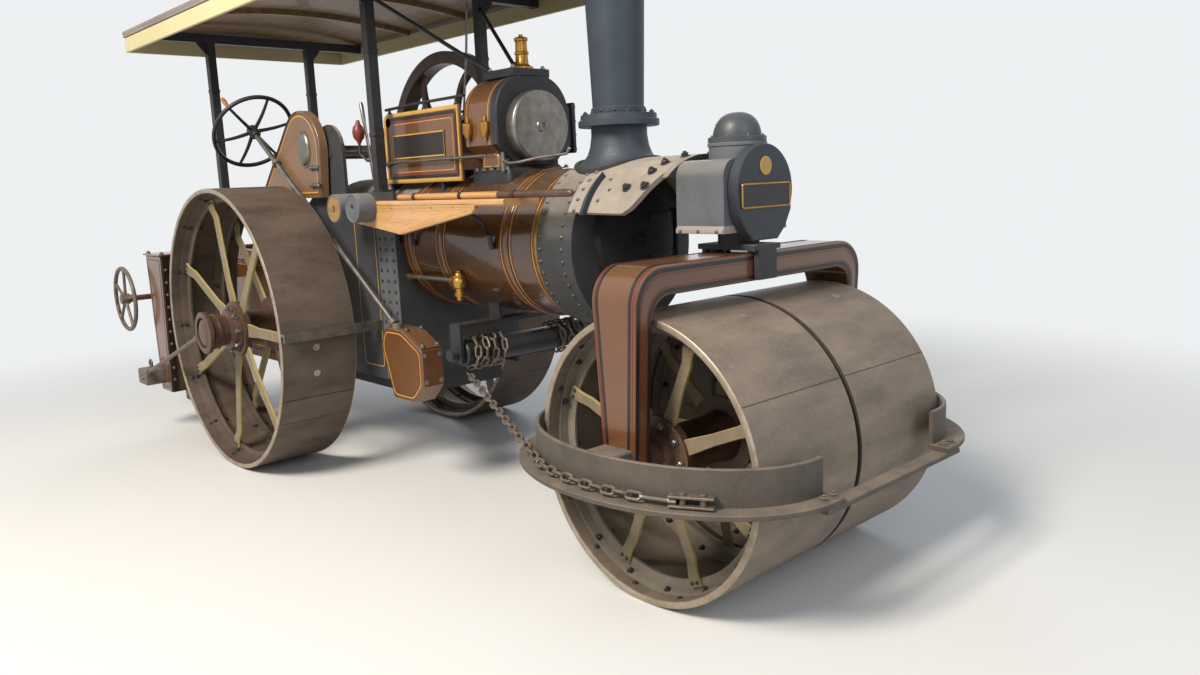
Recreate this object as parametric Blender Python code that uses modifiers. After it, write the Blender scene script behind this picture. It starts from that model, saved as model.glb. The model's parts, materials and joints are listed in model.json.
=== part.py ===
# Steam road roller with chain steering, a canopy and a side scarifier.
# Metres. +X is forwards, +Y the machine's left, +Z up. Stations along the
# machine are measured from the rear axle; the object's own origin lies on the
# ground under the middle of its overall length.
import bpy
import bmesh
from math import acos, atan2, cos, degrees, hypot, pi, radians, sin, sqrt
from mathutils import Matrix, Vector

# Fits
SEAT = 0.0003          # gap between pieces that touch
RUN = 0.006            # gap between pieces that pass each other
PIN_PLAY = 0.0009      # radial play of a shaft in its bore
OVERRUN = 0.02         # how far a cutter passes the face it leaves

# Rolls
WHEELBASE = 3.15
REAR_R = 0.84
REAR_WIDTH = 0.44
REAR_INNER_Y = 0.54
REAR_RIM = 0.026
FRONT_R = 0.57
FRONT_HALF = 0.61
FRONT_OUTER_Y = 0.62
FRONT_RIM = 0.028
TEE_DEPTH = 0.055
TEE_THICK = 0.02
TEE_INSET = 0.11
SPOKE_WIDE = 0.07
SPOKE_THICK = 0.018
REAR_SPOKES = 7
FRONT_SPOKES = 8
HUB_R = 0.105
HUB_FLANGE_R = 0.165
HUB_FLANGE = 0.035
REAR_HUB_OUT = 0.105
HUB_CAP_R = 0.085
HUB_CAP = 0.04
AXLE_R = 0.06
FRONT_AXLE_R = 0.045
BOLT_R = 0.012
BOLT_HEAD = 0.01
RIM_STEPS = 36
HUB_STEPS = 20

# Boiler, firebox and smokebox
BOILER_Z = 1.34
BOILER_R = 0.362
BAND_RAISE = 0.006
BAND_WIDE = 0.045
BAND_SHARES = (0.78, 0.31, 0.06)
BOILER_REAR = 1.12
BOILER_FRONT = 2.30
FIREBOX_REAR = 0.16
FIREBOX_BOTTOM = 0.60
FIREBOX_HALF = 0.36
ASHPAN_DROP = 0.13
ASHPAN_INSET = 0.06
SMOKEBOX_R = 0.385
SMOKEBOX_FRONT = 2.54
HOOD_LAP = 0.004
HOOD_THICK = 0.024
HOOD_FRONT = 2.96
HOOD_STEPS = 7
HOOD_FRONT_STEPS = 4
HOOD_START_SHARE = 0.8
HOOD_CUT_LONG = 0.12
DRUM_STEPS = 36
DOOR_R = 0.25
DOOR_THICK = 0.03
DOOR_RISE = 0.05
DOOR_RING_SHARES = (0.5, 0.8, 1.0)
DOOR_HINGE_OUT = 0.02
HINGE_PIN_R = 0.012
FIREDOOR_WIDE = 0.30
FIREDOOR_TALL = 0.26
FIREDOOR_Z = 1.12
FIREDOOR_THICK = 0.02

# Side plates and crank
PLATE_THICK = 0.02
HORN_OUTER_Y = 0.40
HORN_REAR = -0.38
HORN_BOTTOM = 0.56
HORN_SHOULDER = 1.62
HORN_ARCH_TOP = 2.02
CRANK_X = 0.44
CRANK_Z = 1.86
CRANK_R = 0.04
CRANK_THROW = 0.10
CRANK_WEB = 0.05
CRANK_WEB_HALF = 0.045
CRANK_PIN_HALF = 0.05
CRANK_PIN_SHARE = 0.9
FLYWHEEL_R = 0.62
FLYWHEEL_WIDE = 0.11
FLYWHEEL_RIM = 0.075
FLYWHEEL_SPOKES = 6
GUARD_REAR = -0.36
GUARD_ARCH_X = 0.216
GUARD_ARCH_R = 0.24
GUARD_BOTTOM = 1.60
GUARD_TOP = 2.115
GUARD_HEEL = 0.06
GUARD_LEAN = 0.035
GUARD_FOOT_LONG = 0.30
GUARD_BOX_R = 0.045
GUARD_BOX_OUT = 0.02
GUARD_OUTER_Y = 0.468

# Cylinder and motion
CYLINDER_REAR = 1.58
CYLINDER_FRONT = 1.86
CYLINDER_HALF = 0.235
CYLINDER_Z = 1.915
CYLINDER_RISE = 0.255
CYLINDER_DROP = 0.175
CYLINDER_TOP = CYLINDER_Z + CYLINDER_RISE
CYLINDER_BOTTOM = CYLINDER_Z - CYLINDER_DROP
CYLINDER_ROUND_SHARE = 0.8
CYLINDER_FOOT_SHARE = 0.6
CYLINDER_KNEE_SHARE = 0.4
COVER_R = 0.178
COVER_THICK = 0.06
COVER_EDGE_SHARE = 0.25
SADDLE_HALF = 0.17
SADDLE_FOOT = 0.04
CHEST_OUT = 0.09
CHEST_TALL = 0.26
TOP_PLATE_HALF = 0.12
TOP_PLATE_THICK = 0.03
VALVE_X = 1.79
VALVE_R = 0.036
VALVE_TALL = 0.17
VALVE_FOOT_SHARE = 1.6
VALVE_RING_SHARE = 0.12
VALVE_TOP_SHARE = 0.8
MOTION_HALF = 0.25
MOTION_REAR = 0.84
MOTION_TOP = 2.045
MOTION_BOTTOM = 1.66
MOTION_THICK = 0.014
MOTION_CROSS = 0.06
MOTION_CROSS_SHARE = 0.7
SLIDE_THICK = 0.025
SLIDE_APART = 0.075
CROSSHEAD_LONG = 0.12
PISTON_ROD_R = 0.02

# Chimney
CHIMNEY_X = 2.47
CHIMNEY_SINK_SHARE = 0.7
CHIMNEY_BASE_R = 0.128
CHIMNEY_SKIRT_R = 0.19
CHIMNEY_FLANGE_R = 0.185
CHIMNEY_FLANGE_Z = 1.873
CHIMNEY_FLANGE = 0.054
CHIMNEY_BOLTS = 12
CHIMNEY_BAND_R = 0.124
CHIMNEY_FOOT_R = 0.117
CHIMNEY_BAND = 0.03
CHIMNEY_TOP_R = 0.152
CHIMNEY_BORE = 0.1
CHIMNEY_TOP = 2.98
CHIMNEY_LIP_R = 0.174
CHIMNEY_LIP = 0.05

# Headstock and steering swivel
HEAD_HALF = 0.20
HEAD_BOTTOM = 1.41
HEAD_TOP = 1.70
HEAD_SHOULDER = 0.07
HEAD_LIP = 0.012
SHIELD_FRONT = 3.29
SHIELD_THICK = 0.05
SHIELD_HALF = 0.18
SHIELD_TOP = 1.755
SHIELD_BOTTOM = 1.375
SHIELD_WAIST_SHARE = 0.35
SHIELD_FOOT_SHARE = 0.45
BULKHEAD_SHARE = 1.5
TURRET_R = 0.12
TURRET_TOP = 1.765
DOME_R = 0.098
DOME_FLANGE_R = 0.118
DOME_FLANGE = 0.022
DOME_TOP = 1.885
SWIVEL_POST_R = 0.085
SWIVEL_PLATE_HALF = 0.085
SWIVEL_PLATE = 0.022
SWIVEL_CHEEK = 0.024
SWIVEL_CHEEK_SHARE = 0.7
SWIVEL_DROP_SHARE = 1.5
TILT_PIN_R = 0.034
TILT_RANGE = 4.0

# Fork
FORK_TOP = 1.325
FORK_BEAM = 0.112
FORK_OUTER_Y = 0.73
FORK_LEG = 0.085
FORK_WIDE = 0.235
FORK_FOOT_WIDE = 0.15
FORK_CORNER_R = 0.14
FORK_FOOT_Z = 0.48
FORK_FOOT_TOP = 0.66
CORNER_STEPS = 6

# Steering bows, each an elliptic band with a ledge, around one end of the roll
BOW_Y = 0.42
BOW_CLEAR = 0.095
BOW_LONG = FRONT_R + BOW_CLEAR
BOW_DEEP = 0.455
BOW_THICK = 0.018
BOW_LEDGE = 0.075
BOW_LEDGE_THICK = 0.02
BOW_BOTTOM = 0.535
BOW_TOP = 0.67
BOW_END_DEGREES = 4.0
LEDGE_END_DEGREES = 2.0
BOW_STEPS = 20
TIE_LAP = 0.08
TIE_THICK = 0.02

# Steering chain
CHAIN_R = 0.019
LINK_LONG = 0.07
LINK_WIRE = 0.0062
LINK_STEPS = 3
LINK_HOOK_SHARE = 3.3
BARREL_X = 1.70
BARREL_Z = 0.80
BARREL_R = 0.065
BARREL_HALF = 0.42
BARREL_SHAFT_R = 0.03
BARREL_COIL_R = 0.088
BARREL_COILS = 4
BARREL_COIL_PITCH = 0.06
COIL_SHARES = (0.9, 0.4)
HANGER_WIDE_SHARE = 1.5
HANGER_PLACE_SHARE = 0.55
BARREL_STEPS = 12
CHAIN_PLAY = RUN
CHAIN_MEET_DEGREES = 120.0
CLEVIS_DEGREES = 52.0
CLEVIS_LONG = 0.12
CLEVIS_TALL = 0.055

# Steering column and its worm case
COLUMN_Y = 0.492
COLUMN_R = 0.016
COLUMN_FOOT_SHARE = 0.3
WHEEL_HUB_X = -0.38
WHEEL_HUB_Z = 2.03
STEER_WHEEL_R = 0.25
STEER_WHEEL_WIRE = 0.014
STEER_WHEEL_SPOKES = 5
STEER_HUB_R = 0.035
STEER_HUB_LONG = 0.07
ARM_SHARE = 0.7
ARM_PHASE_SHARE = 0.13
CASE_REAR = 1.10
CASE_FRONT = 1.50
CASE_TOP = 0.90
CASE_BOTTOM = 0.52
CASE_OUTER_Y = 0.53

# Tender
TENDER_REAR = -1.50
TENDER_HALF = 0.42
TENDER_BOTTOM = 0.50
TENDER_TOP = 1.25
TENDER_WALL = 0.02
TENDER_FLOOR = 0.78
BUNKER_FRONT = -1.00
DRAWBAR_LONG = 0.16
DRAWBAR_WIDE = 0.22
DRAWBAR_TALL = 0.10
DRAWBAR_Z = 0.62

# Canopy
ROOF_REAR = -1.60
ROOF_FRONT = 1.95
ROOF_HALF = 0.83
ROOF_EDGE_Z = 2.65
ROOF_FASCIA = 0.14
ROOF_CROWN = 0.07
ROOF_THICK = 0.03
FASCIA_THICK = 0.025
ROOF_STEPS = 12
POST_WIDE = 0.055
POST_Y = 0.37
POST_REAR_X = -1.27
POST_FRONT_X = 0.95
RAIL_TALL = 0.06
GUSSET = 0.12
GUSSET_SHARE = 0.3
STAY_DROP_SHARE = 1.5
STAY_R = 0.011
STAY_IN = 0.05

# Side shelf, drums and pole
SHELF_REAR = 0.79
SHELF_FRONT = 2.36
SHELF_OUTER_Y = 0.60
SHELF_Z = 1.575
SHELF_THICK = 0.03
APRON_THICK = 0.025
APRON_DROP = 0.17
APRON_VERTEX_X = 1.50
APRON_SHARE = 0.86
DRUM_R = 0.075
DRUM_LONG = 0.11
DRUM_PLACES = (1.02, 1.22)
POLE_R = 0.016
POLE_REAR = 1.35
POLE_FRONT = 2.70
BRACKET_THICK = 0.02
SHELF_ARM_SHARE = 0.6
POLE_SIT_SHARE = 0.7
BRACKET_PLACES = (1.25, 1.95)

# Feed valve on the boiler side
FEED_X = 1.62
FEED_Z = 1.16
FEED_R = 0.035
FEED_LONG = 0.20
FEED_PIPE_R = 0.013
FEED_STUB_SHARE = 0.7

# Scrapers
SCRAPER_Z = 0.90
SCRAPER_DEEP = 0.05
SCRAPER_THICK = 0.016

# Scarifier behind the right rear roll
SCAR_REAR = -1.30
SCAR_FRONT = -1.00
SCAR_OUTER_Y = 0.95
SCAR_INNER_Y = 0.56
SCAR_TOP = 1.25
SCAR_BOTTOM = 0.30
SCAR_LOW_SHARE = 0.55
SCAR_HEEL_SHARE = 0.05
SCAR_TOE_SHARE = 0.15
SCAR_BRACKET_SHARE = 0.2
SCAR_SLOT_SHARE = 0.12
TIP_SHARES = (0.1, 0.6)
SCAR_ARM_TALL = 0.10
SCAR_ARM_SHARE = 1.5
TINE_WIDE = 0.11
TINE_DEEP = 0.12
TINE_TIP = 0.15
TINE_STROKE = 0.14
SCREW_WHEEL_X = -1.62
SCREW_WHEEL_Y = 1.03
SCREW_WHEEL_Z = 0.93
SCREW_WHEEL_R = 0.22
SCREW_WHEEL_WIRE = 0.013
SCREW_WHEEL_SPOKES = 5
SCREW_SHAFT_R = 0.02
DRAUGHT_R = 0.013
EYE_THICK = 0.03
EYE_R = 0.125

CUTTER_COLLECTION = "cutters"
MODEL_COLLECTION = "steam_roller"
REAR_CENTRE_Y = REAR_INNER_Y + REAR_WIDTH / 2
BOW_FRONT = WHEELBASE + BOW_LONG + BOW_LEDGE
OVERALL_REAR = SCREW_WHEEL_X - SCREW_WHEEL_R - SCREW_WHEEL_WIRE * cos(radians(30))
MID_X = (OVERALL_REAR + BOW_FRONT) / 2
TILT_GAP = SWIVEL_PLATE_HALF * sin(radians(TILT_RANGE)) + RUN
CHAIN_Z = BOW_BOTTOM + CHAIN_R + RUN
BOW_START = -BOW_END_DEGREES
BOW_END = 180 + BOW_END_DEGREES

COLOURS = {
    "roll_steel": ((0.16, 0.12, 0.095), 0.75, 0.4),
    "brown_paint": ((0.30, 0.13, 0.05), 0.4, 0.0),
    "dark_brown": ((0.10, 0.045, 0.025), 0.45, 0.0),
    "smokebox_grey": ((0.09, 0.095, 0.10), 0.8, 0.1),
    "blue_grey": ((0.045, 0.055, 0.075), 0.6, 0.0),
    "black": ((0.02, 0.02, 0.022), 0.6, 0.0),
    "bright_steel": ((0.55, 0.54, 0.52), 0.3, 0.9),
    "brass": ((0.70, 0.47, 0.16), 0.3, 0.9),
    "cream": ((0.78, 0.72, 0.52), 0.6, 0.0),
    "varnish": ((0.50, 0.24, 0.08), 0.35, 0.0),
    "chain_steel": ((0.12, 0.10, 0.09), 0.6, 0.6),
}


def collection(name):
    found = bpy.data.collections.new(name)
    bpy.context.scene.collection.children.link(found)
    return found


def material(name):
    if name in bpy.data.materials:
        return bpy.data.materials[name]
    colour, rough, metal = COLOURS[name]
    made = bpy.data.materials.new(name)
    made.use_nodes = True
    shader = made.node_tree.nodes["Principled BSDF"]
    shader.inputs["Base Color"].default_value = (*colour, 1.0)
    shader.inputs["Roughness"].default_value = rough
    shader.inputs["Metallic"].default_value = metal
    made.diffuse_color = (*colour, 1.0)
    return made


def put(name, mesh, look=None, at=(0, 0, 0), turn=None):
    """Link a mesh as an object; without a look it is a cutter."""
    thing = bpy.data.objects.new(name, mesh)
    thing.location = at
    if turn:
        thing.rotation_euler = turn
    if look:
        mesh.materials.clear()
        mesh.materials.append(material(look))
        model.objects.link(thing)
        thing.parent = frame_empty
    else:
        cutters.objects.link(thing)
        thing.hide_render = True
        thing.display_type = "WIRE"
        thing.parent = frame_empty
    return thing


def smooth(mesh, sharp=35):
    mesh.shade_smooth()
    mesh.set_sharp_from_angle(angle=radians(sharp))
    return mesh


def to_mesh(bm, name):
    bmesh.ops.recalc_face_normals(bm, faces=bm.faces)
    mesh = bpy.data.meshes.new(name)
    bm.to_mesh(mesh)
    bm.free()
    return mesh


def box(name, low, high):
    """Mesh of a box between two corners."""
    bm = bmesh.new()
    size = [b - a for a, b in zip(low, high)]
    middle = [(a + b) / 2 for a, b in zip(low, high)]
    place = Matrix.Translation(middle) @ Matrix.Diagonal((*size, 1))
    bmesh.ops.create_cube(bm, size=1, matrix=place)
    return to_mesh(bm, name)


def rod_between(bm, start, end, radius, steps=12):
    """Add a capped cylinder from one point to another."""
    start = Vector(start)
    run = Vector(end) - start
    place = Matrix.Translation(start + run / 2) @ run.to_track_quat("Z", "Y").to_matrix().to_4x4()
    bmesh.ops.create_cone(bm, cap_ends=True, segments=steps, radius1=radius, radius2=radius,
                          depth=run.length, matrix=place)


def rod(name, start, end, radius, steps=12):
    bm = bmesh.new()
    rod_between(bm, start, end, radius, steps)
    return smooth(to_mesh(bm, name))


def evaluated(thing):
    """Mesh of an object as its modifiers leave it."""
    bpy.context.view_layer.update()
    graph = bpy.context.evaluated_depsgraph_get()
    mesh = bpy.data.meshes.new_from_object(thing.evaluated_get(graph))
    bpy.data.objects.remove(thing)
    return mesh


def outline(name, points, thick, plane):
    """A flat outline as a filled 2D curve, set in a plane and welded.

    plane xz: points are (x, z), thick along Y. yz: (y, z), along X. xy: (x, y), along Z."""
    curve = bpy.data.curves.new(name, "CURVE")
    curve.dimensions = "2D"
    curve.fill_mode = "BOTH"
    curve.extrude = thick / 2
    spline = curve.splines.new("POLY")
    spline.points.add(len(points) - 1)
    for point, (a, b) in zip(spline.points, points):
        point.co = (a, b, 0, 1)
    spline.use_cyclic_u = True
    holder = bpy.data.objects.new(name, curve)
    bpy.context.scene.collection.objects.link(holder)
    mesh = evaluated(holder)
    turn = {"xy": Matrix.Identity(3),
            "xz": Matrix(((1, 0, 0), (0, 0, -1), (0, 1, 0))),
            "yz": Matrix(((0, 0, 1), (1, 0, 0), (0, 1, 0)))}[plane]
    bm = bmesh.new()
    bm.from_mesh(mesh)
    bmesh.ops.remove_doubles(bm, verts=bm.verts, dist=SEAT / 10)
    bmesh.ops.transform(bm, matrix=turn.to_4x4(), verts=bm.verts)
    return to_mesh(bm, name)


def turned(name, profile, steps, axis="z", closed=False):
    """Revolve (radius, height) points, given from the top down the outer side."""
    bm = bmesh.new()
    spots = [bm.verts.new((radius, 0, height)) for radius, height in profile]
    for a, b in zip(spots, spots[1:]):
        bm.edges.new((a, b))
    if closed:
        bm.edges.new((spots[-1], spots[0]))
    mesh = bpy.data.meshes.new(name)
    bm.to_mesh(mesh)
    bm.free()
    holder = bpy.data.objects.new(name, mesh)
    bpy.context.scene.collection.objects.link(holder)
    screw = holder.modifiers.new("turn", "SCREW")
    screw.steps = steps
    screw.render_steps = steps
    screw.use_merge_vertices = True
    screw.merge_threshold = SEAT / 10
    made = evaluated(holder)
    turn = {"z": Matrix.Identity(4),
            "y": Matrix.Rotation(-pi / 2, 4, "X"),
            "x": Matrix.Rotation(pi / 2, 4, "Y")}[axis]
    made.transform(turn)
    return smooth(made)


def joined(name, meshes):
    """Several meshes that don't touch each other, as one mesh."""
    bm = bmesh.new()
    for mesh in meshes:
        bm.from_mesh(mesh)
    made = bpy.data.meshes.new(name)
    bm.to_mesh(made)
    bm.free()
    return made


def moved(mesh, shift):
    mesh.transform(Matrix.Translation(shift))
    return mesh


def boolean(thing, operation, tool):
    step = thing.modifiers.new(operation.lower(), "BOOLEAN")
    step.operation = operation
    step.solver = "EXACT"
    step.object = tool


def fuse(thing, *meshes):
    """Join meshes given in the object's own space to it."""
    for index, mesh in enumerate(meshes):
        tool = put("%s_add_%d" % (thing.name, index), mesh, at=thing.location, turn=thing.rotation_euler)
        boolean(thing, "UNION", tool)
    return thing


def cut(thing, *meshes):
    """Take meshes given in the object's own space away from it."""
    for index, mesh in enumerate(meshes):
        tool = put("%s_cut_%d" % (thing.name, index), mesh, at=thing.location, turn=thing.rotation_euler)
        boolean(thing, "DIFFERENCE", tool)
    return thing


def arc(centre, radius, start, end, steps):
    """Points of an arc, angles in degrees."""
    cx, cy = centre
    angles = [radians(start + (end - start) * i / steps) for i in range(steps + 1)]
    return [(cx + radius * cos(a), cy + radius * sin(a)) for a in angles]


def spoke_row(name, count, phase, inner, outer, place, wide, thick):
    """Flat bars about the Y axis, in the plane y = place."""
    bm = bmesh.new()
    middle = (inner + outer) / 2
    for index in range(count):
        turn = Matrix.Rotation(phase + 2 * pi * index / count, 4, "Y")
        bar = Matrix.Translation((middle, place, 0)) @ Matrix.Diagonal((outer - inner, thick, wide, 1))
        bmesh.ops.create_cube(bm, size=1, matrix=turn @ bar)
    return to_mesh(bm, name)


def bolt_ring(count, radius, level, axis, phase=0.0):
    """Hexagon heads round a local axis, sunk a seat's depth into the face at the level."""
    heads = []
    for index in range(count):
        a = phase + 2 * pi * index / count
        u, v = radius * cos(a), radius * sin(a)
        spots = [(u, v, level - BOLT_HEAD / 2), (u, v, level + BOLT_HEAD)]
        if axis == "x":
            spots = [(w, u, v) for u, v, w in spots]
        if axis == "y":
            spots = [(v, w, u) for u, v, w in spots]
        heads.append(rod("bolt", *spots, BOLT_R, 6))
    return joined("bolts", heads)


def rim_profile(radius, rim, low, high, tees):
    """Ring section with inward flanges, round the outer side first."""
    inner = radius - rim
    points = [(radius, high), (radius, low), (inner, low)]
    for place in sorted(tees):
        points += [(inner, place - TEE_THICK / 2), (inner - TEE_DEPTH, place - TEE_THICK / 2),
                   (inner - TEE_DEPTH, place + TEE_THICK / 2), (inner, place + TEE_THICK / 2)]
    return points + [(inner, high)]


def spoked_roll(name, look, radius, rim, low, high, tees, spokes, hub, at, flip):
    """Roll about Y; hub is a mesh about Y, tees the places of its flanges."""
    ring = turned(name, rim_profile(radius, rim, low, high, tees), RIM_STEPS, "y", closed=True)
    turn = (0, 0, pi) if flip else None
    roll = put(name, ring, look, at, turn)
    reach = radius - rim - TEE_DEPTH / 2
    rows = []
    for index, place in enumerate(tees):
        phase = pi / spokes * index
        rows.append(spoke_row(name + "_spokes", spokes, phase, HUB_R - TEE_THICK, reach, place,
                              SPOKE_WIDE, SPOKE_THICK))
    ring_r = (HUB_R + HUB_FLANGE_R) / 2
    heads = bolt_ring(spokes, ring_r, tees[1] + HUB_FLANGE / 2, "y", pi / 2 + pi / spokes)
    return fuse(roll, joined(name + "_rows", rows), hub, heads)


def rear_rolls():
    half = REAR_WIDTH / 2
    tees = (-half + TEE_INSET, half - TEE_INSET)
    top = half + REAR_HUB_OUT
    socket = half
    bore = AXLE_R + PIN_PLAY
    flange = HUB_FLANGE / 2
    profile = [(0, top), (HUB_CAP_R, top), (HUB_CAP_R, top - HUB_CAP), (HUB_R, top - HUB_CAP),
               (HUB_R, tees[1] + flange), (HUB_FLANGE_R, tees[1] + flange),
               (HUB_FLANGE_R, tees[1] - flange), (HUB_R, tees[1] - flange),
               (HUB_R, tees[0] + flange), (HUB_FLANGE_R, tees[0] + flange),
               (HUB_FLANGE_R, tees[0] - flange), (HUB_R, tees[0] - flange), (HUB_R, -half),
               (bore, -half), (bore, socket), (0, socket)]
    for side, sign in (("right", -1), ("left", 1)):
        hub = turned("hub", profile, HUB_STEPS, "y")
        spoked_roll("rear_roll_" + side, "roll_steel", REAR_R, REAR_RIM, -half, half, tees,
                    REAR_SPOKES, hub, (0, sign * REAR_CENTRE_Y, REAR_R), sign < 0)


def front_rolls():
    half = FRONT_HALF / 2
    tees = (-half + TEE_INSET, half - TEE_INSET)
    bore = FRONT_AXLE_R + PIN_PLAY
    flange = HUB_FLANGE / 2
    profile = [(bore, half), (HUB_R, half), (HUB_R, tees[1] + flange), (HUB_FLANGE_R, tees[1] + flange),
               (HUB_FLANGE_R, tees[1] - flange), (HUB_R, tees[1] - flange), (HUB_R, -half), (bore, -half)]
    for side, sign in (("right", -1), ("left", 1)):
        hub = turned("hub", profile, HUB_STEPS, "y", closed=True)
        spoked_roll("front_roll_" + side, "roll_steel", FRONT_R, FRONT_RIM, -half, half, tees,
                    FRONT_SPOKES, hub, (WHEELBASE, sign * (FRONT_OUTER_Y - half), FRONT_R), sign < 0)
    reach = FORK_OUTER_Y - FORK_LEG - SEAT
    put("front_axle", rod("front_axle", (0, -reach, 0), (0, reach, 0), FRONT_AXLE_R, HUB_STEPS),
        "bright_steel", (WHEELBASE, 0, FRONT_R))


def rear_axle():
    reach = REAR_CENTRE_Y + REAR_WIDTH / 2 - RUN
    put("rear_axle", rod("rear_axle", (0, -reach, 0), (0, reach, 0), AXLE_R, HUB_STEPS),
        "black", (0, 0, REAR_R))


def boiler():
    long = BOILER_FRONT - BOILER_REAR - SEAT
    raised = BOILER_R + BAND_RAISE
    profile = [(0, long), (raised, long), (raised, long - BAND_WIDE), (BOILER_R, long - BAND_WIDE)]
    for share in BAND_SHARES:
        top = long * share
        profile += [(BOILER_R, top), (raised, top), (raised, top - BAND_WIDE), (BOILER_R, top - BAND_WIDE)]
    profile += [(BOILER_R, 0), (0, 0)]
    put("boiler_barrel", turned("boiler_barrel", profile, DRUM_STEPS, "x"), "brown_paint",
        (BOILER_REAR, 0, BOILER_Z))


def firebox():
    half = FIREBOX_HALF
    side = HORN_OUTER_Y - PLATE_THICK - SEAT
    top = arc((0, 0), half, 0, 180, CORNER_STEPS * 3)
    low = FIREBOX_BOTTOM - BOILER_Z
    points = [(side, low), (side, 0)] + top + [(-side, 0), (-side, low)]
    long = BOILER_REAR - FIREBOX_REAR - 2 * SEAT
    middle = (BOILER_REAR + FIREBOX_REAR) / 2
    shell = put("firebox", smooth(outline("firebox", points, long, "yz")), "brown_paint",
                (middle, 0, BOILER_Z))
    inner = half - ASHPAN_INSET
    reach = long / 2 - ASHPAN_INSET
    pan = box("ashpan", (-reach, -inner, low - ASHPAN_DROP), (reach, inner, low + ASHPAN_INSET))
    fuse(shell, pan)


def firehole_door():
    hinge_y = FIREDOOR_WIDE / 2 + HINGE_PIN_R
    half = FIREDOOR_THICK / 2
    tall = FIREDOOR_TALL / 2
    door = put("firehole_door", box("firehole_door", (-half, -FIREDOOR_WIDE, -tall), (half, 0, tall)),
               "black", (FIREBOX_REAR - SEAT - half, hinge_y, FIREDOOR_Z))
    return fuse(door, rod("pin", (0, 0, -tall - HINGE_PIN_R), (0, 0, tall + HINGE_PIN_R), HINGE_PIN_R / 2))


def smokebox():
    long = SMOKEBOX_FRONT - BOILER_FRONT - SEAT
    profile = [(0, long), (SMOKEBOX_R, long), (SMOKEBOX_R, 0), (0, 0)]
    drum = put("smokebox", turned("smokebox", profile, DRUM_STEPS, "x"), "smokebox_grey",
               (BOILER_FRONT + SEAT, 0, BOILER_Z))
    span = 360 / DRUM_STEPS * HOOD_STEPS
    outer = SMOKEBOX_R + HOOD_LAP
    inner = outer - HOOD_THICK
    points = arc((0, 0), outer, 90 - span, 90 + span, HOOD_STEPS * 2)
    points += arc((0, 0), inner, 90 + span, 90 - span, HOOD_STEPS * 2)
    start = long * HOOD_START_SHARE
    end = HOOD_FRONT - BOILER_FRONT - 2 * SEAT
    hood = moved(outline("hood", points, end - start, "yz"), ((start + end) / 2, 0, 0))
    front_span = 360 / DRUM_STEPS * HOOD_FRONT_STEPS
    for vertex in hood.vertices:
        lean = degrees(atan2(abs(vertex.co.y), vertex.co.z)) - front_span
        if vertex.co.x > end - SEAT and lean > 0:
            vertex.co.x -= HOOD_CUT_LONG * lean / (span - front_span)
    return fuse(drum, hood)


def smokebox_door():
    rise = [(0, DOOR_THICK + DOOR_RISE)]
    for share in DOOR_RING_SHARES:
        rise.append((DOOR_R * share, DOOR_THICK + DOOR_RISE * (1 - share ** 2)))
    profile = rise + [(DOOR_R, 0), (0, 0)]
    hinge = DOOR_R + DOOR_HINGE_OUT
    half = DOOR_THICK / 2
    disc = moved(turned("smokebox_door", profile, DRUM_STEPS // 2, "x"), (-half, -hinge, 0))
    door = put("smokebox_door", disc, "black", (SMOKEBOX_FRONT + SEAT + half, hinge, BOILER_Z + DOOR_THICK))
    tall = DOOR_R / 2
    strap = box("strap", (-half, -hinge / 2, -HINGE_PIN_R * 2), (half, 0, HINGE_PIN_R * 2))
    pin = rod("pin", (0, 0, -tall), (0, 0, tall), HINGE_PIN_R)
    return fuse(door, strap, pin)


def horn_points():
    """Side plate outline, from the bottom rear corner round."""
    arch_r = HORN_ARCH_TOP - CRANK_Z
    return ([(HORN_REAR, HORN_BOTTOM), (BOILER_REAR - SEAT, HORN_BOTTOM),
             (BOILER_REAR - SEAT, HORN_SHOULDER), (CRANK_X + arch_r, HORN_SHOULDER)]
            + arc((CRANK_X, CRANK_Z), arch_r, 0, 180, CORNER_STEPS * 2)
            + [(CRANK_X - arch_r - arch_r / 2, HORN_SHOULDER), (HORN_REAR, TENDER_TOP)])


def hornplates():
    bore = turned("axle_bore", [(0, OVERRUN + PLATE_THICK), (AXLE_R + SEAT, OVERRUN + PLATE_THICK),
                                (AXLE_R + SEAT, -OVERRUN - PLATE_THICK), (0, -OVERRUN - PLATE_THICK)],
                  HUB_STEPS, "y")
    shaft = turned("crank_bore", [(0, OVERRUN + PLATE_THICK), (CRANK_R + PIN_PLAY, OVERRUN + PLATE_THICK),
                                  (CRANK_R + PIN_PLAY, -OVERRUN - PLATE_THICK), (0, -OVERRUN - PLATE_THICK)],
                   HUB_STEPS, "y")
    for side, sign in (("right", -1), ("left", 1)):
        middle = sign * (HORN_OUTER_Y - PLATE_THICK / 2)
        plate = put("hornplate_" + side, outline("hornplate", horn_points(), PLATE_THICK, "xz"),
                    "brown_paint", (0, middle, 0))
        cut(plate, moved(bore.copy(), (0, 0, REAR_R)), moved(shaft.copy(), (CRANK_X, 0, CRANK_Z)))


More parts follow.
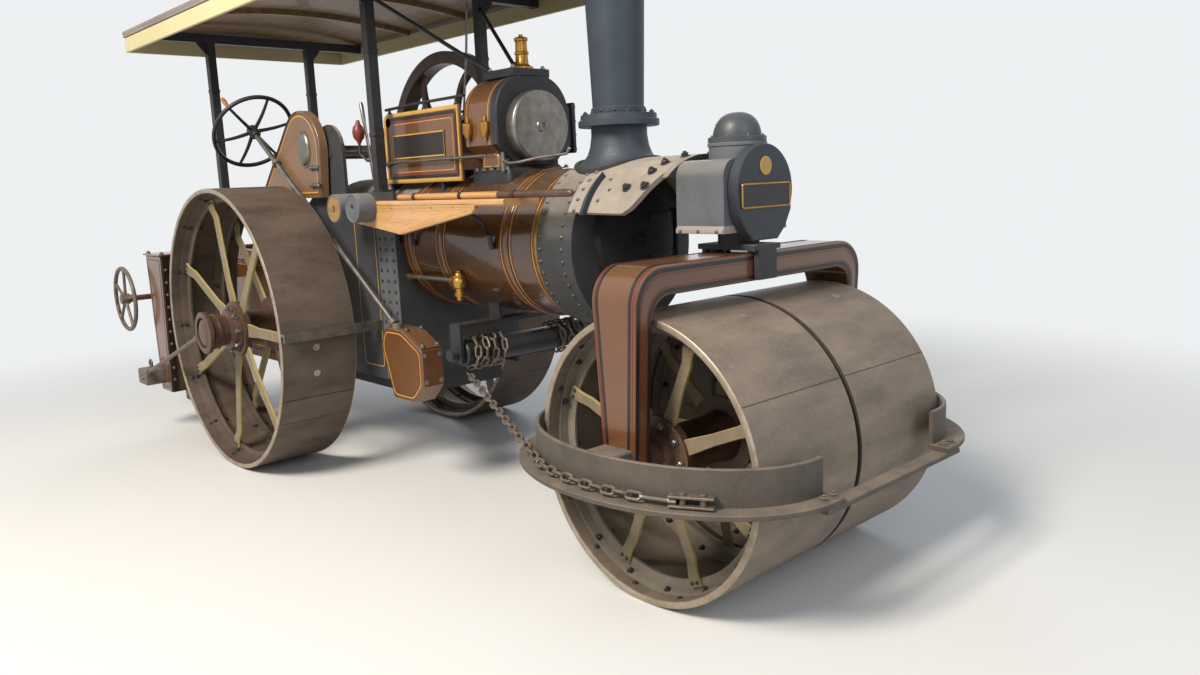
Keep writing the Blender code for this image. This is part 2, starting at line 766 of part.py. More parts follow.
def crankshaft():
    reach = HORN_OUTER_Y + RUN + FLYWHEEL_WIDE
    end = HORN_OUTER_Y + RUN
    near = CRANK_PIN_HALF + CRANK_WEB
    bm = bmesh.new()
    rod_between(bm, (0, -end, 0), (0, -CRANK_PIN_HALF - CRANK_WEB / 2, 0), CRANK_R, HUB_STEPS)
    shaft = put("crankshaft", smooth(to_mesh(bm, "crankshaft")), "bright_steel", (CRANK_X, 0, CRANK_Z))
    far = rod("far", (0, CRANK_PIN_HALF + CRANK_WEB / 2, 0), (0, reach, 0), CRANK_R, HUB_STEPS)
    low = -CRANK_R - CRANK_THROW / 2
    high = CRANK_THROW + CRANK_R
    webs = [box("web", (-CRANK_WEB_HALF, a, low), (CRANK_WEB_HALF, b, high))
            for a, b in ((-near, -CRANK_PIN_HALF), (CRANK_PIN_HALF, near))]
    pin = rod("pin", (0, -CRANK_PIN_HALF - CRANK_WEB / 2, CRANK_THROW),
              (0, CRANK_PIN_HALF + CRANK_WEB / 2, CRANK_THROW), CRANK_R * CRANK_PIN_SHARE, HUB_STEPS)
    return fuse(shaft, joined("webs", webs), far, pin)


def flywheel():
    half = FLYWHEEL_WIDE / 2
    middle = HORN_OUTER_Y + RUN + half
    inner = FLYWHEEL_R - FLYWHEEL_RIM
    profile = [(FLYWHEEL_R, half), (FLYWHEEL_R, -half), (inner, -half), (inner, half)]
    wheel = put("flywheel", turned("flywheel", profile, RIM_STEPS, "y", closed=True), "dark_brown",
                (CRANK_X, middle, CRANK_Z))
    bore = CRANK_R + SEAT
    boss = [(bore, half), (HUB_R, half), (HUB_R, -half), (bore, -half)]
    spokes = spoke_row("spokes", FLYWHEEL_SPOKES, 0, HUB_R - TEE_THICK, inner + TEE_THICK, 0,
                       SPOKE_WIDE, SPOKE_THICK * 2)
    return fuse(wheel, spokes, turned("boss", boss, HUB_STEPS, "y", closed=True))


def gear_guard():
    """Lined casing over the gears on the right, outside the side plate."""
    outer = GUARD_OUTER_Y
    inner = HORN_OUTER_Y + RUN * 2
    arch_z = GUARD_TOP - GUARD_ARCH_R
    heel_z = GUARD_BOTTOM + GUARD_HEEL
    back = GUARD_REAR - GUARD_ARCH_X
    drop = heel_z - arch_z
    tangent = degrees(atan2(drop, back) % (2 * pi) - acos(GUARD_ARCH_R / hypot(back, drop)))
    points = ([(GUARD_REAR, GUARD_BOTTOM), (GUARD_ARCH_X + GUARD_ARCH_R - GUARD_LEAN, GUARD_BOTTOM)]
              + arc((GUARD_ARCH_X, arch_z), GUARD_ARCH_R, 0, tangent, CORNER_STEPS * 2)
              + [(GUARD_REAR, heel_z)])
    casing = put("gear_guard", smooth(outline("gear_guard", points, outer - inner, "xz")), "brown_paint",
                 (0, -(outer + inner) / 2, 0))
    half = (outer - inner) / 2
    foot = box("foot", (GUARD_ARCH_X - GUARD_FOOT_LONG / 2, half - PLATE_THICK, GUARD_BOTTOM),
               (GUARD_ARCH_X + GUARD_FOOT_LONG / 2, half + RUN * 2 - SEAT, GUARD_BOTTOM + PLATE_THICK))
    oil_box = rod("oil_box", (GUARD_ARCH_X, 0, arch_z), (GUARD_ARCH_X, -half - GUARD_BOX_OUT, arch_z),
                  GUARD_BOX_R, HUB_STEPS)
    return fuse(casing, foot, oil_box)


def cylinder_points():
    """Front view of the lagged block: flat foot, round shoulders."""
    radius = CYLINDER_HALF * CYLINDER_ROUND_SHARE
    low = CYLINDER_BOTTOM
    knee = low + CYLINDER_HALF * CYLINDER_KNEE_SHARE
    foot = CYLINDER_HALF * CYLINDER_FOOT_SHARE
    corner = (CYLINDER_HALF - radius, CYLINDER_TOP - radius)
    return ([(foot, low), (CYLINDER_HALF, knee)]
            + arc(corner, radius, 0, 90, CORNER_STEPS)
            + arc((-corner[0], corner[1]), radius, 90, 180, CORNER_STEPS)
            + [(-CYLINDER_HALF, knee), (-foot, low)])


def cylinder_block():
    long = CYLINDER_FRONT - CYLINDER_REAR
    middle = (CYLINDER_FRONT + CYLINDER_REAR) / 2
    block = put("cylinder_block", smooth(outline("cylinder_block", cylinder_points(), long, "yz")),
                "brown_paint", (middle, 0, 0))
    seat_z = BOILER_Z
    half = long / 2
    saddle = box("saddle", (-half + SADDLE_FOOT, -SADDLE_HALF, seat_z),
                 (half - SADDLE_FOOT / 2, SADDLE_HALF, CYLINDER_BOTTOM + SADDLE_FOOT))
    flange = box("flange", (-half, -SADDLE_HALF - SADDLE_FOOT, seat_z),
                 (half + SADDLE_FOOT, SADDLE_HALF + SADDLE_FOOT, BOILER_Z + BOILER_R))
    chest = box("chest", (-half + SADDLE_FOOT, CYLINDER_HALF - SADDLE_FOOT, CYLINDER_Z - CHEST_TALL / 2),
                (half - SADDLE_FOOT, CYLINDER_HALF + CHEST_OUT, CYLINDER_Z + CHEST_TALL / 2))
    plate = box("plate", (-half + SADDLE_FOOT, -TOP_PLATE_HALF, CYLINDER_TOP - SADDLE_FOOT),
                (half, TOP_PLATE_HALF, CYLINDER_TOP + TOP_PLATE_THICK))
    fuse(block, saddle, flange, chest, plate)
    return cut(block, barrel_seat(-long, long))


def cylinder_cover():
    edge = COVER_THICK * COVER_EDGE_SHARE
    plug = COVER_THICK + BOLT_HEAD
    profile = [(0, plug), (BOLT_R * 2, plug), (BOLT_R * 2, COVER_THICK), (COVER_R - edge, COVER_THICK),
               (COVER_R, COVER_THICK - edge), (COVER_R, 0), (0, 0)]
    put("cylinder_cover", turned("cylinder_cover", profile, HUB_STEPS, "x"), "bright_steel",
        (CYLINDER_FRONT + SEAT, 0, CYLINDER_Z))


def safety_valve():
    foot = VALVE_R * VALVE_FOOT_SHARE
    ring = VALVE_TALL * VALVE_RING_SHARE
    profile = [(0, VALVE_TALL), (VALVE_R * VALVE_TOP_SHARE, VALVE_TALL), (VALVE_R, VALVE_TALL - ring),
               (VALVE_R, ring), (foot, ring), (foot, 0), (0, 0)]
    put("safety_valve", turned("safety_valve", profile, HUB_STEPS, "z"), "brass",
        (VALVE_X, 0, CYLINDER_TOP + TOP_PLATE_THICK + SEAT))


def motion_plates():
    """Lined side plates over the motion, tied by a cross plate on the boiler."""
    low = MOTION_BOTTOM
    front = CYLINDER_REAR - SEAT
    radius = PLATE_THICK * 2
    corners = arc((MOTION_REAR + radius, MOTION_TOP - radius), radius, 90, 180, CORNER_STEPS)
    points = [(MOTION_REAR, low), (front, low), (front, MOTION_TOP)] + corners
    sides = [moved(outline("side", points, MOTION_THICK, "xz"), (0, sign * MOTION_HALF, 0))
             for sign in (-1, 1)]
    plates = put("motion_plates", sides[0], "brown_paint")
    cross_x = MOTION_REAR + (front - MOTION_REAR) * MOTION_CROSS_SHARE
    crosses = [box("cross", (x, -MOTION_HALF, BOILER_Z), (x + PLATE_THICK, MOTION_HALF, low + MOTION_CROSS))
               for x in (cross_x, MOTION_REAR)]
    fuse(plates, *crosses, sides[1])
    cut(plates, barrel_seat(MOTION_REAR - OVERRUN, CYLINDER_FRONT))
    return plates


def slide_bars():
    """Two bars with the crosshead and the piston rod between them."""
    front = CYLINDER_REAR - SEAT
    rear = CRANK_X + CRANK_THROW + CRANK_R + CRANK_WEB_HALF + RUN * 4
    half = SLIDE_THICK
    top = CYLINDER_Z + SLIDE_APART
    low = CYLINDER_Z - SLIDE_APART
    upper = put("slide_bars", box("slide_bars", (rear, -half, top), (front, half, top + SLIDE_THICK)),
                "bright_steel")
    middle = (rear + front) / 2
    lower = box("lower", (rear, -half, low - SLIDE_THICK), (front, half, low))
    head = box("head", (middle, -half, low - SLIDE_THICK / 2),
               (middle + CROSSHEAD_LONG, half, top + SLIDE_THICK / 2))
    piston = rod("piston", (middle + CROSSHEAD_LONG / 2, 0, CYLINDER_Z), (front, 0, CYLINDER_Z), PISTON_ROD_R)
    return fuse(upper, lower, head, piston)


def barrel_seat(rear, front, radius=None):
    """Cutter that seats a piece on the boiler, in stations."""
    round_r = radius or BOILER_R + SEAT
    mesh = turned("seat", [(0, front), (round_r, front), (round_r, rear), (0, rear)], DRUM_STEPS, "x")
    return moved(mesh, (0, 0, BOILER_Z))


def chimney():
    base_low = BOILER_Z + SMOKEBOX_R * CHIMNEY_SINK_SHARE
    flange_top = CHIMNEY_FLANGE_Z + CHIMNEY_FLANGE
    skirt_top = BOILER_Z + SMOKEBOX_R + SADDLE_FOOT
    profile = [(0, flange_top), (CHIMNEY_FLANGE_R, flange_top), (CHIMNEY_FLANGE_R, CHIMNEY_FLANGE_Z),
               (CHIMNEY_BASE_R, CHIMNEY_FLANGE_Z), (CHIMNEY_BASE_R, skirt_top),
               (CHIMNEY_SKIRT_R, skirt_top - SADDLE_FOOT), (CHIMNEY_SKIRT_R, base_low), (0, base_low)]
    base = put("chimney_base", turned("chimney_base", profile, DRUM_STEPS // 2, "z"), "blue_grey",
               (CHIMNEY_X, 0, 0))
    reach = CHIMNEY_SKIRT_R + OVERRUN
    cut(base, barrel_seat(-reach, reach, SMOKEBOX_R + HOOD_LAP + SEAT))
    ring_r = (CHIMNEY_FLANGE_R + CHIMNEY_BAND_R) / 2
    fuse(base, bolt_ring(CHIMNEY_BOLTS, ring_r, flange_top, "z"))
    low = flange_top + SEAT
    band = low + CHIMNEY_BAND
    lip = CHIMNEY_TOP - CHIMNEY_LIP
    shaft = [(CHIMNEY_LIP_R, CHIMNEY_TOP), (CHIMNEY_LIP_R, lip), (CHIMNEY_TOP_R, lip),
             (CHIMNEY_FOOT_R, band), (CHIMNEY_BAND_R, band), (CHIMNEY_BAND_R, low),
             (CHIMNEY_BORE, low), (CHIMNEY_BORE, CHIMNEY_TOP)]
    put("chimney", turned("chimney", shaft, DRUM_STEPS // 2, "z", closed=True), "blue_grey",
        (CHIMNEY_X, 0, 0))


def headstock():
    """Bulkhead under the hood, side box, round turret and front shield."""
    rear = HOOD_FRONT
    span = 360 / DRUM_STEPS * HOOD_FRONT_STEPS
    moon = arc((0, BOILER_Z), SMOKEBOX_R + HOOD_LAP, 90 - span, 90 + span, HOOD_FRONT_STEPS * 2)
    thick = PLATE_THICK * BULKHEAD_SHARE
    head = put("headstock", outline("headstock", moon, thick, "yz"), "smokebox_grey",
               (rear + thick / 2, 0, 0))
    x0 = rear + thick / 2
    long = SHIELD_FRONT - SHIELD_THICK / 2 - x0
    bend_y, bend_z = HEAD_HALF - HEAD_SHOULDER, HEAD_TOP - HEAD_SHOULDER
    section = ([(HEAD_HALF + HEAD_LIP, HEAD_BOTTOM), (HEAD_HALF + HEAD_LIP, HEAD_BOTTOM + HEAD_LIP),
                (HEAD_HALF, HEAD_BOTTOM + HEAD_LIP * 2)]
               + arc((bend_y, bend_z), HEAD_SHOULDER, 0, 90, CORNER_STEPS)
               + arc((-bend_y, bend_z), HEAD_SHOULDER, 90, 180, CORNER_STEPS)
               + [(-HEAD_HALF, HEAD_BOTTOM + HEAD_LIP * 2), (-HEAD_HALF - HEAD_LIP, HEAD_BOTTOM + HEAD_LIP),
                  (-HEAD_HALF - HEAD_LIP, HEAD_BOTTOM)])
    body = moved(outline("body", section, long, "yz"), (long / 2, 0, 0))
    top_r = SHIELD_HALF
    waist = SHIELD_BOTTOM + (SHIELD_TOP - SHIELD_BOTTOM) * SHIELD_WAIST_SHARE
    foot = SHIELD_HALF * SHIELD_FOOT_SHARE
    points = ([(foot, SHIELD_BOTTOM), (SHIELD_HALF, waist)]
              + arc((0, SHIELD_TOP - top_r), top_r, 0, 180, CORNER_STEPS * 2)
              + [(-SHIELD_HALF, waist), (-foot, SHIELD_BOTTOM)])
    shield = moved(outline("shield", points, SHIELD_THICK, "yz"), (long, 0, 0))
    turret = turned("turret", [(0, TURRET_TOP), (TURRET_R, TURRET_TOP), (TURRET_R, HEAD_TOP - SADDLE_FOOT),
                               (0, HEAD_TOP - SADDLE_FOOT)], DRUM_STEPS // 2, "z")
    return fuse(head, body, shield, moved(turret, (WHEELBASE - x0, 0, 0)))


def headstock_cap():
    low = TURRET_TOP + SEAT
    radius = DOME_R
    rise = DOME_TOP - low - DOME_FLANGE
    dome = [(radius * cos(a), low + DOME_FLANGE + rise * sin(a))
            for a in [radians(d) for d in (80, 60, 40, 20, 0)]]
    profile = [(0, DOME_TOP)] + dome + [(DOME_FLANGE_R, low + DOME_FLANGE), (DOME_FLANGE_R, low), (0, low)]
    put("headstock_cap", turned("headstock_cap", profile, DRUM_STEPS // 2, "z"), "blue_grey",
        (WHEELBASE, 0, 0))


def swivel():
    """Turns under the headstock; its cheeks and cross pin carry the fork."""
    plate_low = FORK_TOP + TILT_GAP
    plate_high = plate_low + SWIVEL_PLATE
    reach = FORK_WIDE / 2 + RUN
    outer = reach + SWIVEL_CHEEK
    half = SWIVEL_PLATE_HALF
    pin_z = FORK_TOP - FORK_BEAM / 2
    low = pin_z - TILT_PIN_R * SWIVEL_DROP_SHARE
    post = turned("swivel", [(0, HEAD_BOTTOM - PIN_PLAY), (SWIVEL_POST_R, HEAD_BOTTOM - PIN_PLAY),
                             (SWIVEL_POST_R, plate_low), (0, plate_low)], HUB_STEPS, "z")
    block = put("steering_swivel", post, "smokebox_grey", (WHEELBASE, 0, 0))
    plate = box("plate", (-outer, -half, plate_low), (outer, half, plate_high))
    cheek = half * SWIVEL_CHEEK_SHARE
    cheeks = [box("cheek", (a, -cheek, low), (b, cheek, plate_low + SWIVEL_PLATE / 2))
              for a, b in ((-outer, -reach), (reach, outer))]
    pin = rod("pin", (-outer + SWIVEL_CHEEK / 2, 0, pin_z), (outer - SWIVEL_CHEEK / 2, 0, pin_z),
              TILT_PIN_R, HUB_STEPS)
    return fuse(block, plate, joined("cheeks", cheeks), pin)


def fork():
    outer = FORK_OUTER_Y
    inner = outer - FORK_LEG
    beam_low = FORK_TOP - FORK_BEAM
    small = FORK_CORNER_R - FORK_LEG / 2
    top = FORK_TOP
    r = FORK_CORNER_R
    points = ([(outer, FORK_FOOT_Z)] + arc((outer - r, top - r), r, 0, 90, CORNER_STEPS)
              + arc((-outer + r, top - r), r, 90, 180, CORNER_STEPS)
              + [(-outer, FORK_FOOT_Z), (-inner, FORK_FOOT_Z)]
              + arc((-inner + small, beam_low - small), small, 180, 90, CORNER_STEPS)
              + arc((inner - small, beam_low - small), small, 90, 0, CORNER_STEPS)
              + [(inner, FORK_FOOT_Z)])
    mesh = outline("fork", points, FORK_WIDE, "yz")
    for vertex in mesh.vertices:
        if vertex.co.z < FORK_FOOT_Z + SEAT:
            vertex.co.x *= FORK_FOOT_WIDE / FORK_WIDE
    frame = put("fork", smooth(mesh), "brown_paint", (WHEELBASE, 0, 0))
    half = FORK_FOOT_WIDE / 2
    reach = BOW_Y + BOW_DEEP
    feet = [box("foot", (-half, min(sign * inner, sign * reach), BOW_BOTTOM - BOW_LEDGE_THICK),
                (half, max(sign * inner, sign * reach), FORK_FOOT_TOP)) for sign in (-1, 1)]
    fuse(frame, joined("feet", feet))
    pin_z = FORK_TOP - FORK_BEAM / 2
    bore = rod("bore", (-FORK_WIDE, 0, pin_z), (FORK_WIDE, 0, pin_z), TILT_PIN_R + PIN_PLAY, HUB_STEPS)
    cut(frame, bore)
    for sign in (-1, 1):
        ring = (ellipse(BOW_LEDGE, BOW_START, BOW_END, BOW_STEPS, sign)
                + ellipse(-BOW_THICK - SEAT, BOW_END, BOW_START, BOW_STEPS, sign))
        tall = BOW_TOP - BOW_BOTTOM + 2 * OVERRUN
        cut(frame, moved(outline("trim_%d" % sign, ring, tall, "xy"), (0, 0, (BOW_TOP + BOW_BOTTOM) / 2)))
    return frame


def ellipse(grow, start, end, steps, sign):
    """Points of a steering bow's curve, widened by grow, angles from +X."""
    points = []
    for i in range(steps + 1):
        a = radians(start + (end - start) * i / steps)
        points.append(((BOW_LONG + grow) * cos(a), sign * (BOW_Y + (BOW_DEEP + grow) * sin(a))))
    return points


def steering_bows():
    """Both bows with their ledges, tied by a flat bar in front of the roll."""
    low = BOW_BOTTOM
    pieces = []
    for sign in (-1, 1):
        band = (ellipse(0, BOW_START, BOW_END, BOW_STEPS, sign)
                + ellipse(-BOW_THICK, BOW_END, BOW_START, BOW_STEPS, sign))
        first = BOW_START - LEDGE_END_DEGREES
        last = BOW_END + LEDGE_END_DEGREES
        ledge = (ellipse(BOW_LEDGE, first, last, BOW_STEPS, sign)
                 + ellipse(-BOW_THICK / 2, last, first, BOW_STEPS, sign))
        pieces.append(moved(outline("band", band, BOW_TOP - low, "xy"), (0, 0, (BOW_TOP + low) / 2)))
        pieces.append(moved(outline("ledge", ledge, BOW_LEDGE_THICK, "xy"),
                            (0, 0, low - BOW_LEDGE_THICK / 2 + SEAT)))
    inner_y = BOW_Y + BOW_DEEP * sin(radians(BOW_START))
    bar_low = low - BOW_LEDGE_THICK
    bar = box("tie_bar", (BOW_LONG + BOW_THICK / 2, -inner_y - TIE_LAP, bar_low - TIE_THICK),
              (BOW_LONG + BOW_LEDGE, inner_y + TIE_LAP, bar_low + BOW_LEDGE_THICK / 2))
    bows = put("steering_bows", smooth(pieces[0]), "smokebox_grey", (WHEELBASE, 0, 0))
    return fuse(bows, pieces[1], bar, pieces[3], pieces[2])


def barrel_profile():
    """Half-waves of coiled chain on both ends of a plain barrel."""
    end = BARREL_HALF
    points = [(0, end), (BARREL_SHAFT_R * 2, end)]
    for sign in (1, -1):
        coil = []
        for index in range(BARREL_COILS):
            centre = end - CHAIN_R * 2 - BARREL_COIL_PITCH * index
            half = BARREL_COIL_PITCH / 2
            foot, crest = [half * share for share in COIL_SHARES]
            coil += [(BARREL_R, centre + foot), (BARREL_COIL_R, centre + crest),
                     (BARREL_COIL_R, centre - crest), (BARREL_R, centre - foot)]
        if sign < 0:
            coil = [(radius, -place) for radius, place in reversed(coil)]
        points += coil
    return points + [(BARREL_SHAFT_R * 2, -end), (0, -end)]


def chain_barrel():
    pitch = chain_line(1)[2]
    barrel = put("chain_barrel", turned("chain_barrel", barrel_profile(), BARREL_STEPS, "y"), "chain_steel",
                 (BARREL_X, 0, BARREL_Z), (0, pitch, 0))
    reach = CASE_OUTER_Y - PLATE_THICK * 2
    shaft = rod("shaft", (0, -reach, 0), (0, BARREL_HALF + PLATE_THICK * 3, 0), BARREL_SHAFT_R, HUB_STEPS)
    return fuse(barrel, shaft)


def barrel_hangers():
    """Two straps from the boiler down to the barrel's shaft."""
    y0 = BARREL_HALF + PLATE_THICK / 2
    half = BARREL_SHAFT_R * HANGER_WIDE_SHARE
    strap_y = BOILER_R * HANGER_PLACE_SHARE
    boiler_low = BOILER_Z - sqrt(BOILER_R ** 2 - strap_y ** 2)
    strap = put("barrel_hangers", box("barrel_hangers", (-half, -y0 - PLATE_THICK, half * 2),
                                      (half, y0 + PLATE_THICK, half * 2 + PLATE_THICK)), "black",
                (BARREL_X, 0, BARREL_Z + BARREL_COIL_R - half))
    drop = -BARREL_COIL_R + half
    plates = []
    for sign in (-1, 1):
        a, b = sorted((sign * (y0 + SEAT), sign * (y0 + PLATE_THICK)))
        plates.append(box("hanger", (-half, a, drop - half), (half, b, half * 2 + PLATE_THICK)))
        rise = boiler_low - (BARREL_Z + BARREL_COIL_R - half)
        a, b = sorted((sign * strap_y, sign * (strap_y - PLATE_THICK)))
        plates.append(box("post", (-half, a, half * 2), (half, b, rise + PLATE_THICK)))
    fuse(strap, *plates)
    reach = y0 + PLATE_THICK + OVERRUN
    bore = rod("bore", (0, -reach, drop), (0, reach, drop), BARREL_SHAFT_R + PIN_PLAY, HUB_STEPS)
    hollow = moved(barrel_seat(-half * 2, half * 2), (0, 0, -(BARREL_Z + BARREL_COIL_R - half)))
    return cut(strap, bore, hollow)


def chain_line(sign):
    """Where the free chain leaves the barrel's outermost coil and meets the bow, and its pitch."""
    x, y = ellipse(CHAIN_R + CHAIN_PLAY, CHAIN_MEET_DEGREES, CHAIN_MEET_DEGREES, 1, sign)[0]
    end = Vector((WHEELBASE + x, y, CHAIN_Z))
    reach = BARREL_COIL_R + CHAIN_R + SEAT * 2
    pitch = atan2(BARREL_Z - reach - CHAIN_Z, end.x - BARREL_X)
    below = Vector((BARREL_X, sign * (BARREL_HALF - CHAIN_R * 2), BARREL_Z - reach / cos(pitch)))
    start = below - (end - below) * (reach * sin(pitch) / (end.x - BARREL_X))
    return start, end, pitch


def link(place, along, upright):
    """One link as a closed loop of square wire, lying along a line, flat or upright."""
    half = LINK_LONG / 2 - CHAIN_R
    ring_r = CHAIN_R - LINK_WIRE
    loop = arc((half, 0), ring_r, -90, 90, LINK_STEPS) + arc((-half, 0), ring_r, 90, 270, LINK_STEPS)
    curve = bpy.data.curves.new("link", "CURVE")
    curve.dimensions = "3D"
    curve.bevel_depth = LINK_WIRE
    curve.bevel_resolution = 0
    spline = curve.splines.new("POLY")
    spline.points.add(len(loop) - 1)
    for point, (a, b) in zip(spline.points, loop):
        point.co = (a, 0, b, 1) if upright else (a, b, 0, 1)
    spline.use_cyclic_u = True
    holder = bpy.data.objects.new("link", curve)
    bpy.context.scene.collection.objects.link(holder)
    mesh = evaluated(holder)
    mesh.transform(Matrix.Translation(place) @ along.to_track_quat("X", "Z").to_matrix().to_4x4())
    return mesh


def links(start, run, parity):
    """Every second link of a straight chain that hooks link into link."""
    pitch = LINK_LONG - LINK_WIRE * LINK_HOOK_SHARE
    first = LINK_LONG / 2 - CHAIN_R
    along = run.normalized()
    count = int((run.length - LINK_LONG + CHAIN_R) / pitch) + 1
    places = [start + along * (first + pitch * index) for index in range(parity, count, 2)]
    return joined("links", [link(place, along, parity == 0) for place in places])


def chains():
    for side, sign in (("right", -1), ("left", 1)):
        start, end, pitch = chain_line(sign)
        run = end - start
        stop = start + run * (1 - RUN / run.length)
        free = put("chain_run_" + side, links(Vector(), stop - start, 0), "chain_steel", start)
        fuse(free, links(Vector(), stop - start, 1))
        curve_points = ellipse(CHAIN_R + CHAIN_PLAY, CHAIN_MEET_DEGREES, CLEVIS_DEGREES,
                               BOW_STEPS // 2, sign)
        wrap_points = [(WHEELBASE + x, y, CHAIN_Z) for x, y in curve_points]
        curve = bpy.data.curves.new("wrap", "CURVE")
        curve.dimensions = "3D"
        curve.bevel_depth = CHAIN_R
        curve.bevel_resolution = 1
        curve.use_fill_caps = True
        spline = curve.splines.new("POLY")
        spline.points.add(len(wrap_points) - 1)
        for point, place in zip(spline.points, wrap_points):
            point.co = (*place, 1)
        holder = bpy.data.objects.new("wrap", curve)
        bpy.context.scene.collection.objects.link(holder)
        mesh = evaluated(holder)
        bm = bmesh.new()
        bm.from_mesh(mesh)
        bmesh.ops.remove_doubles(bm, verts=bm.verts, dist=SEAT / 10)
        wrap = put("chain_wrap_" + side, smooth(to_mesh(bm, "chain_wrap")), "chain_steel")
        last = Vector(wrap_points[-1])
        out = CHAIN_R
        lug = box("lug", (last.x - CLEVIS_LONG / 2, last.y - out, BOW_BOTTOM + SEAT * 2),
                  (last.x + CLEVIS_LONG / 2, last.y + out, CHAIN_Z + CLEVIS_TALL - CHAIN_R))
        spread = atan2((last.y - wrap_points[-2][1]), (last.x - wrap_points[-2][0]))
        lug.transform(Matrix.Translation(last) @ Matrix.Rotation(spread, 4, "Z") @ Matrix.Translation(-last))
        fuse(wrap, lug)


def wheel_pieces(radius, wire, spokes):
    """Rim and arms of a hand wheel about Z."""
    rim = turned("rim", [(radius + wire * cos(a), wire * sin(a)) for a in
                         [radians(90 - 60 * i) for i in range(6)]], RIM_STEPS // 2, "z", closed=True)
    angles = [2 * pi * (i + ARM_PHASE_SHARE) / spokes for i in range(spokes)]
    arms = [rod("arm", (wire * cos(a), wire * sin(a), 0), (radius * cos(a), radius * sin(a), 0),
                wire * ARM_SHARE, 6) for a in angles]
    return [rim] + arms


def steering_gear():
    """Column down the right side to a worm case beside the barrel."""
    hub = Vector((WHEEL_HUB_X, -COLUMN_Y, WHEEL_HUB_Z))
    low = Vector((CASE_REAR + (CASE_FRONT - CASE_REAR) * COLUMN_FOOT_SHARE, -COLUMN_Y, CASE_TOP + SEAT))
    along = (low - hub).normalized()
    slope = hypot(along.x, along.y) / -along.z
    column = rod("steering_column", hub, low - along * COLUMN_R * slope, COLUMN_R, 16)
    shaft = put("steering_column", column, "bright_steel")
    place = Matrix.Translation(hub) @ along.to_track_quat("Z", "Y").to_matrix().to_4x4()
    boss = rod("boss", (0, 0, -STEER_HUB_LONG / 2), (0, 0, STEER_HUB_LONG / 2), STEER_HUB_R, 16)
    pieces = [boss] + wheel_pieces(STEER_WHEEL_R, STEER_WHEEL_WIRE, STEER_WHEEL_SPOKES)
    for piece in pieces:
        piece.transform(place)
    fuse(shaft, *pieces)
    chamfer = (CASE_TOP - CASE_BOTTOM) / 4
    points = [(CASE_REAR + chamfer, CASE_BOTTOM), (CASE_FRONT - chamfer, CASE_BOTTOM),
              (CASE_FRONT, CASE_BOTTOM + chamfer), (CASE_FRONT, CASE_TOP - chamfer),
              (CASE_FRONT - chamfer * 2, CASE_TOP), (CASE_REAR + chamfer / 2, CASE_TOP),
              (CASE_REAR, CASE_TOP - chamfer)]
    inner = HORN_OUTER_Y + SEAT
    put("worm_case", outline("worm_case", points, CASE_OUTER_Y - inner, "xz"), "brown_paint",
        (0, -(CASE_OUTER_Y + inner) / 2, 0))


def tender():
    front = HORN_REAR - SEAT
    body = put("tender", box("tender", (TENDER_REAR, -TENDER_HALF, TENDER_BOTTOM),
                             (front, TENDER_HALF, TENDER_TOP)), "brown_paint")
    inner = TENDER_HALF - TENDER_WALL
    high = TENDER_TOP + OVERRUN
    bunker = box("bunker", (TENDER_REAR + TENDER_WALL, -inner, TENDER_FLOOR), (BUNKER_FRONT, inner, high))
    stand = box("stand", (BUNKER_FRONT + TENDER_WALL, -inner, TENDER_FLOOR), (front + OVERRUN, inner, high))
    cut(body, bunker, stand)
    bar = box("drawbar", (TENDER_REAR - DRAWBAR_LONG, -DRAWBAR_WIDE / 2, DRAWBAR_Z - DRAWBAR_TALL / 2),
              (TENDER_REAR + OVERRUN, DRAWBAR_WIDE / 2, DRAWBAR_Z + DRAWBAR_TALL / 2))
    return fuse(body, bar)


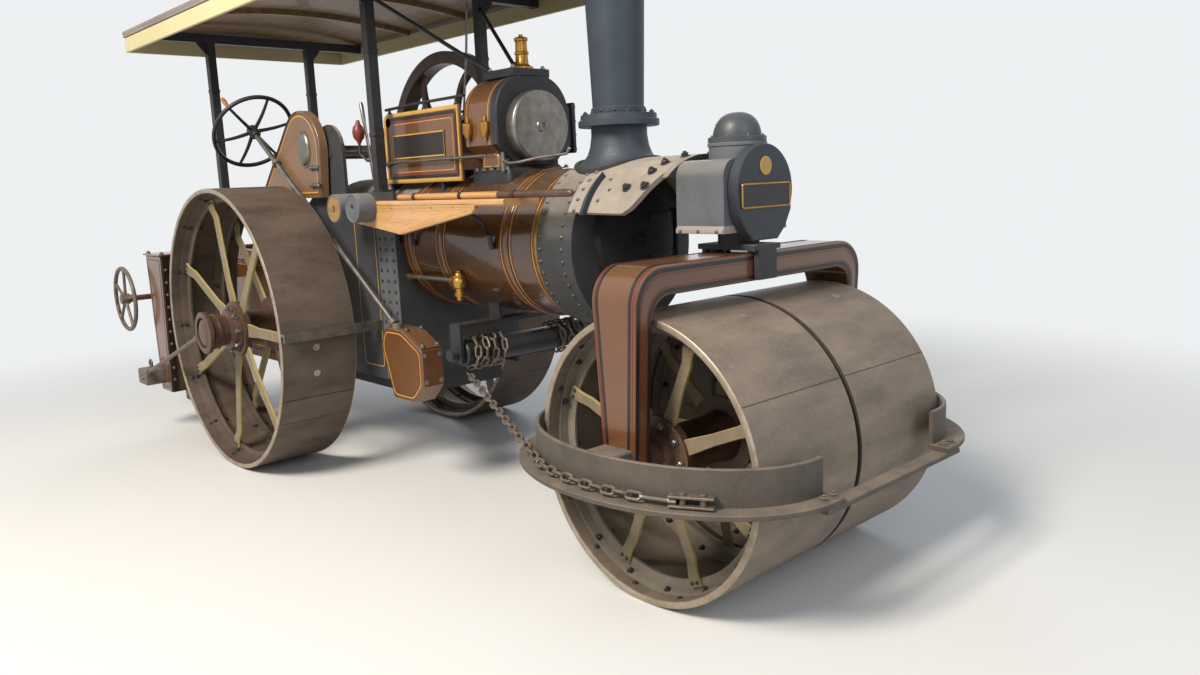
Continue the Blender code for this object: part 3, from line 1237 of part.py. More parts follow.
def canopy():
    edge = ROOF_EDGE_Z
    top = edge + ROOF_FASCIA
    half = ROOF_HALF
    inner = half - FASCIA_THICK
    radius = (half ** 2 + ROOF_CROWN ** 2) / (2 * ROOF_CROWN)
    span = 2 * atan2(ROOF_CROWN, half)
    turn = degrees(span)
    crown = arc((0, top + ROOF_CROWN - radius), radius, 90 - turn, 90 + turn, ROOF_STEPS)
    under = [(y * inner / half, z - ROOF_THICK) for y, z in reversed(crown)]
    points = [(half, edge)] + crown + [(-half, edge), (-inner, edge)] + under + [(inner, edge)]
    long = ROOF_FRONT - ROOF_REAR
    roof = put("canopy_roof", smooth(outline("canopy_roof", points, long, "yz")), "cream",
               ((ROOF_FRONT + ROOF_REAR) / 2, 0, 0))
    lap = inner + FASCIA_THICK / 2
    ends = [box("end", (a, -lap, edge), (b, lap, top - ROOF_THICK / 2))
            for a, b in ((-long / 2, -long / 2 + FASCIA_THICK), (long / 2 - FASCIA_THICK, long / 2))]
    fuse(roof, joined("ends", ends))
    rail_top = edge + ROOF_FASCIA - ROOF_THICK - SEAT * 3
    wide = POST_WIDE / 2
    for name, x, low in (("canopy_frame_rear", POST_REAR_X, TENDER_FLOOR + SEAT),
                         ("canopy_frame_front", POST_FRONT_X, HORN_SHOULDER + SEAT)):
        reach = inner - SEAT * 2
        rail_low = rail_top - RAIL_TALL
        rail = put(name, box(name, (-wide, -reach, rail_low), (wide, reach, rail_top)), "black", (x, 0, 0))
        posts = []
        for sign in (-1, 1):
            y = sign * POST_Y
            posts.append(box("post", (-wide, y - wide, low), (wide, y + wide, rail_top - RAIL_TALL / 2)))
            middle = rail_low + RAIL_TALL / 2
            gusset = [(y, middle), (y, rail_low - GUSSET), (y + sign * GUSSET, middle)]
            posts.append(outline("gusset", gusset, POST_WIDE * GUSSET_SHARE, "yz"))
        fuse(rail, *posts)
    stays = []
    for sign in (-1, 1):
        start = (0, sign * POST_Y, rail_top - RAIL_TALL * STAY_DROP_SHARE)
        end = Vector((CYLINDER_REAR + STAY_IN - POST_FRONT_X, sign * (TOP_PLATE_HALF - STAY_R * 2),
                      CYLINDER_TOP + TOP_PLATE_THICK + SEAT))
        run = (end - Vector(start)).normalized()
        end.z += STAY_R * hypot(run.x, run.y)
        stays.append(rod("stay", start, end, STAY_R, 8))
    fuse(rail, joined("stays", stays))


def side_shelf():
    """Varnished shelf with its apron, two drums and the fire iron on it."""
    y_in = HORN_OUTER_Y + SEAT
    long = SHELF_FRONT - SHELF_REAR
    board = put("side_shelf", box("side_shelf", (SHELF_REAR, -SHELF_OUTER_Y, SHELF_Z - SHELF_THICK),
                                  (SHELF_FRONT, -y_in, SHELF_Z)), "varnish")
    under = SHELF_Z - SHELF_THICK / 2
    lip = SHELF_Z - SHELF_THICK * 2
    apron_points = [(SHELF_REAR, under), (SHELF_REAR, lip), (APRON_VERTEX_X, SHELF_Z - APRON_DROP),
                    (SHELF_REAR + long * APRON_SHARE, lip), (SHELF_REAR + long * APRON_SHARE, under)]
    apron_y = -SHELF_OUTER_Y + APRON_THICK / 2
    apron = moved(outline("apron", apron_points, APRON_THICK, "xz"), (0, apron_y, 0))
    arms = []
    for x in BRACKET_PLACES:
        arms.append(box("arm", (x - BRACKET_THICK / 2, apron_y, SHELF_Z - SHELF_THICK * 3),
                        (x + BRACKET_THICK / 2, -BOILER_R * SHELF_ARM_SHARE, SHELF_Z - SHELF_THICK / 2)))
    drum_z = SHELF_Z - SHELF_THICK
    drums = [rod("drum", (x, apron_y, drum_z), (x, apron_y - DRUM_LONG, drum_z), DRUM_R, HUB_STEPS)
             for x in DRUM_PLACES]
    y = -(SHELF_OUTER_Y + y_in) / 2
    z = SHELF_Z + POLE_R * POLE_SIT_SHARE
    iron = rod("iron", (POLE_REAR, y, z), (POLE_FRONT, y, z), POLE_R)
    fuse(board, apron, joined("arms", arms), joined("drums", drums), iron)
    return cut(board, barrel_seat(SHELF_REAR, SHELF_FRONT))


def feed_valve():
    """Brass clack valve on the boiler's right side with its delivery pipe."""
    z = FEED_Z
    side_y = -sqrt(BOILER_R ** 2 - (BOILER_Z - z) ** 2)
    y = side_y - FEED_R - SEAT
    body = put("feed_valve", rod("feed_valve", (FEED_X, y, z - FEED_LONG / 2), (FEED_X, y, z + FEED_LONG / 4),
                                 FEED_R, 16), "brass")
    pipe_y = side_y - FEED_R
    pipe = rod("pipe", (BOILER_REAR + SEAT, pipe_y, z), (FEED_X, pipe_y, z), FEED_PIPE_R, 8)
    stub = rod("stub", (FEED_X, pipe_y, z), (FEED_X, side_y + FEED_R * 2, z), FEED_R * FEED_STUB_SHARE, 12)
    fuse(body, pipe, stub)
    return cut(body, barrel_seat(BOILER_REAR, BOILER_FRONT))


def scrapers():
    for side, sign in (("right", -1), ("left", 1)):
        z = SCRAPER_Z - REAR_R
        tread = sqrt(REAR_R ** 2 - z ** 2)
        x0 = tread + RUN
        low, high = sorted((sign * (HORN_OUTER_Y + SEAT), sign * (REAR_INNER_Y + REAR_WIDTH)))
        blade = put("scraper_" + side, box("scraper", (x0, low, SCRAPER_Z - SCRAPER_THICK),
                                           (x0 + SCRAPER_DEEP, high, SCRAPER_Z)), "bright_steel")
        fuse(blade, box("rib", (x0 + SCRAPER_DEEP - SCRAPER_THICK, low, SCRAPER_Z - SCRAPER_DEEP),
                        (x0 + SCRAPER_DEEP, high, SCRAPER_Z - SCRAPER_THICK / 2)))


def scarifier():
    """Riveted casing behind the right rear roll, its tine, handwheel and pull rod."""
    wide = SCAR_FRONT - SCAR_REAR
    low_front = SCAR_FRONT - wide * (1 - SCAR_LOW_SHARE)
    points = [(SCAR_REAR, SCAR_TOP), (SCAR_REAR + wide * SCAR_HEEL_SHARE, SCAR_BOTTOM),
              (low_front + wide * SCAR_TOE_SHARE, SCAR_BOTTOM), (SCAR_FRONT, SCAR_TOP)]
    middle = -(SCAR_OUTER_Y + SCAR_INNER_Y) / 2
    thick = SCAR_OUTER_Y - SCAR_INNER_Y
    case = put("scarifier_case", outline("scarifier_case", points, thick, "xz"), "dark_brown", (0, middle, 0))
    arm_mid = (SCAR_REAR + SCAR_FRONT) / 2
    arms = []
    for z in (SCAR_TOP - SCAR_ARM_TALL * SCAR_ARM_SHARE, TENDER_BOTTOM + SCAR_ARM_TALL):
        arms.append(box("arm", (arm_mid - SCAR_ARM_TALL, thick / 2 - PLATE_THICK, z - SCAR_ARM_TALL / 2),
                        (arm_mid + SCAR_ARM_TALL / 2, -TENDER_HALF - SEAT - middle, z + SCAR_ARM_TALL / 2)))
    wheel_y = -SCREW_WHEEL_Y - middle
    shaft = rod("shaft", (SCREW_WHEEL_X, wheel_y - SCREW_WHEEL_WIRE * 2, SCREW_WHEEL_Z),
                (SCREW_WHEEL_X, 0, SCREW_WHEEL_Z), SCREW_SHAFT_R)
    turn = Matrix.Rotation(pi / 2, 4, "X")
    wheel = wheel_pieces(SCREW_WHEEL_R, SCREW_WHEEL_WIRE, SCREW_WHEEL_SPOKES)
    for piece in wheel:
        piece.transform(Matrix.Translation((SCREW_WHEEL_X, wheel_y, SCREW_WHEEL_Z)) @ turn)
    grip = SCREW_SHAFT_R * 2
    bracket = box("bracket", (SCREW_WHEEL_X - grip, -grip, SCREW_WHEEL_Z - grip),
                  (SCAR_REAR + wide * SCAR_BRACKET_SHARE, grip, SCREW_WHEEL_Z + grip))
    fuse(case, joined("arms", arms), bracket, shaft, *wheel)
    slot_x = SCAR_REAR + wide * SCAR_SLOT_SHARE
    guide = TINE_WIDE / 2 + PIN_PLAY
    slot = box("slot", (slot_x, -guide, SCAR_BOTTOM - OVERRUN),
               (slot_x + TINE_DEEP + RUN * 2, guide, SCAR_BOTTOM + TINE_STROKE + OVERRUN))
    cut(case, slot)
    tine = box("scarifier_tine", (slot_x + RUN, -TINE_WIDE / 2, TINE_TIP + TINE_WIDE / 2),
               (slot_x + RUN + TINE_DEEP, TINE_WIDE / 2, SCAR_BOTTOM + TINE_STROKE + OVERRUN - SEAT))
    tip = bmesh.new()
    place = Matrix.Translation((slot_x + RUN + TINE_DEEP / 2, 0, TINE_TIP + TINE_WIDE / 2))
    point_r, root_r = [TINE_WIDE * share for share in TIP_SHARES]
    bmesh.ops.create_cone(tip, cap_ends=True, segments=4, radius1=point_r, radius2=root_r,
                          depth=TINE_WIDE, matrix=place @ Matrix.Rotation(pi / 4, 4, "Z"))
    tool = put("scarifier_tine", tine, "dark_brown", (0, middle, 0))
    fuse(tool, to_mesh(tip, "tip"))


def draught_rod():
    """Pull rod from an eye round the right hub's cap back to the scarifier."""
    half = EYE_THICK / 2
    hub_end = REAR_CENTRE_Y + REAR_WIDTH / 2 + REAR_HUB_OUT
    inner = HUB_CAP_R + RUN
    section = [(EYE_R, half), (EYE_R, -half), (inner, -half), (inner, half)]
    eye = put("draught_rod", turned("draught_rod", section, HUB_STEPS, "y", closed=True), "dark_brown",
              (0, -hub_end + half + SEAT, REAR_R))
    end = Vector((SCAR_REAR, 0, SCAR_BOTTOM + TINE_WIDE - REAR_R))
    start = end.normalized() * (EYE_R - half)
    bar = rod("bar", (start.x, 0, start.z), (end.x, 0, end.z), DRAUGHT_R, 8)
    case_y = -SCAR_OUTER_Y - SEAT + hub_end - half - SEAT
    lug = box("lug", (end.x - TINE_WIDE / 2, -half, end.z - TINE_WIDE / 2),
              (end.x + TINE_WIDE, case_y, end.z + TINE_WIDE / 2))
    return fuse(eye, bar, lug)


def clear_scene():
    for thing in list(bpy.data.objects):
        bpy.data.objects.remove(thing, do_unlink=True)


clear_scene()
model = collection(MODEL_COLLECTION)
cutters = collection(CUTTER_COLLECTION)
frame_empty = bpy.data.objects.new("frame", None)
model.objects.link(frame_empty)
frame_empty.location = (-MID_X, 0, 0)

rear_rolls()
front_rolls()
rear_axle()
boiler()
firebox()
firehole_door()
smokebox()
smokebox_door()
hornplates()
crankshaft()
flywheel()
gear_guard()
cylinder_block()
cylinder_cover()
safety_valve()
motion_plates()
slide_bars()
chimney()
headstock()
headstock_cap()
swivel()
fork()
steering_bows()
chain_barrel()
barrel_hangers()
chains()
steering_gear()
tender()
canopy()
side_shelf()
feed_valve()
scrapers()
scarifier()
draught_rod()
bpy.context.view_layer.update()
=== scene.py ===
import json
import math
import bpy
import bmesh
import numpy as np
from mathutils import Matrix


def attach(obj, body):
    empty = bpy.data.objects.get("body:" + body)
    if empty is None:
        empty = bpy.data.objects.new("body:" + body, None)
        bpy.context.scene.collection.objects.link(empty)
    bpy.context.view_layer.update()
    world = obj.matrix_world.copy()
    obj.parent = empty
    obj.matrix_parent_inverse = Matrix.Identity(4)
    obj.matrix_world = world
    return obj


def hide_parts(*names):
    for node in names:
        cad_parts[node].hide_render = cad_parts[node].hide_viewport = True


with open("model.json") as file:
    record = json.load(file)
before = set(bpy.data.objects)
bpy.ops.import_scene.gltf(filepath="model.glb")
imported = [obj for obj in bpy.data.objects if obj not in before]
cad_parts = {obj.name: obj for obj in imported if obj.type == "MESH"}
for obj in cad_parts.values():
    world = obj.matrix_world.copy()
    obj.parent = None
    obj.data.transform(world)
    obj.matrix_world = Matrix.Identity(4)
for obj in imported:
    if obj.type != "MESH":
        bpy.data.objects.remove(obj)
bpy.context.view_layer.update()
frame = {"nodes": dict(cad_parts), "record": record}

stationShift = 1.019371  # stations run from the rear axle; the frame's origin is this far ahead of it
touch = 0.0004           # gap under a thin piece that lies on another
print("frame loaded")


# shapes: a shape is (points, quads, polygons); points are n x 3, in stations

def unit(v):
    # v / |v| for rows
    v = np.asarray(v, float)
    return v / np.maximum(np.linalg.norm(v, axis=-1, keepdims=True), 1e-12)


def acrossOf(z):
    # for each axis z a level vector square to it, or X where z is upright
    helper = np.where(np.abs(z[..., 2:3]) < 0.95, [0.0, 0.0, 1.0], [1.0, 0.0, 0.0])
    return unit(np.cross(helper, z))


def loft(rings, loop=False, caps=True):
    # point (i, j) is the j-th point of the i-th closed section; quads join each section to the next
    rings = np.asarray(rings, float)
    n, m = rings.shape[:2]
    i = np.arange(n if loop else n - 1)[:, None]
    j = np.arange(m)[None]
    k = (i + 1) % n
    quads = np.stack([i * m + j, i * m + (j + 1) % m, k * m + (j + 1) % m, k * m + j], -1).reshape(-1, 4)
    ends = [] if loop or not caps else [list(range(m)), list(range((n - 1) * m, n * m))]
    return rings.reshape(-1, 3), quads, ends


def lathe(profile, centre=(0, 0, 0), axis=(0, 0, 1), steps=48, loop=False, phase=0.0):
    # point = centre + along * axis + radius * (cos t * u + sin t * v), for (along, radius) in the profile
    axis = unit(axis)
    u = acrossOf(axis)
    v = np.cross(axis, u)
    along, radius = np.array(profile, float).T
    t = phase + np.linspace(0, 2 * np.pi, steps, endpoint=False)
    circle = np.cos(t)[:, None] * u + np.sin(t)[:, None] * v
    return loft(np.asarray(centre) + along[:, None, None] * axis + radius[:, None, None] * circle, loop)


def sweep(path, section, up, loop=False, taper=1.0):
    # point = path(i) + taper(i) * (s * side(i) + h * top(i)), for (s, h) in the section
    path = np.asarray(path, float)
    if loop:
        along = unit(np.roll(path, -1, 0) - np.roll(path, 1, 0))
    else:
        along = unit(np.gradient(path, axis=0))
    up = np.broadcast_to(np.asarray(up, float), path.shape)
    side = unit(np.cross(along, up))
    top = np.cross(side, along)
    section = np.asarray(section, float)
    taper = np.broadcast_to(np.asarray(taper, float), len(path))[:, None, None]
    shape = section[:, 0, None] * side[:, None] + section[:, 1, None] * top[:, None]
    return loft(path[:, None] + taper * shape, loop)


def tube(path, radius, up=(0, 0, 1), sides=12, loop=False, taper=1.0):
    # circle of one radius carried along a path
    t = np.linspace(0, 2 * np.pi, sides, endpoint=False)
    return sweep(path, radius * np.stack([np.cos(t), np.sin(t)], 1), up, loop, taper)


def slab(low, high, edge=0.003):
    # box with chamfered edges: four rings along X, the end ones drawn in by the chamfer
    low, high = np.array(low, float), np.array(high, float)

    def ringAt(x, inset):
        y0, z0 = low[1:] + inset
        y1, z1 = high[1:] - inset
        e = edge
        loop = [(y0 + e, z0), (y1 - e, z0), (y1, z0 + e), (y1, z1 - e),
                (y1 - e, z1), (y0 + e, z1), (y0, z1 - e), (y0, z0 + e)]
        return [(x, y, z) for y, z in loop]
    return loft([ringAt(low[0], edge), ringAt(low[0] + edge, 0), ringAt(high[0] - edge, 0),
                 ringAt(high[0], edge)])


def bar(start, end, wide, thick, up=(0, 0, 1), edge=0.002):
    # chamfered flat bar from one point to another, wide across and thick along up
    w, h, e = wide / 2, thick / 2, min(edge, wide / 4, thick / 4)
    section = [(-w + e, -h), (w - e, -h), (w, -h + e), (w, h - e), (w - e, h), (-w + e, h), (-w, h - e),
               (-w, -h + e)]
    return sweep([start, end], section, up)


def flat(points, plane, level):
    # 2D outline set in a plane: xz and yz are upright, xy is level
    a, b = np.asarray(points, float).T
    c = np.full_like(a, level)
    return np.stack({"xz": (a, c, b), "yz": (c, a, b), "xy": (a, b, c)}[plane], 1)


def inset(points, distance):
    # each corner moves in along the bisector of its two edges, keeping the distance to both
    p = np.asarray(points, float)
    edge = unit(np.roll(p, -1, 0) - p)
    area = np.sum(p[:, 0] * np.roll(p[:, 1], -1) - np.roll(p[:, 0], -1) * p[:, 1])
    normal = np.stack([-edge[:, 1], edge[:, 0]], 1) * np.sign(area)
    middle = unit(normal + np.roll(normal, 1, 0))
    return p + middle * (distance / np.maximum(np.sum(middle * normal, 1), 0.4))[:, None]


def plate(points, plane, low, high, edge=0.002):
    # outline between two levels with its rims chamfered
    small = inset(points, edge)
    return loft([flat(small, plane, low), flat(points, plane, low + edge),
                 flat(points, plane, high - edge), flat(small, plane, high)])


def arc(centre, radius, start, end, steps):
    # points at even angles, in degrees
    t = np.radians(np.linspace(start, end, steps + 1))
    return np.stack([centre[0] + radius * np.cos(t), centre[1] + radius * np.sin(t)], 1)


def rounded(points, radius, steps=6):
    # each corner becomes a quadratic curve between points a radius down its edges
    p = np.asarray(points, float)
    before = p + unit(np.roll(p, 1, 0) - p) * radius
    after = p + unit(np.roll(p, -1, 0) - p) * radius
    s = np.linspace(0, 1, steps)[None, :, None]
    curve = (1 - s) ** 2 * before[:, None] + 2 * s * (1 - s) * p[:, None] + s ** 2 * after[:, None]
    return curve.reshape(-1, p.shape[1])


def ribbon(path, width, normal, loop=True, rise=0.0008):
    # thin painted line: a flat section carried along a path on the surface
    w = width / 2
    path = np.asarray(path, float) + unit(normal) * touch
    return sweep(path, [(-w, 0), (w, 0), (w, rise), (-w, rise)], normal, loop)


def lining(outline, plane, level, facing, lines):
    # one ribbon for each (distance in from the outline, width, corner radius)
    normal = {"xz": (0, facing, 0), "yz": (facing, 0, 0), "xy": (0, 0, facing)}[plane]
    made = []
    for distance, width, radius in lines:
        path = inset(outline, distance)
        if radius:
            path = rounded(path, radius)
        made.append(ribbon(flat(path, plane, level), width, normal))
    return made


def joined(shapes):
    # several shapes as one, with the indices of each moved past those before it
    points, quads, polygons, base = [], [], [], 0
    for p, q, n in shapes:
        points.append(p)
        quads.append(q + base)
        polygons += [[v + base for v in polygon] for polygon in n]
        base += len(p)
    return np.concatenate(points), np.concatenate(quads), polygons


def copies(shape, places, zAxis, xAxis=None, scale=1.0):
    # every copy at once: point = place + scale * (x * X + y * Y + z * Z)
    points, quads, polygons = shape
    places = np.atleast_2d(np.asarray(places, float))
    n, m = len(places), len(points)
    z = unit(np.broadcast_to(np.asarray(zAxis, float), (n, 3)))
    x = acrossOf(z) if xAxis is None else unit(np.broadcast_to(np.asarray(xAxis, float), (n, 3)))
    y = np.cross(z, x)
    scale = np.broadcast_to(np.asarray(scale, float), n)[:, None, None]
    moved = places[:, None] + scale * (points[:, 0, None] * x[:, None] + points[:, 1, None] * y[:, None]
                                       + points[:, 2, None] * z[:, None])
    base = np.arange(n)[:, None, None] * m
    many = [[v + i * m for v in polygon] for i in range(n) for polygon in polygons]
    return moved.reshape(-1, 3), (quads[None] + base).reshape(-1, 4), many


def around(centre, axis, radius, count, phase=0.0, along=0.0):
    # even places on a circle about an axis, and the outward direction at each
    axis = unit(axis)
    u = acrossOf(axis)
    v = np.cross(axis, u)
    t = phase + np.linspace(0, 2 * np.pi, count, endpoint=False)
    out = np.cos(t)[:, None] * u + np.sin(t)[:, None] * v
    return np.asarray(centre) + along * axis + radius * out, out


hexBolt = joined([lathe([(0, 1.4), (0.18, 1.4), (0.2, 1.35)], steps=12),
                  lathe([(0.2, 1.0), (0.85, 1.0), (1.0, 0.82)], steps=6),
                  lathe([(0.99, 0.5), (1.35, 0.5), (1.42, 0.42)], steps=8)])
snapRivet = lathe([(0, 1.0), (0.32, 0.93), (0.58, 0.62), (0.68, 0.18)], steps=8)


def rivets(places, normal, radius=0.011):
    return copies(snapRivet, places, normal, scale=radius)


def bolts(places, normal, radius=0.014):
    return copies(hexBolt, places, normal, scale=radius)


def build(name, shapes, material, body="machine", slot=None, nodes=(), sharp=34):
    # one object from its shapes: doubles merged, faces turned outward, edges sharper than the angle kept
    points, quads, polygons = joined(shapes) if isinstance(shapes, list) else shapes
    points = points - np.array([stationShift, 0, 0])
    mesh = bpy.data.meshes.new(name)
    sizes = np.concatenate([np.full(len(quads), 4), np.array([len(p) for p in polygons], int)]).astype(int)
    corners = np.concatenate([quads.ravel()] + [np.array(p) for p in polygons]).astype(int)
    mesh.vertices.add(len(points))
    mesh.vertices.foreach_set("co", points.ravel())
    mesh.loops.add(len(corners))
    mesh.loops.foreach_set("vertex_index", corners)
    mesh.polygons.add(len(sizes))
    mesh.polygons.foreach_set("loop_start", np.concatenate([[0], np.cumsum(sizes)[:-1]]).astype(int))
    mesh.update(calc_edges=True)
    bm = bmesh.new()
    bm.from_mesh(mesh)
    bmesh.ops.remove_doubles(bm, verts=bm.verts, dist=2e-6)
    bmesh.ops.recalc_face_normals(bm, faces=bm.faces)
    bm.to_mesh(mesh)
    bm.free()
    mesh.shade_smooth()
    mesh.set_sharp_from_angle(angle=math.radians(sharp))
    mesh.materials.append(material)
    piece = bpy.data.objects.new(name, mesh)
    bpy.context.scene.collection.objects.link(piece)
    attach(piece, body)
    slot = slot or finishSlot[material]
    if nodes:
        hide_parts(*nodes)
    return piece


# materials

def linear(hexCode):
    # sRGB hex to linear colour
    value = np.array([int(hexCode[i:i + 2], 16) for i in (1, 3, 5)]) / 255
    out = np.where(value <= 0.04045, value / 12.92, ((value + 0.055) / 1.055) ** 2.4)
    return (*out, 1.0)


def addNode(tree, kind, inputs=None, **settings):
    node = tree.nodes.new(kind)
    for key, value in settings.items():
        setattr(node, key, value)
    for key, value in (inputs or {}).items():
        if isinstance(value, bpy.types.NodeSocket):
            tree.links.new(value, node.inputs[key])
        else:
            node.inputs[key].default_value = value
    return node


def weathered(name, look):
    # base and second colour mixed by broad noise, flecks by fine noise, dust on tops and low down
    get = {"patch": 220, "grit": 9, "stretch": (1, 1, 1), "fleck": None, "fleckShare": 0.5, "dust": None,
           "dustShare": 0.5, "mud": 0.0, "metal": 0.0, "rough": 0.6, "roughSwing": 0.12, "bump": 0.15,
           "coat": 0.0, "spread": 0.16, "edge": None, **look}
    made = bpy.data.materials.new(name)
    made.use_nodes = True
    tree = made.node_tree
    shader = tree.nodes["Principled BSDF"]
    place = addNode(tree, "ShaderNodeTexCoord")
    spot = addNode(tree, "ShaderNodeMapping", {"Vector": place.outputs["Object"], "Scale": get["stretch"]})
    broad = addNode(tree, "ShaderNodeTexNoise", {"Vector": spot.outputs[0], "Scale": 1000 / get["patch"],
                                                 "Detail": 6.0, "Roughness": 0.62})
    fine = addNode(tree, "ShaderNodeTexNoise", {"Vector": spot.outputs[0], "Scale": 1000 / get["grit"],
                                                "Detail": 3.0, "Roughness": 0.6})
    share = addNode(tree, "ShaderNodeMapRange", {"Value": broad.outputs["Fac"],
                                                 "From Min": 0.5 - get["spread"],
                                                 "From Max": 0.5 + get["spread"]})
    mix = addNode(tree, "ShaderNodeMix", {"Factor": share.outputs[0], 6: linear(get["base"]),
                                          7: linear(get["second"])}, data_type="RGBA")
    colour = mix.outputs[2]
    if get["fleck"]:
        spots = addNode(tree, "ShaderNodeMapRange",
                        {"Value": fine.outputs["Fac"], "From Min": 0.56, "From Max": 0.68,
                         "To Max": get["fleckShare"]})
        mix = addNode(tree, "ShaderNodeMix", {"Factor": spots.outputs[0], 6: colour, 7: linear(get["fleck"])},
                      data_type="RGBA")
        colour = mix.outputs[2]
    if get["edge"]:
        # narrow sides of a bar that lies across the axle, told by how little they face along it
        way = addNode(tree, "ShaderNodeSeparateXYZ", {"Vector": place.outputs["Normal"]})
        size = addNode(tree, "ShaderNodeMath", {0: way.outputs["Y"]}, operation="ABSOLUTE")
        narrow = addNode(tree, "ShaderNodeMapRange",
                         {"Value": size.outputs[0], "From Min": 0.8, "From Max": 0.5})
        mix = addNode(tree, "ShaderNodeMix", {"Factor": narrow.outputs[0], 6: colour, 7: linear(get["edge"])},
                      data_type="RGBA")
        colour = mix.outputs[2]
    if get["dust"]:
        facing = addNode(tree, "ShaderNodeSeparateXYZ", {"Vector": place.outputs["Normal"]})
        height = addNode(tree, "ShaderNodeSeparateXYZ", {"Vector": place.outputs["Object"]})
        upward = addNode(tree, "ShaderNodeMapRange",
                         {"Value": facing.outputs["Z"], "From Min": 0.1, "From Max": 0.95,
                          "To Max": get["dustShare"]})
        low = addNode(tree, "ShaderNodeMapRange", {"Value": height.outputs["Z"], "From Min": 0.9,
                                                   "From Max": 0.05, "To Max": get["mud"]})
        both = addNode(tree, "ShaderNodeMath", {0: upward.outputs[0], 1: low.outputs[0]}, operation="MAXIMUM")
        worn = addNode(tree, "ShaderNodeMapRange",
                       {"Value": broad.outputs["Fac"], "From Min": 0.3, "From Max": 0.7, "To Min": 0.35,
                        "To Max": 1.3})
        share = addNode(tree, "ShaderNodeMath", {0: both.outputs[0], 1: worn.outputs[0]},
                        operation="MULTIPLY", use_clamp=True)
        mix = addNode(tree, "ShaderNodeMix", {"Factor": share.outputs[0], 6: colour, 7: linear(get["dust"])},
                      data_type="RGBA")
        colour = mix.outputs[2]
    tree.links.new(colour, shader.inputs["Base Color"])
    rough = addNode(tree, "ShaderNodeMapRange", {"Value": fine.outputs["Fac"], "From Min": 0.3,
                                                 "From Max": 0.7, "To Min": get["rough"] - get["roughSwing"],
                                                 "To Max": min(get["rough"] + get["roughSwing"], 1)})
    tree.links.new(rough.outputs[0], shader.inputs["Roughness"])
    bump = addNode(tree, "ShaderNodeBump", {"Height": fine.outputs["Fac"], "Strength": 0.6,
                                            "Distance": get["bump"] / 1000})
    tree.links.new(bump.outputs["Normal"], shader.inputs["Normal"])
    shader.inputs["Metallic"].default_value = get["metal"]
    shader.inputs["Coat Weight"].default_value = get["coat"]
    return made


def plankedWood(name, look):
    # softwood or oak: long grain from stretched noise, darker figure from wider stretched noise
    made = bpy.data.materials.new(name)
    made.use_nodes = True
    tree = made.node_tree
    shader = tree.nodes["Principled BSDF"]
    place = addNode(tree, "ShaderNodeTexCoord")
    grainSpot = addNode(tree, "ShaderNodeMapping", {"Vector": place.outputs["Object"], "Scale": (0.06, 1, 1)})
    grain = addNode(tree, "ShaderNodeTexNoise", {"Vector": grainSpot.outputs[0],
                                                 "Scale": 1000 / look["grain"], "Detail": 4.0,
                                                 "Distortion": 0.6})
    figure = addNode(tree, "ShaderNodeTexNoise", {"Vector": grainSpot.outputs[0],
                                                  "Scale": 1000 / look["figure"], "Detail": 3.0})
    both = addNode(tree, "ShaderNodeMath", {0: grain.outputs["Fac"], 1: figure.outputs["Fac"]},
                   operation="ADD")
    share = addNode(tree, "ShaderNodeMapRange", {"Value": both.outputs[0], "From Min": 0.8, "From Max": 1.2})
    mix = addNode(tree, "ShaderNodeMix", {"Factor": share.outputs[0], 6: linear(look["base"]),
                                          7: linear(look["second"])}, data_type="RGBA")
    tree.links.new(mix.outputs[2], shader.inputs["Base Color"])
    bump = addNode(tree, "ShaderNodeBump", {"Height": grain.outputs["Fac"], "Strength": 0.5,
                                            "Distance": look["bump"] / 1000})
    tree.links.new(bump.outputs["Normal"], shader.inputs["Normal"])
    shader.inputs["Roughness"].default_value = look["rough"]
    shader.inputs["Coat Weight"].default_value = look["coat"]
    return made


# rolled steel plate under road dust: brown, dull, with a dry film
rolledPlate = weathered("rolledPlate", {
    "base": "#6b6055", "second": "#887a69", "patch": 110, "grit": 6, "fleck": "#a2927d", "fleckShare": 0.45,
    "metal": 0.15, "rough": 0.62, "bump": 0.45, "stretch": (1, 0.35, 1)})
# the same plate darkened for the rear rolls: painted shade, standing for the shadow on their treads
shadedRearPlate = weathered("shadedRearPlate", {
    "base": "#483c32", "second": "#64564a", "patch": 130, "grit": 6, "fleck": "#7d6b57", "fleckShare": 0.4,
    "metal": 0.15, "rough": 0.62, "bump": 0.3, "stretch": (1, 0.35, 1)})
# the same plate where two meet: rust and dirt packed in the joint
jointDirt = weathered("jointDirt", {
    "base": "#2b241e", "second": "#3a3028", "patch": 60, "grit": 5, "rough": 0.85, "bump": 0.1})
# the roll's rim where the road scours it: bare steel gone pale with stone dust
scouredEdge = weathered("scouredEdge", {
    "base": "#a59787", "second": "#8a7a68", "patch": 60, "grit": 5, "fleck": "#c9bda9", "metal": 0.45,
    "rough": 0.45, "bump": 0.2})
# inside of the rolls: old paint under grey road dust
dustyIron = weathered("dustyIron", {
    "base": "#6f655a", "second": "#857a6b", "patch": 150, "grit": 8, "fleck": "#948a7c", "metal": 0.1,
    "rough": 0.8, "bump": 0.3, "dust": "#988f80", "dustShare": 0.5, "mud": 0.35})
# spokes: pale yellow oil paint, chalky with age
spokePaint = weathered("spokePaint", {
    "base": "#8a7a60", "second": "#786a54", "patch": 80, "grit": 6, "edge": "#b3a25c", "fleck": "#5d4f3c",
    "rough": 0.6, "bump": 0.15})
# hubs: brown enamel worn to warm metal by the hand and the rag
hubEnamel = weathered("hubEnamel", {
    "base": "#4a3529", "second": "#5d4537", "patch": 70, "grit": 6, "fleck": "#8a7463", "fleckShare": 0.5,
    "metal": 0.25, "rough": 0.42, "bump": 0.15})
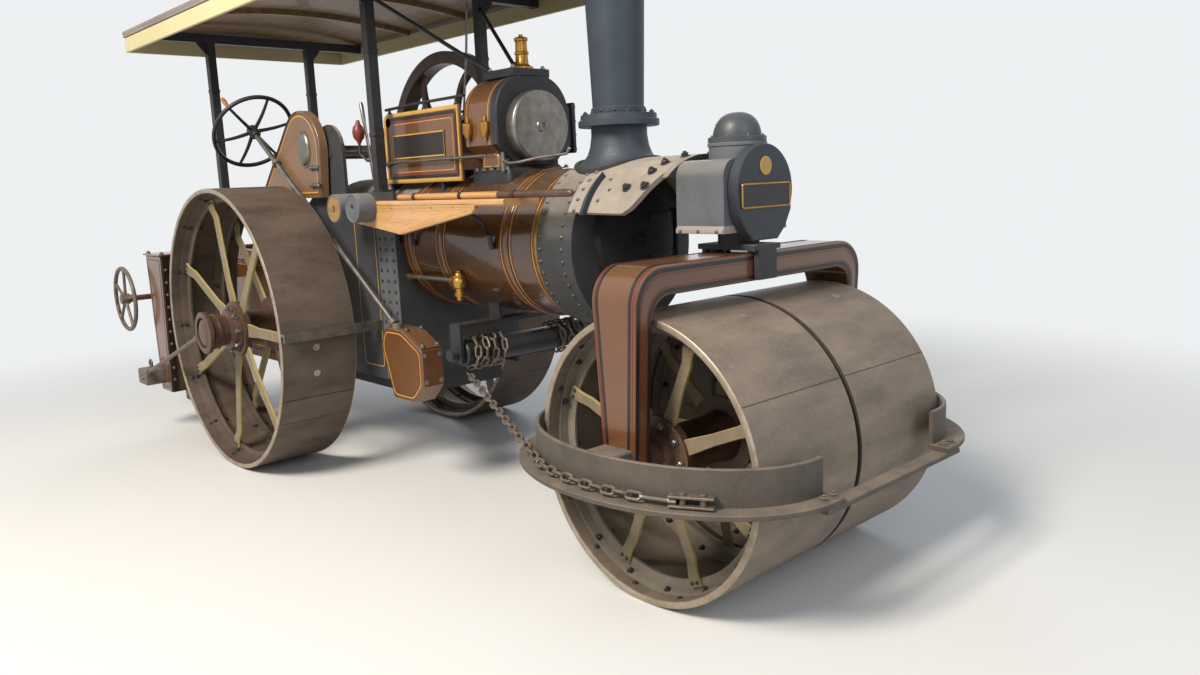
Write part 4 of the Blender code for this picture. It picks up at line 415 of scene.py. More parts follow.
# coach enamel: tan brown under varnish, clean and half glossy
coachBrown = weathered("coachBrown", {
    "base": "#6a4426", "second": "#5d3b1f", "patch": 420, "grit": 4, "rough": 0.3, "roughSwing": 0.06,
    "bump": 0.03, "coat": 0.5, "dust": "#8e7a60", "dustShare": 0.16, "mud": 0.05})
# gear guard: the same enamel, faded by sun and oil to a dull tan
guardTan = weathered("guardTan", {
    "base": "#7d5d3f", "second": "#6f5238", "patch": 200, "grit": 5, "rough": 0.42, "roughSwing": 0.06,
    "bump": 0.05, "coat": 0.2, "dust": "#95826a", "dustShare": 0.3})
# firebox and barrel cladding: the same enamel made darker and glossier, painted shade and painted reflection
# of the barrel's shaded lower half
shadedCladdingBrown = weathered("shadedCladdingBrown", {
    "base": "#3f2714", "second": "#4c3018", "patch": 300, "grit": 5, "rough": 0.25, "roughSwing": 0.06,
    "bump": 0.05, "coat": 0.6, "dust": "#8a775b", "dustShare": 0.18, "mud": 0.05})
# lining colours are the same enamel, thin and glossy
liningGold = weathered("liningGold", {
    "base": "#c8a052", "second": "#b48b3f", "patch": 90, "grit": 4, "rough": 0.4, "bump": 0.02})
liningRed = weathered("liningRed", {
    "base": "#7c2e22", "second": "#6b271d", "patch": 90, "grit": 4, "rough": 0.4, "bump": 0.02})
# the black lining enamel also stands as painted shade on the scarifier's forward straps
liningBlackAndShade = weathered("liningBlackAndShade", {
    "base": "#1b1512", "second": "#261d18", "patch": 90, "grit": 4, "rough": 0.4, "bump": 0.02})
# smokebox: graphite heat paint, flat, with ash dust on top
graphiteGrey = weathered("graphiteGrey", {
    "base": "#38393a", "second": "#2e2f31", "patch": 120, "grit": 6, "fleck": "#5c5953", "fleckShare": 0.3,
    "rough": 0.7, "bump": 0.25, "metal": 0.1, "dust": "#a2988a", "dustShare": 0.85})
# chimney and shield: blue-grey heat paint
chimneyGrey = weathered("chimneyGrey", {
    "base": "#2c3640", "second": "#242d36", "patch": 160, "grit": 6, "rough": 0.55, "bump": 0.1,
    "dust": "#5b5d5d", "dustShare": 0.3})
shieldGrey = weathered("shieldGrey", {
    "base": "#262b33", "second": "#20242b", "patch": 160, "grit": 6, "rough": 0.5, "bump": 0.08,
    "dust": "#5b5d61", "dustShare": 0.35})
# hood: the same heat paint buried in pale ash and road dust
hoodDust = weathered("hoodDust", {
    "base": "#a2988a", "second": "#8d8477", "patch": 110, "grit": 6, "fleck": "#6e675d", "fleckShare": 0.5,
    "rough": 0.85, "bump": 0.25})
domeGrey = weathered("domeGrey", {
    "base": "#3d4245", "second": "#33383b", "patch": 90, "grit": 5, "rough": 0.45, "bump": 0.06,
    "dust": "#62625e", "dustShare": 0.25})
headGrey = weathered("headGrey", {
    "base": "#5f6163", "second": "#515457", "patch": 110, "grit": 6, "rough": 0.55, "bump": 0.12,
    "dust": "#9a958a", "dustShare": 0.5})
# shop black on small iron work
shopBlack = weathered("shopBlack", {
    "base": "#1c1c1f", "second": "#28272a", "patch": 90, "grit": 5, "rough": 0.5, "bump": 0.1,
    "dust": "#4d4841", "dustShare": 0.4})
# near-black, rough: the smokebox door's black paint deepened as painted shade, and painted shade for openings
# and for the shaded dart
blackAndPaintedShade = weathered("blackAndPaintedShade", {
    "base": "#0c0c0e", "second": "#141315", "patch": 60, "grit": 8, "rough": 0.9, "bump": 0.3})
# machined steel kept oiled: fine turning marks show as drawn-out noise
oiledSteel = weathered("oiledSteel", {
    "base": "#8f8b84", "second": "#726d66", "patch": 60, "grit": 3, "metal": 0.85, "rough": 0.36,
    "bump": 0.05, "fleck": "#5a5049", "fleckShare": 0.35})
brass = weathered("brass", {
    "base": "#b98d47", "second": "#96703a", "patch": 50, "grit": 4, "metal": 0.9, "rough": 0.34,
    "bump": 0.04})
# wrought chain and bows: brown oxide with dust in it and bright high spots
oxideIron = weathered("oxideIron", {
    "base": "#5f5349", "second": "#756a5e", "patch": 40, "grit": 5, "fleck": "#9b8c7c", "fleckShare": 0.6,
    "metal": 0.45, "rough": 0.52, "bump": 0.25})
dustyBar = weathered("dustyBar", {
    "base": "#4c463f", "second": "#5b534a", "patch": 130, "grit": 6, "fleck": "#827563", "fleckShare": 0.4,
    "metal": 0.2, "rough": 0.7, "bump": 0.3, "dust": "#86796a", "dustShare": 0.6})
creamPaint = weathered("creamPaint", {
    "base": "#dccfa0", "second": "#cec08f", "patch": 260, "grit": 6, "fleck": "#a4977a", "fleckShare": 0.3,
    "rough": 0.55, "bump": 0.1, "stretch": (0.3, 1, 1)})
steamCoal = weathered("steamCoal", {
    "base": "#141416", "second": "#1f1f22", "patch": 30, "grit": 9, "rough": 0.35, "bump": 0.8})
boardTan = plankedWood("boardTan", {
    "base": "#a17a4a", "second": "#866238", "grain": 9, "figure": 60, "rough": 0.5, "coat": 0.2, "bump": 0.4})
varnishedOak = plankedWood("varnishedOak", {
    "base": "#b8742f", "second": "#965420", "grain": 5, "figure": 40, "rough": 0.3, "coat": 0.6,
    "bump": 0.15})
# shelf and pole: paler varnished ash, sun bleached
paleAsh = plankedWood("paleAsh", {
    "base": "#c99b64", "second": "#b18352", "grain": 5, "figure": 40, "rough": 0.35, "coat": 0.5,
    "bump": 0.15})
# underside of the canopy: thin tongued boards, stained and smoked
underTan = plankedWood("underTan", {
    "base": "#8a6a43", "second": "#6a4f31", "grain": 8, "figure": 50, "rough": 0.55, "coat": 0.1,
    "bump": 0.3})
# moulding: old paint bleached grey
mouldingGrey = weathered("mouldingGrey", {
    "base": "#9a9088", "second": "#857b74", "patch": 200, "grit": 6, "fleck": "#6d625b", "fleckShare": 0.4,
    "rough": 0.65, "bump": 0.2, "stretch": (0.3, 1, 1)})
# the slot a finish goes with, where build is told no other
slotFinishes = {"roll_iron": (rolledPlate, shadedRearPlate, dustyIron, scouredEdge, jointDirt),
                "spoke_yellow": (spokePaint,), "black_paint": (shopBlack, liningBlackAndShade, blackAndPaintedShade, steamCoal),
                "brown_paint": (coachBrown, hubEnamel, shadedCladdingBrown, guardTan, liningRed),
                "bright_steel": (oiledSteel,), "brass": (brass, liningGold),
                "smokebox_grey": (graphiteGrey, hoodDust, headGrey, dustyBar),
                "blue_grey": (chimneyGrey, shieldGrey, domeGrey), "cream_boards": (creamPaint, mouldingGrey),
                "chain_iron": (oxideIron,), "varnished_wood": (varnishedOak, paleAsh, underTan, boardTan)}
finishSlot = {finish: slot for slot, group in slotFinishes.items() for finish in group}
print("materials made")

# camera, floor and light

cameraLook = {
    "place": (4.526297, -3.007779, 1.639514), "yaw": 137.31603, "pitch": -9.732847, "roll": -2.351077,
    "focal": 920.397 / 1200 * 36}
yaw, pitch, roll = [math.radians(cameraLook[key]) for key in ("yaw", "pitch", "roll")]
forward = np.array([math.cos(yaw) * math.cos(pitch), math.sin(yaw) * math.cos(pitch), math.sin(pitch)])
level = unit(np.cross(forward, (0, 0, 1)))
upright = np.cross(level, forward)
rightward = level * math.cos(roll) + upright * math.sin(roll)
upward = upright * math.cos(roll) - level * math.sin(roll)
camera = bpy.data.objects.new("camera", bpy.data.cameras.new("camera"))
camera.data.sensor_width = 36
camera.data.lens = cameraLook["focal"]
camera.data.clip_end = 200
turn = np.eye(4)
turn[:3, 0], turn[:3, 1], turn[:3, 2], turn[:3, 3] = rightward, upward, -forward, cameraLook["place"]
camera.matrix_world = Matrix(turn.tolist())
bpy.context.scene.collection.objects.link(camera)
bpy.context.scene.camera = camera

lightLook = {
    "key": ((1.8, -7.0, 7.5), 3.0, 1250, "#fff6ea"), "front": ((8.5, -1.0, 4.5), 5.0, 190, "#eef3ff"),
    "back": ((-5.5, 6.0, 5.0), 5.0, 240, "#f4f6ff")}
for name, (place, size, power, colour) in lightLook.items():
    lamp = bpy.data.objects.new(name, bpy.data.lights.new(name, "AREA"))
    lamp.data.size = size
    lamp.data.energy = power
    lamp.data.color = linear(colour)[:3]
    z = unit(np.array(place) - np.array([0.3, 0, 1.0]))
    x = acrossOf(z)
    turn = np.eye(4)
    turn[:3, 0], turn[:3, 1], turn[:3, 2], turn[:3, 3] = x, np.cross(z, x), z, place
    lamp.matrix_world = Matrix(turn.tolist())
    bpy.context.scene.collection.objects.link(lamp)

world = bpy.data.worlds.new("studio")
bpy.context.scene.world = world
world.use_nodes = True
tree = world.node_tree
tree.nodes.clear()
rays = addNode(tree, "ShaderNodeLightPath")
seen = addNode(tree, "ShaderNodeMath", {
    0: rays.outputs["Is Camera Ray"], 1: rays.outputs["Is Transmission Ray"]}, operation="MAXIMUM")
shown = addNode(tree, "ShaderNodeMath", {0: seen.outputs[0], 1: rays.outputs["Is Glossy Ray"]},
                operation="MAXIMUM")
fill = addNode(tree, "ShaderNodeBackground", {"Color": linear("#c9d2dc"), "Strength": 0.45})
plain = addNode(tree, "ShaderNodeBackground", {"Color": linear("#eef0f2"), "Strength": 1.0})
both = addNode(tree, "ShaderNodeMixShader", {0: shown.outputs[0], 1: fill.outputs[0], 2: plain.outputs[0]})
addNode(tree, "ShaderNodeOutputWorld", {"Surface": both.outputs[0]})
bpy.context.scene.view_settings.view_transform = "Standard"

floorMesh = bpy.data.meshes.new("floor")
floorMesh.from_pydata([(-40, -40, 0), (40, -40, 0), (40, 40, 0), (-40, 40, 0)], [], [(0, 1, 2, 3)])
floor = bpy.data.objects.new("floor", floorMesh)
bpy.context.scene.collection.objects.link(floor)
paleFloor = bpy.data.materials.new("paleFloor")
paleFloor.use_nodes = True
tree = paleFloor.node_tree
tree.nodes["Principled BSDF"].inputs["Base Color"].default_value = linear("#d9d9d6")
tree.nodes["Principled BSDF"].inputs["Roughness"].default_value = 0.9
# the floor thins out with distance from the machine, so no edge shows against the backdrop
spot = addNode(tree, "ShaderNodeTexCoord")
gone = addNode(tree, "ShaderNodeVectorMath", {0: spot.outputs["Object"]}, operation="LENGTH")
share = addNode(tree, "ShaderNodeMapRange", {
    "Value": gone.outputs["Value"], "From Min": 3.0, "From Max": 7.0}, interpolation_type="SMOOTHSTEP")
clear = addNode(tree, "ShaderNodeBsdfTransparent")
mixed = addNode(tree, "ShaderNodeMixShader", {
    0: share.outputs[0], 1: tree.nodes["Principled BSDF"].outputs[0], 2: clear.outputs[0]})
tree.links.new(mixed.outputs[0], tree.nodes["Material Output"].inputs["Surface"])
floorMesh.materials.append(paleFloor)
print("camera, light and floor set")


# rolls

rollLook = {"rear": {"x": 0.0, "radius": 0.84, "half": 0.22, "centre": 0.76, "rim": 0.026, "tee": 0.11,
                     "spokes": 7, "spokeWide": (0.085, 0.076, 0.06, 0.058, 0.07),
                     "hub": [(0.325, 0), (0.325, 0.05), (0.321, 0.07), (0.315, 0.08), (0.286, 0.084),
                             (0.285, 0.105), (0.272, 0.105), (0.269, 0.099), (0.259, 0.099), (0.256, 0.105),
                             (0.244, 0.105), (0.241, 0.092), (0.19, 0.09), (0.184, 0.098), (0.18, 0.118),
                             (0.15, 0.124), (0.148, 0.14), (0.135, 0.142), (0.132, 0.165), (0.094, 0.165),
                             (0.091, 0.11), (0.06, 0.1), (-0.06, 0.1), (-0.091, 0.11), (-0.094, 0.165),
                             (-0.127, 0.165), (-0.131, 0.11), (-0.21, 0.1), (-0.22, 0.095), (-0.22, 0.0)],
                     "boltRing": (0.148, 0.131, 0.012, 10), "collarRing": (0.165, 0.122, 0.013, 8),
                     "joints": ((-23, 0.0035), (-34, 0.0016), (82, 0.0016)),
                     "plugs": ((-2.8, -0.02), (-13, -0.02))},
            "front": {"x": 3.15, "radius": 0.57, "half": 0.305, "centre": 0.315, "rim": 0.028, "tee": 0.195,
                      "spokes": 8, "spokeWide": (0.07, 0.058, 0.046, 0.046, 0.058),
                      "hub": [(0.305, 0.0475), (0.305, 0.07), (0.3, 0.077), (0.26, 0.08), (0.257, 0.105),
                              (0.222, 0.11), (0.219, 0.155), (0.214, 0.165), (0.178, 0.165), (0.172, 0.11),
                              (0.12, 0.1), (-0.12, 0.1), (-0.172, 0.11), (-0.178, 0.165), (-0.214, 0.165),
                              (-0.219, 0.155), (-0.222, 0.11), (-0.26, 0.08), (-0.3, 0.077), (-0.305, 0.07),
                              (-0.305, 0.0475)], "boltRing": (0.222, 0.135, 0.012, 10), "collarRing": None,
                      "joints": ((30.5, 0.002), (150, 0.002)), "plugs": ((70, 0.1),)}}


def rollPieces(kind, side, sign):
    look = rollLook[kind]
    name = f"{kind}_roll_{side}"
    body = f"rear_roll_{side}_body" if kind == "rear" else "front_roll"
    centre = np.array([look["x"], sign * look["centre"], look["radius"]])
    out = np.array([0, sign, 0])
    r, h, inner = look["radius"], look["half"], look["radius"] - look["rim"]
    lip = 0.006
    shell = [(-h + lip, r), (h - lip, r), (h - lip, inner), (-h + lip, inner)]
    # the rear rolls take the darkened plate: painted shade on their treads
    build(name + ".tread", lathe(shell, centre, out, 144, loop=True),
          rolledPlate if kind == "front" else shadedRearPlate, body, "roll_iron", [name])
    for face in (-1, 1):
        edge = [(h - lip + 0.0003, r - 0.0004), (h - 0.003, r - 0.0008), (h - 0.0008, r - 0.003),
                (h, r - 0.007), (h, inner + 0.004), (h - 0.002, inner + 0.001), (h - lip + 0.0003, inner)]
        bare = face > 0 or kind == "rear"
        build(name + (".rimEdge" if face > 0 else ".innerEdge"),
              lathe(edge, centre, out * face, 144, loop=True), scouredEdge if bare else jointDirt, body,
              "roll_iron")
    tees, bars, boltsHere = [], [], []
    for row, w in enumerate((-look["tee"], look["tee"])):
        face = math.copysign(1, w)
        # tee ring: foot against the plate, web standing inward
        foot = inner - 0.0006
        section = [(w - 0.05, foot), (w + 0.05, foot), (w + 0.05, foot - 0.01), (w + 0.012, foot - 0.016),
                   (w + 0.009, foot - 0.05), (w + 0.006, foot - 0.054), (w - 0.006, foot - 0.054),
                   (w - 0.009, foot - 0.05), (w - 0.012, foot - 0.016), (w - 0.05, foot - 0.01)]
        tees.append(lathe(section, centre, out, 96, loop=True))
        count = look["spokes"]
        turns = math.pi / count * row + 2 * np.pi * np.arange(count) / count
        if sign < 0:
            turns = np.pi - turns
        radial = np.stack([np.cos(turns), np.zeros(count), -np.sin(turns)], 1)
        # spoke: flat bar with a joggle, in its own axes (along, tangent, axle)
        along = np.array([0.098, 0.17, 0.2, 0.24, 0.3, inner * 0.62, inner - 0.13, inner - 0.1, inner - 0.075,
                          inner - 0.028])
        joggle = np.array([0.0, 0.0, 0.0, 0.002, 0.004, 0.004, 0.003, 0.012, 0.0185, 0.0185])
        wide = np.interp(along, [0.1, 0.2, 0.3, inner - 0.1, inner], look["spokeWide"])
        t, e = 0.0075, 0.0025
        rings = []
        for a, s, width in zip(along, joggle, wide):
            half = width / 2
            rings.append([(a, b, c + s) for b, c in ((-half + e, -t), (half - e, -t), (half, -t + e),
                                                     (half, t - e), (half - e, t), (-half + e, t),
                                                     (-half, t - e), (-half, -t + e))])
        tangent = np.cross(np.broadcast_to(out * face, radial.shape), radial)
        bars.append(copies(loft(rings), np.repeat([centre + out * w], count, 0), out * face, radial))
        for reach in (0.125, 0.152, inner - 0.045):
            for across in (-0.014, 0.014):
                lift = w + face * (0.0085 if reach < 0.2 else 0.027)
                places = centre + out * lift + radial * reach + tangent * across
                boltsHere.append(rivets(places, out * face, 0.0085))
        for shift in (0.034, -0.034):
            spots, outward = around(centre, out, foot - 0.0103, count * 2, phase=0.2 + row * 0.3,
                                    along=w + shift)
            boltsHere.append(bolts(spots, -outward, 0.012))
    # the rear rolls' tee rings take the darkened plate too: painted shade
    build(name + ".tees", tees, dustyIron if kind == "front" else shadedRearPlate, body, "roll_iron")
    build(name + ".spokes", bars, spokePaint, body)
    spots, outward = around(centre, out, inner - 0.0006, 14, phase=0.5, along=h - 0.045)
    boltsHere.append(rivets(spots, -outward, 0.012))
    build(name + ".fastenings", boltsHere, shopBlack, body, "roll_iron")
    build(name + ".hub", lathe(look["hub"], centre, out, 64, loop=look["hub"][0][1] > 0), hubEnamel, body)
    rings = []
    for ring in (look["boltRing"], look["collarRing"]):
        if ring:
            along, reach, size, count = ring
            spots, outward = around(centre, out, reach, count, along=along)
            rings.append(bolts(spots, out, size) if ring is look["boltRing"] else bolts(spots, outward, size))
    build(name + ".hubBolts", rings, oiledSteel, body)
    # plate joints and countersunk plugs on the tread, at angles about the axle
    marks, plugs = [], []
    for degrees, wide in look["joints"]:
        t = np.radians(degrees) + np.linspace(-wide, wide, 3)
        section = [(t[0], 0.0002), (t[2], 0.0002), (t[2], 0.0009), (t[1], 0.0012), (t[0], 0.0009)]
        marks.append(loft([[centre + np.array([(r + lift) * math.cos(a), y, (r + lift) * math.sin(a)])
                            for a, lift in section] for y in (-h + lip, h - lip)]))
    for degrees, y in look["plugs"]:
        a = math.radians(degrees)
        spot = centre + np.array([r * math.cos(a), y, r * math.sin(a)])
        normal = np.array([math.cos(a), 0, math.sin(a)])
        plugs.append(lathe([(0.0003, 0), (0.0003, 0.02), (0.0014, 0.019), (0.0016, 0.012), (0.001, 0.009),
                            (0.001, 0)], spot, normal, 20))
    build(name + ".joints", marks, jointDirt, body)
    build(name + ".plugs", plugs, scouredEdge, body)


for side, sign in (("right", -1), ("left", 1)):
    for kind in ("rear", "front"):
        rollPieces(kind, side, sign)
print("rolls made")


# boiler, smokebox and chimney

boilerLook = {
    "z": 1.34, "radius": 0.362, "rear": 1.1205, "front": 2.2995, "bands": (1.19, 1.486, 2.04, 2.2775),
    "bandHalf": 0.0225, "band": 0.006}


def boilerPieces():
    look = boilerLook
    centre, ahead, r = (0, 0, look["z"]), (1, 0, 0), look["radius"]
    # the cladding is drawn in the darkened enamel: painted shade and painted reflection
    build("boiler_barrel.cladding", lathe([(look["rear"], 0), (look["rear"], r), (look["front"], r),
                                           (look["front"], 0)], centre, ahead, 96),
          shadedCladdingBrown, nodes=["boiler_barrel"])
    bands, golds, reds = [], [], []
    for x in look["bands"]:
        half, top = min(look["bandHalf"], look["front"] - x), r + look["band"]
        bands.append(lathe([(x - half, r + touch), (x - half, top - 0.002), (x - half + 0.003, top),
                            (x + half - 0.003, top), (x + half, top - 0.002), (x + half, r + touch)],
                           centre, ahead, 96, loop=True))
        for shift, wide, kept in ((-half - 0.012, 0.005, golds), (half + 0.012, 0.005, golds),
                                  (-half - 0.024, 0.004, reds), (half + 0.024, 0.004, reds)):
            if look["rear"] < x + shift < look["front"]:
                kept.append(lathe([(x + shift - wide / 2, r + touch), (x + shift + wide / 2, r + touch),
                                   (x + shift + wide / 2, r + touch + 0.0007),
                                   (x + shift - wide / 2, r + touch + 0.0007)], centre, ahead, 96, loop=True))
    build("boiler_barrel.bands", bands[:-1], coachBrown)
    build("boiler_barrel.frontRing", bands[-1:], brass)
    build("boiler_barrel.goldLines", golds, liningGold)
    build("boiler_barrel.redLines", reds, liningRed)


smokeboxLook = {
    "rear": 2.3003, "front": 2.5395, "radius": 0.385, "seat": 0.389, "hood": (2.492, 2.9595),
    "hoodOuter": 0.3888, "hoodInner": 0.3665, "hoodEdgeX": (2.49, 2.83, 2.87, 2.9, 2.95, 2.96),
    "hoodEdgeDegrees": (65, 66, 62, 55, 37, 35), "strips": ((2.575, 2.615, 0.005), (2.612, 2.618, 0.026)),
    "stripDegrees": (37, 67), "spots": ((2.66, 57), (2.70, 49), (2.665, 40)),
    "nuts": ((2.80, 48), (2.88, 34), (2.9, 24), (2.94, 12), (2.90, 47))}


def onHood(x, degrees):
    # place on the hood at an angle from upright, and the outward direction there
    a = np.radians(degrees)
    outward = np.stack([0 * a, np.sin(a), np.cos(a)], -1)
    return np.array([x, 0, boilerLook["z"]]) + outward * smokeboxLook["seat"], outward


def smokeboxPieces():
    look = smokeboxLook
    z, r, rear, front = boilerLook["z"], look["radius"], look["rear"], look["front"]
    centre, ahead = (0, 0, z), (1, 0, 0)
    drum = [(rear, 0), (rear, r - 0.002), (rear + 0.002, r), (front - 0.0025, r), (front, r - 0.003),
            (front, 0)]
    build("smokebox.drum", lathe(drum, centre, ahead, 96), graphiteGrey, nodes=["smokebox"])
    # hood: an arched plate; its half span in degrees falls towards the headstock
    places = np.linspace(*look["hood"], 40)
    span = np.radians(np.interp(places, look["hoodEdgeX"], look["hoodEdgeDegrees"]))
    rings = []
    for x, a in zip(places, span):
        t = np.linspace(-a, a, 61)
        over, under = [np.stack([np.full_like(t, x), q * np.sin(t), z + q * np.cos(t)], 1)
                       for q in (look["hoodOuter"], look["hoodInner"])]
        rings.append(np.concatenate([over, under[::-1]]))
    build("smokebox.hood", loft(rings), hoodDust)
    heads = []
    for x in (2.325, 2.475):
        places, outward = around((x, 0, z), ahead, r + 0.0002, 44)
        heads.append(rivets(places, outward, 0.0095))
    heads.append(rivets(*onHood(2.53, np.linspace(-64, 64, 17)), 0.0095))
    heads += [rivets(*onHood(x, degrees * side), 0.009) for x, degrees in look["spots"] for side in (-1, 1)]
    build("smokebox.rivets", heads, graphiteGrey)
    nuts = [bolts(*onHood(x, degrees * side), 0.016) for side in (-1, 1) for x, degrees in look["nuts"]]
    build("smokebox.hoodBolts", nuts, shopBlack)
    # angle strips down both sides of the hood
    strips = []
    low = look["seat"] + 0.0002
    for side in (-1, 1):
        a = np.radians(np.linspace(*look["stripDegrees"], 16)) * side
        for rear, front, rise in look["strips"]:
            corners = ((rear, low), (front, low), (front, low + rise), (rear, low + rise))
            strips.append(loft([[(x, math.sin(t) * q, z + math.cos(t) * q) for x, q in corners] for t in a]))
    build("smokebox.angles", strips, chimneyGrey, slot="smokebox_grey")


chimneyLook = {
    "x": 2.47, "saddle": 0.3895, "flange": 1.873, "boltRing": (1.9268, 0.155, 12),
    "rivetRing": (1.9417, 0.1242, 12), "flare": ((0.0, 0.186), (0.0, 0.19), (0.012, 0.19), (0.03, 0.18),
                                                 (0.1, 0.163), (0.22, 0.148), (0.45, 0.135), (0.75, 0.128),
                                                 (1.0, 0.128)),
    "flangeRings": ((1.873, 0.14), (1.873, 0.182), (1.876, 0.185), (1.9, 0.185), (1.903, 0.181),
                    (1.9035, 0.175), (1.9265, 0.173), (1.9267, 0.13)),
    "band": ((0.191, 0.0005), (0.212, 0.0005), (0.212, 0.006), (0.208, 0.008), (0.191, 0.008)),
    "shaft": [(1.9272, 0.102), (1.9272, 0.124), (1.955, 0.124), (1.958, 0.121), (1.96, 0.117), (2.9, 0.149),
              (2.915, 0.153), (2.925, 0.168), (2.93, 0.174), (2.955, 0.174), (2.972, 0.168), (2.98, 0.158),
              (2.98, 0.108), (2.972, 0.102)]}


def chimneyPieces():
    look = chimneyLook
    x, up = look["x"], (0, 0, 1)
    t = np.linspace(0, 2 * np.pi, 97)[:-1]

    def ringOf(r, height):
        return np.stack([x + r * np.cos(t), r * np.sin(t), height + 0 * t], 1)

    def drumZ(r):
        # height of the drum's top under a circle of radius r about the chimney's axis
        return boilerLook["z"] + np.sqrt(look["saddle"] ** 2 - (r * np.sin(t)) ** 2)
    # base: rings run from the saddle, which follows the drum, up a flare to the flange
    rings = []
    for share, r in look["flare"]:
        foot = drumZ(r) + 0.0006
        rings.append(ringOf(r, foot + (look["flange"] - foot) * share))
    rings += [ringOf(r, height) for height, r in look["flangeRings"]]
    build("chimney_base.casting", loft(rings), chimneyGrey, nodes=["chimney_base"])
    band = [ringOf(r, drumZ(r) + lift) for r, lift in look["band"]]
    build("chimney_base.saddleBand", loft(band, loop=True), shopBlack)
    build("chimney.shaft", lathe(look["shaft"], (x, 0, 0), up, 96, loop=True), chimneyGrey, nodes=["chimney"])
    height, r, count = look["rivetRing"]
    places, outward = around((x, 0, height), up, r, count, phase=0.13)
    build("chimney.rivets", rivets(places, outward, 0.007), chimneyGrey)
    height, r, count = look["boltRing"]
    build("chimney_base.bolts", bolts(around((x, 0, height), up, r, count)[0], up, 0.011), chimneyGrey)


boilerPieces()
smokeboxPieces()
chimneyPieces()
print("boiler, smokebox and chimney made")


# headstock, fork and steering bows

headLook = {
    "half": 0.2, "bottom": 1.41, "top": 1.70, "rear": 2.991, "front": 3.2395, "shoulder": 0.07,
    "bulkhead": 0.3885, "swivelX": 3.15, "footHigh": 0.0305, "shield": 3.29, "plate": (0.158, 1.503, 1.603),
    "lip": ((0.0, 0.01), (0.002, 0.012), (0.016, 0.012), (0.021, 0.009), (0.03, 0.0), (0.03, -0.01)),
    "turret": ((1.7003, 0.0), (1.7003, 0.115), (1.75, 0.115), (1.752, 0.12), (1.7625, 0.12), (1.765, 0.117),
               (1.765, 0)), "dome": 0.098, "domeSeat": 1.7875, "domeTop": 1.885, "domeBolts": 0.1085,
    "domeFlange": [(1.7873, 0.101), (1.7873, 0.116), (1.785, 0.118), (1.7655, 0.118), (1.7655, 0)],
    "boss": ((3.2904, 0.0), (3.2904, 0.037), (3.293, 0.037), (3.2945, 0.034), (3.2945, 0.031),
             (3.2935, 0.029), (3.2945, 0.0))}


def archSection(half, bottom, top, radius, steps=10):
    # upright-sided arch: straight sides to the springing, round shoulders of the radius, flat crown between
    right = arc((half - radius, top - radius), radius, 0, 90, steps)
    left = arc((-half + radius, top - radius), radius, 90, 180, steps)
    return np.concatenate([[(half, bottom)], right, left, [(-half, bottom)]])


def headstockPieces():
    look = headLook
    half, rear, front, bottom, x = look["half"], look["rear"], look["front"], look["bottom"], look["swivelX"]
    z, r, up = boilerLook["z"], look["bulkhead"], (0, 0, 1)
    t = np.radians(np.linspace(-40, 40, 31))
    moon = [np.stack([at + 0 * t, r * np.sin(t), z + r * np.cos(t)], 1) for at in (2.9603, 2.9903)]
    build("headstock.bulkhead", loft(moon), graphiteGrey)
    # body over a flared foot
    section = archSection(half, bottom + look["footHigh"], look["top"], look["shoulder"])
    small = archSection(half - 0.002, bottom + look["footHigh"], look["top"] - 0.002, look["shoulder"])
    rings = [flat(points, "yz", at) for at, points in ((rear, small), (rear + 0.002, section),
                                                       (front, section))]
    build("headstock.box", loft(rings), headGrey, nodes=["headstock"])
    lip = []
    for rise, grow in look["lip"]:
        y = half + grow
        ring = rounded([(rear + 0.0005, y), (rear + 0.0005, -y), (front, -y), (front, y)], 0.01, 4)
        lip.append(np.column_stack([ring, np.full(len(ring), bottom + rise)]))
    build("headstock.foot", loft(lip), mouldingGrey, slot="smokebox_grey")
    waist = np.array([(0.081, 1.375), (0.13, 1.42), (0.17, 1.49)])
    outline = np.concatenate([waist, arc((0, 1.575), 0.18, -18, 198, 40), (waist * (-1, 1))[::-1]])
    build("headstock.shield", plate(outline, "yz", 3.2402, look["shield"], 0.004), shieldGrey)
    build("headstock.turret", lathe(look["turret"], (x, 0, 0), up, 72), headGrey)
    seat, crown, r = look["domeSeat"], look["domeTop"], look["dome"]
    a = np.radians([88, 80, 70, 60, 50, 40, 30, 20, 10, 0])
    dome = [(seat + (crown - seat) * math.sin(q), r * math.cos(q) ** 0.8) for q in a]
    profile = [(crown, 0)] + dome + look["domeFlange"]
    build("headstock_cap.dome", lathe(profile, (x, 0, 0), up, 72), domeGrey, nodes=["headstock_cap"])
    heads = [bolts(around((x, 0, seat), up, look["domeBolts"], 8, phase=0.3)[0], up, 0.006)]
    for side in (-1, 1):
        heads.append(bolts([(at, side * (half + 0.0122), 1.419) for at in (3.02, 3.115, 3.21)], (0, side, 0),
                           0.006))
    build("headstock.bolts", heads, headGrey)
    # bare plate in a brass frame and a bare round boss
    y, low, high = look["plate"]
    frameLine = rounded([(-y, low), (y, low), (y, high), (-y, high)], 0.012, 5)
    build("shield.plate", plate(frameLine, "yz", look["shield"] + touch, 3.2944, 0.001), shopBlack)
    rim = [(-0.004, 0), (0.004, 0), (0.003, 0.003), (-0.003, 0.003)]
    build("shield.plateEdge", sweep(flat(inset(frameLine, 0.004), "yz", 3.2945), rim, (1, 0, 0), True), brass)
    build("shield.boss", lathe(look["boss"], (0, 0, 1.668), (1, 0, 0), 40), liningGold)


forkLook = {
    "x": 3.15, "outer": 0.73, "leg": 0.085, "top": 1.325, "foot": 0.48, "beam": 0.112, "corner": 0.14,
    "halfLow": 0.075, "halfHigh": 0.1175, "edge": 0.006, "swivelBolts": (0.098, 0.05, 1.3256)}


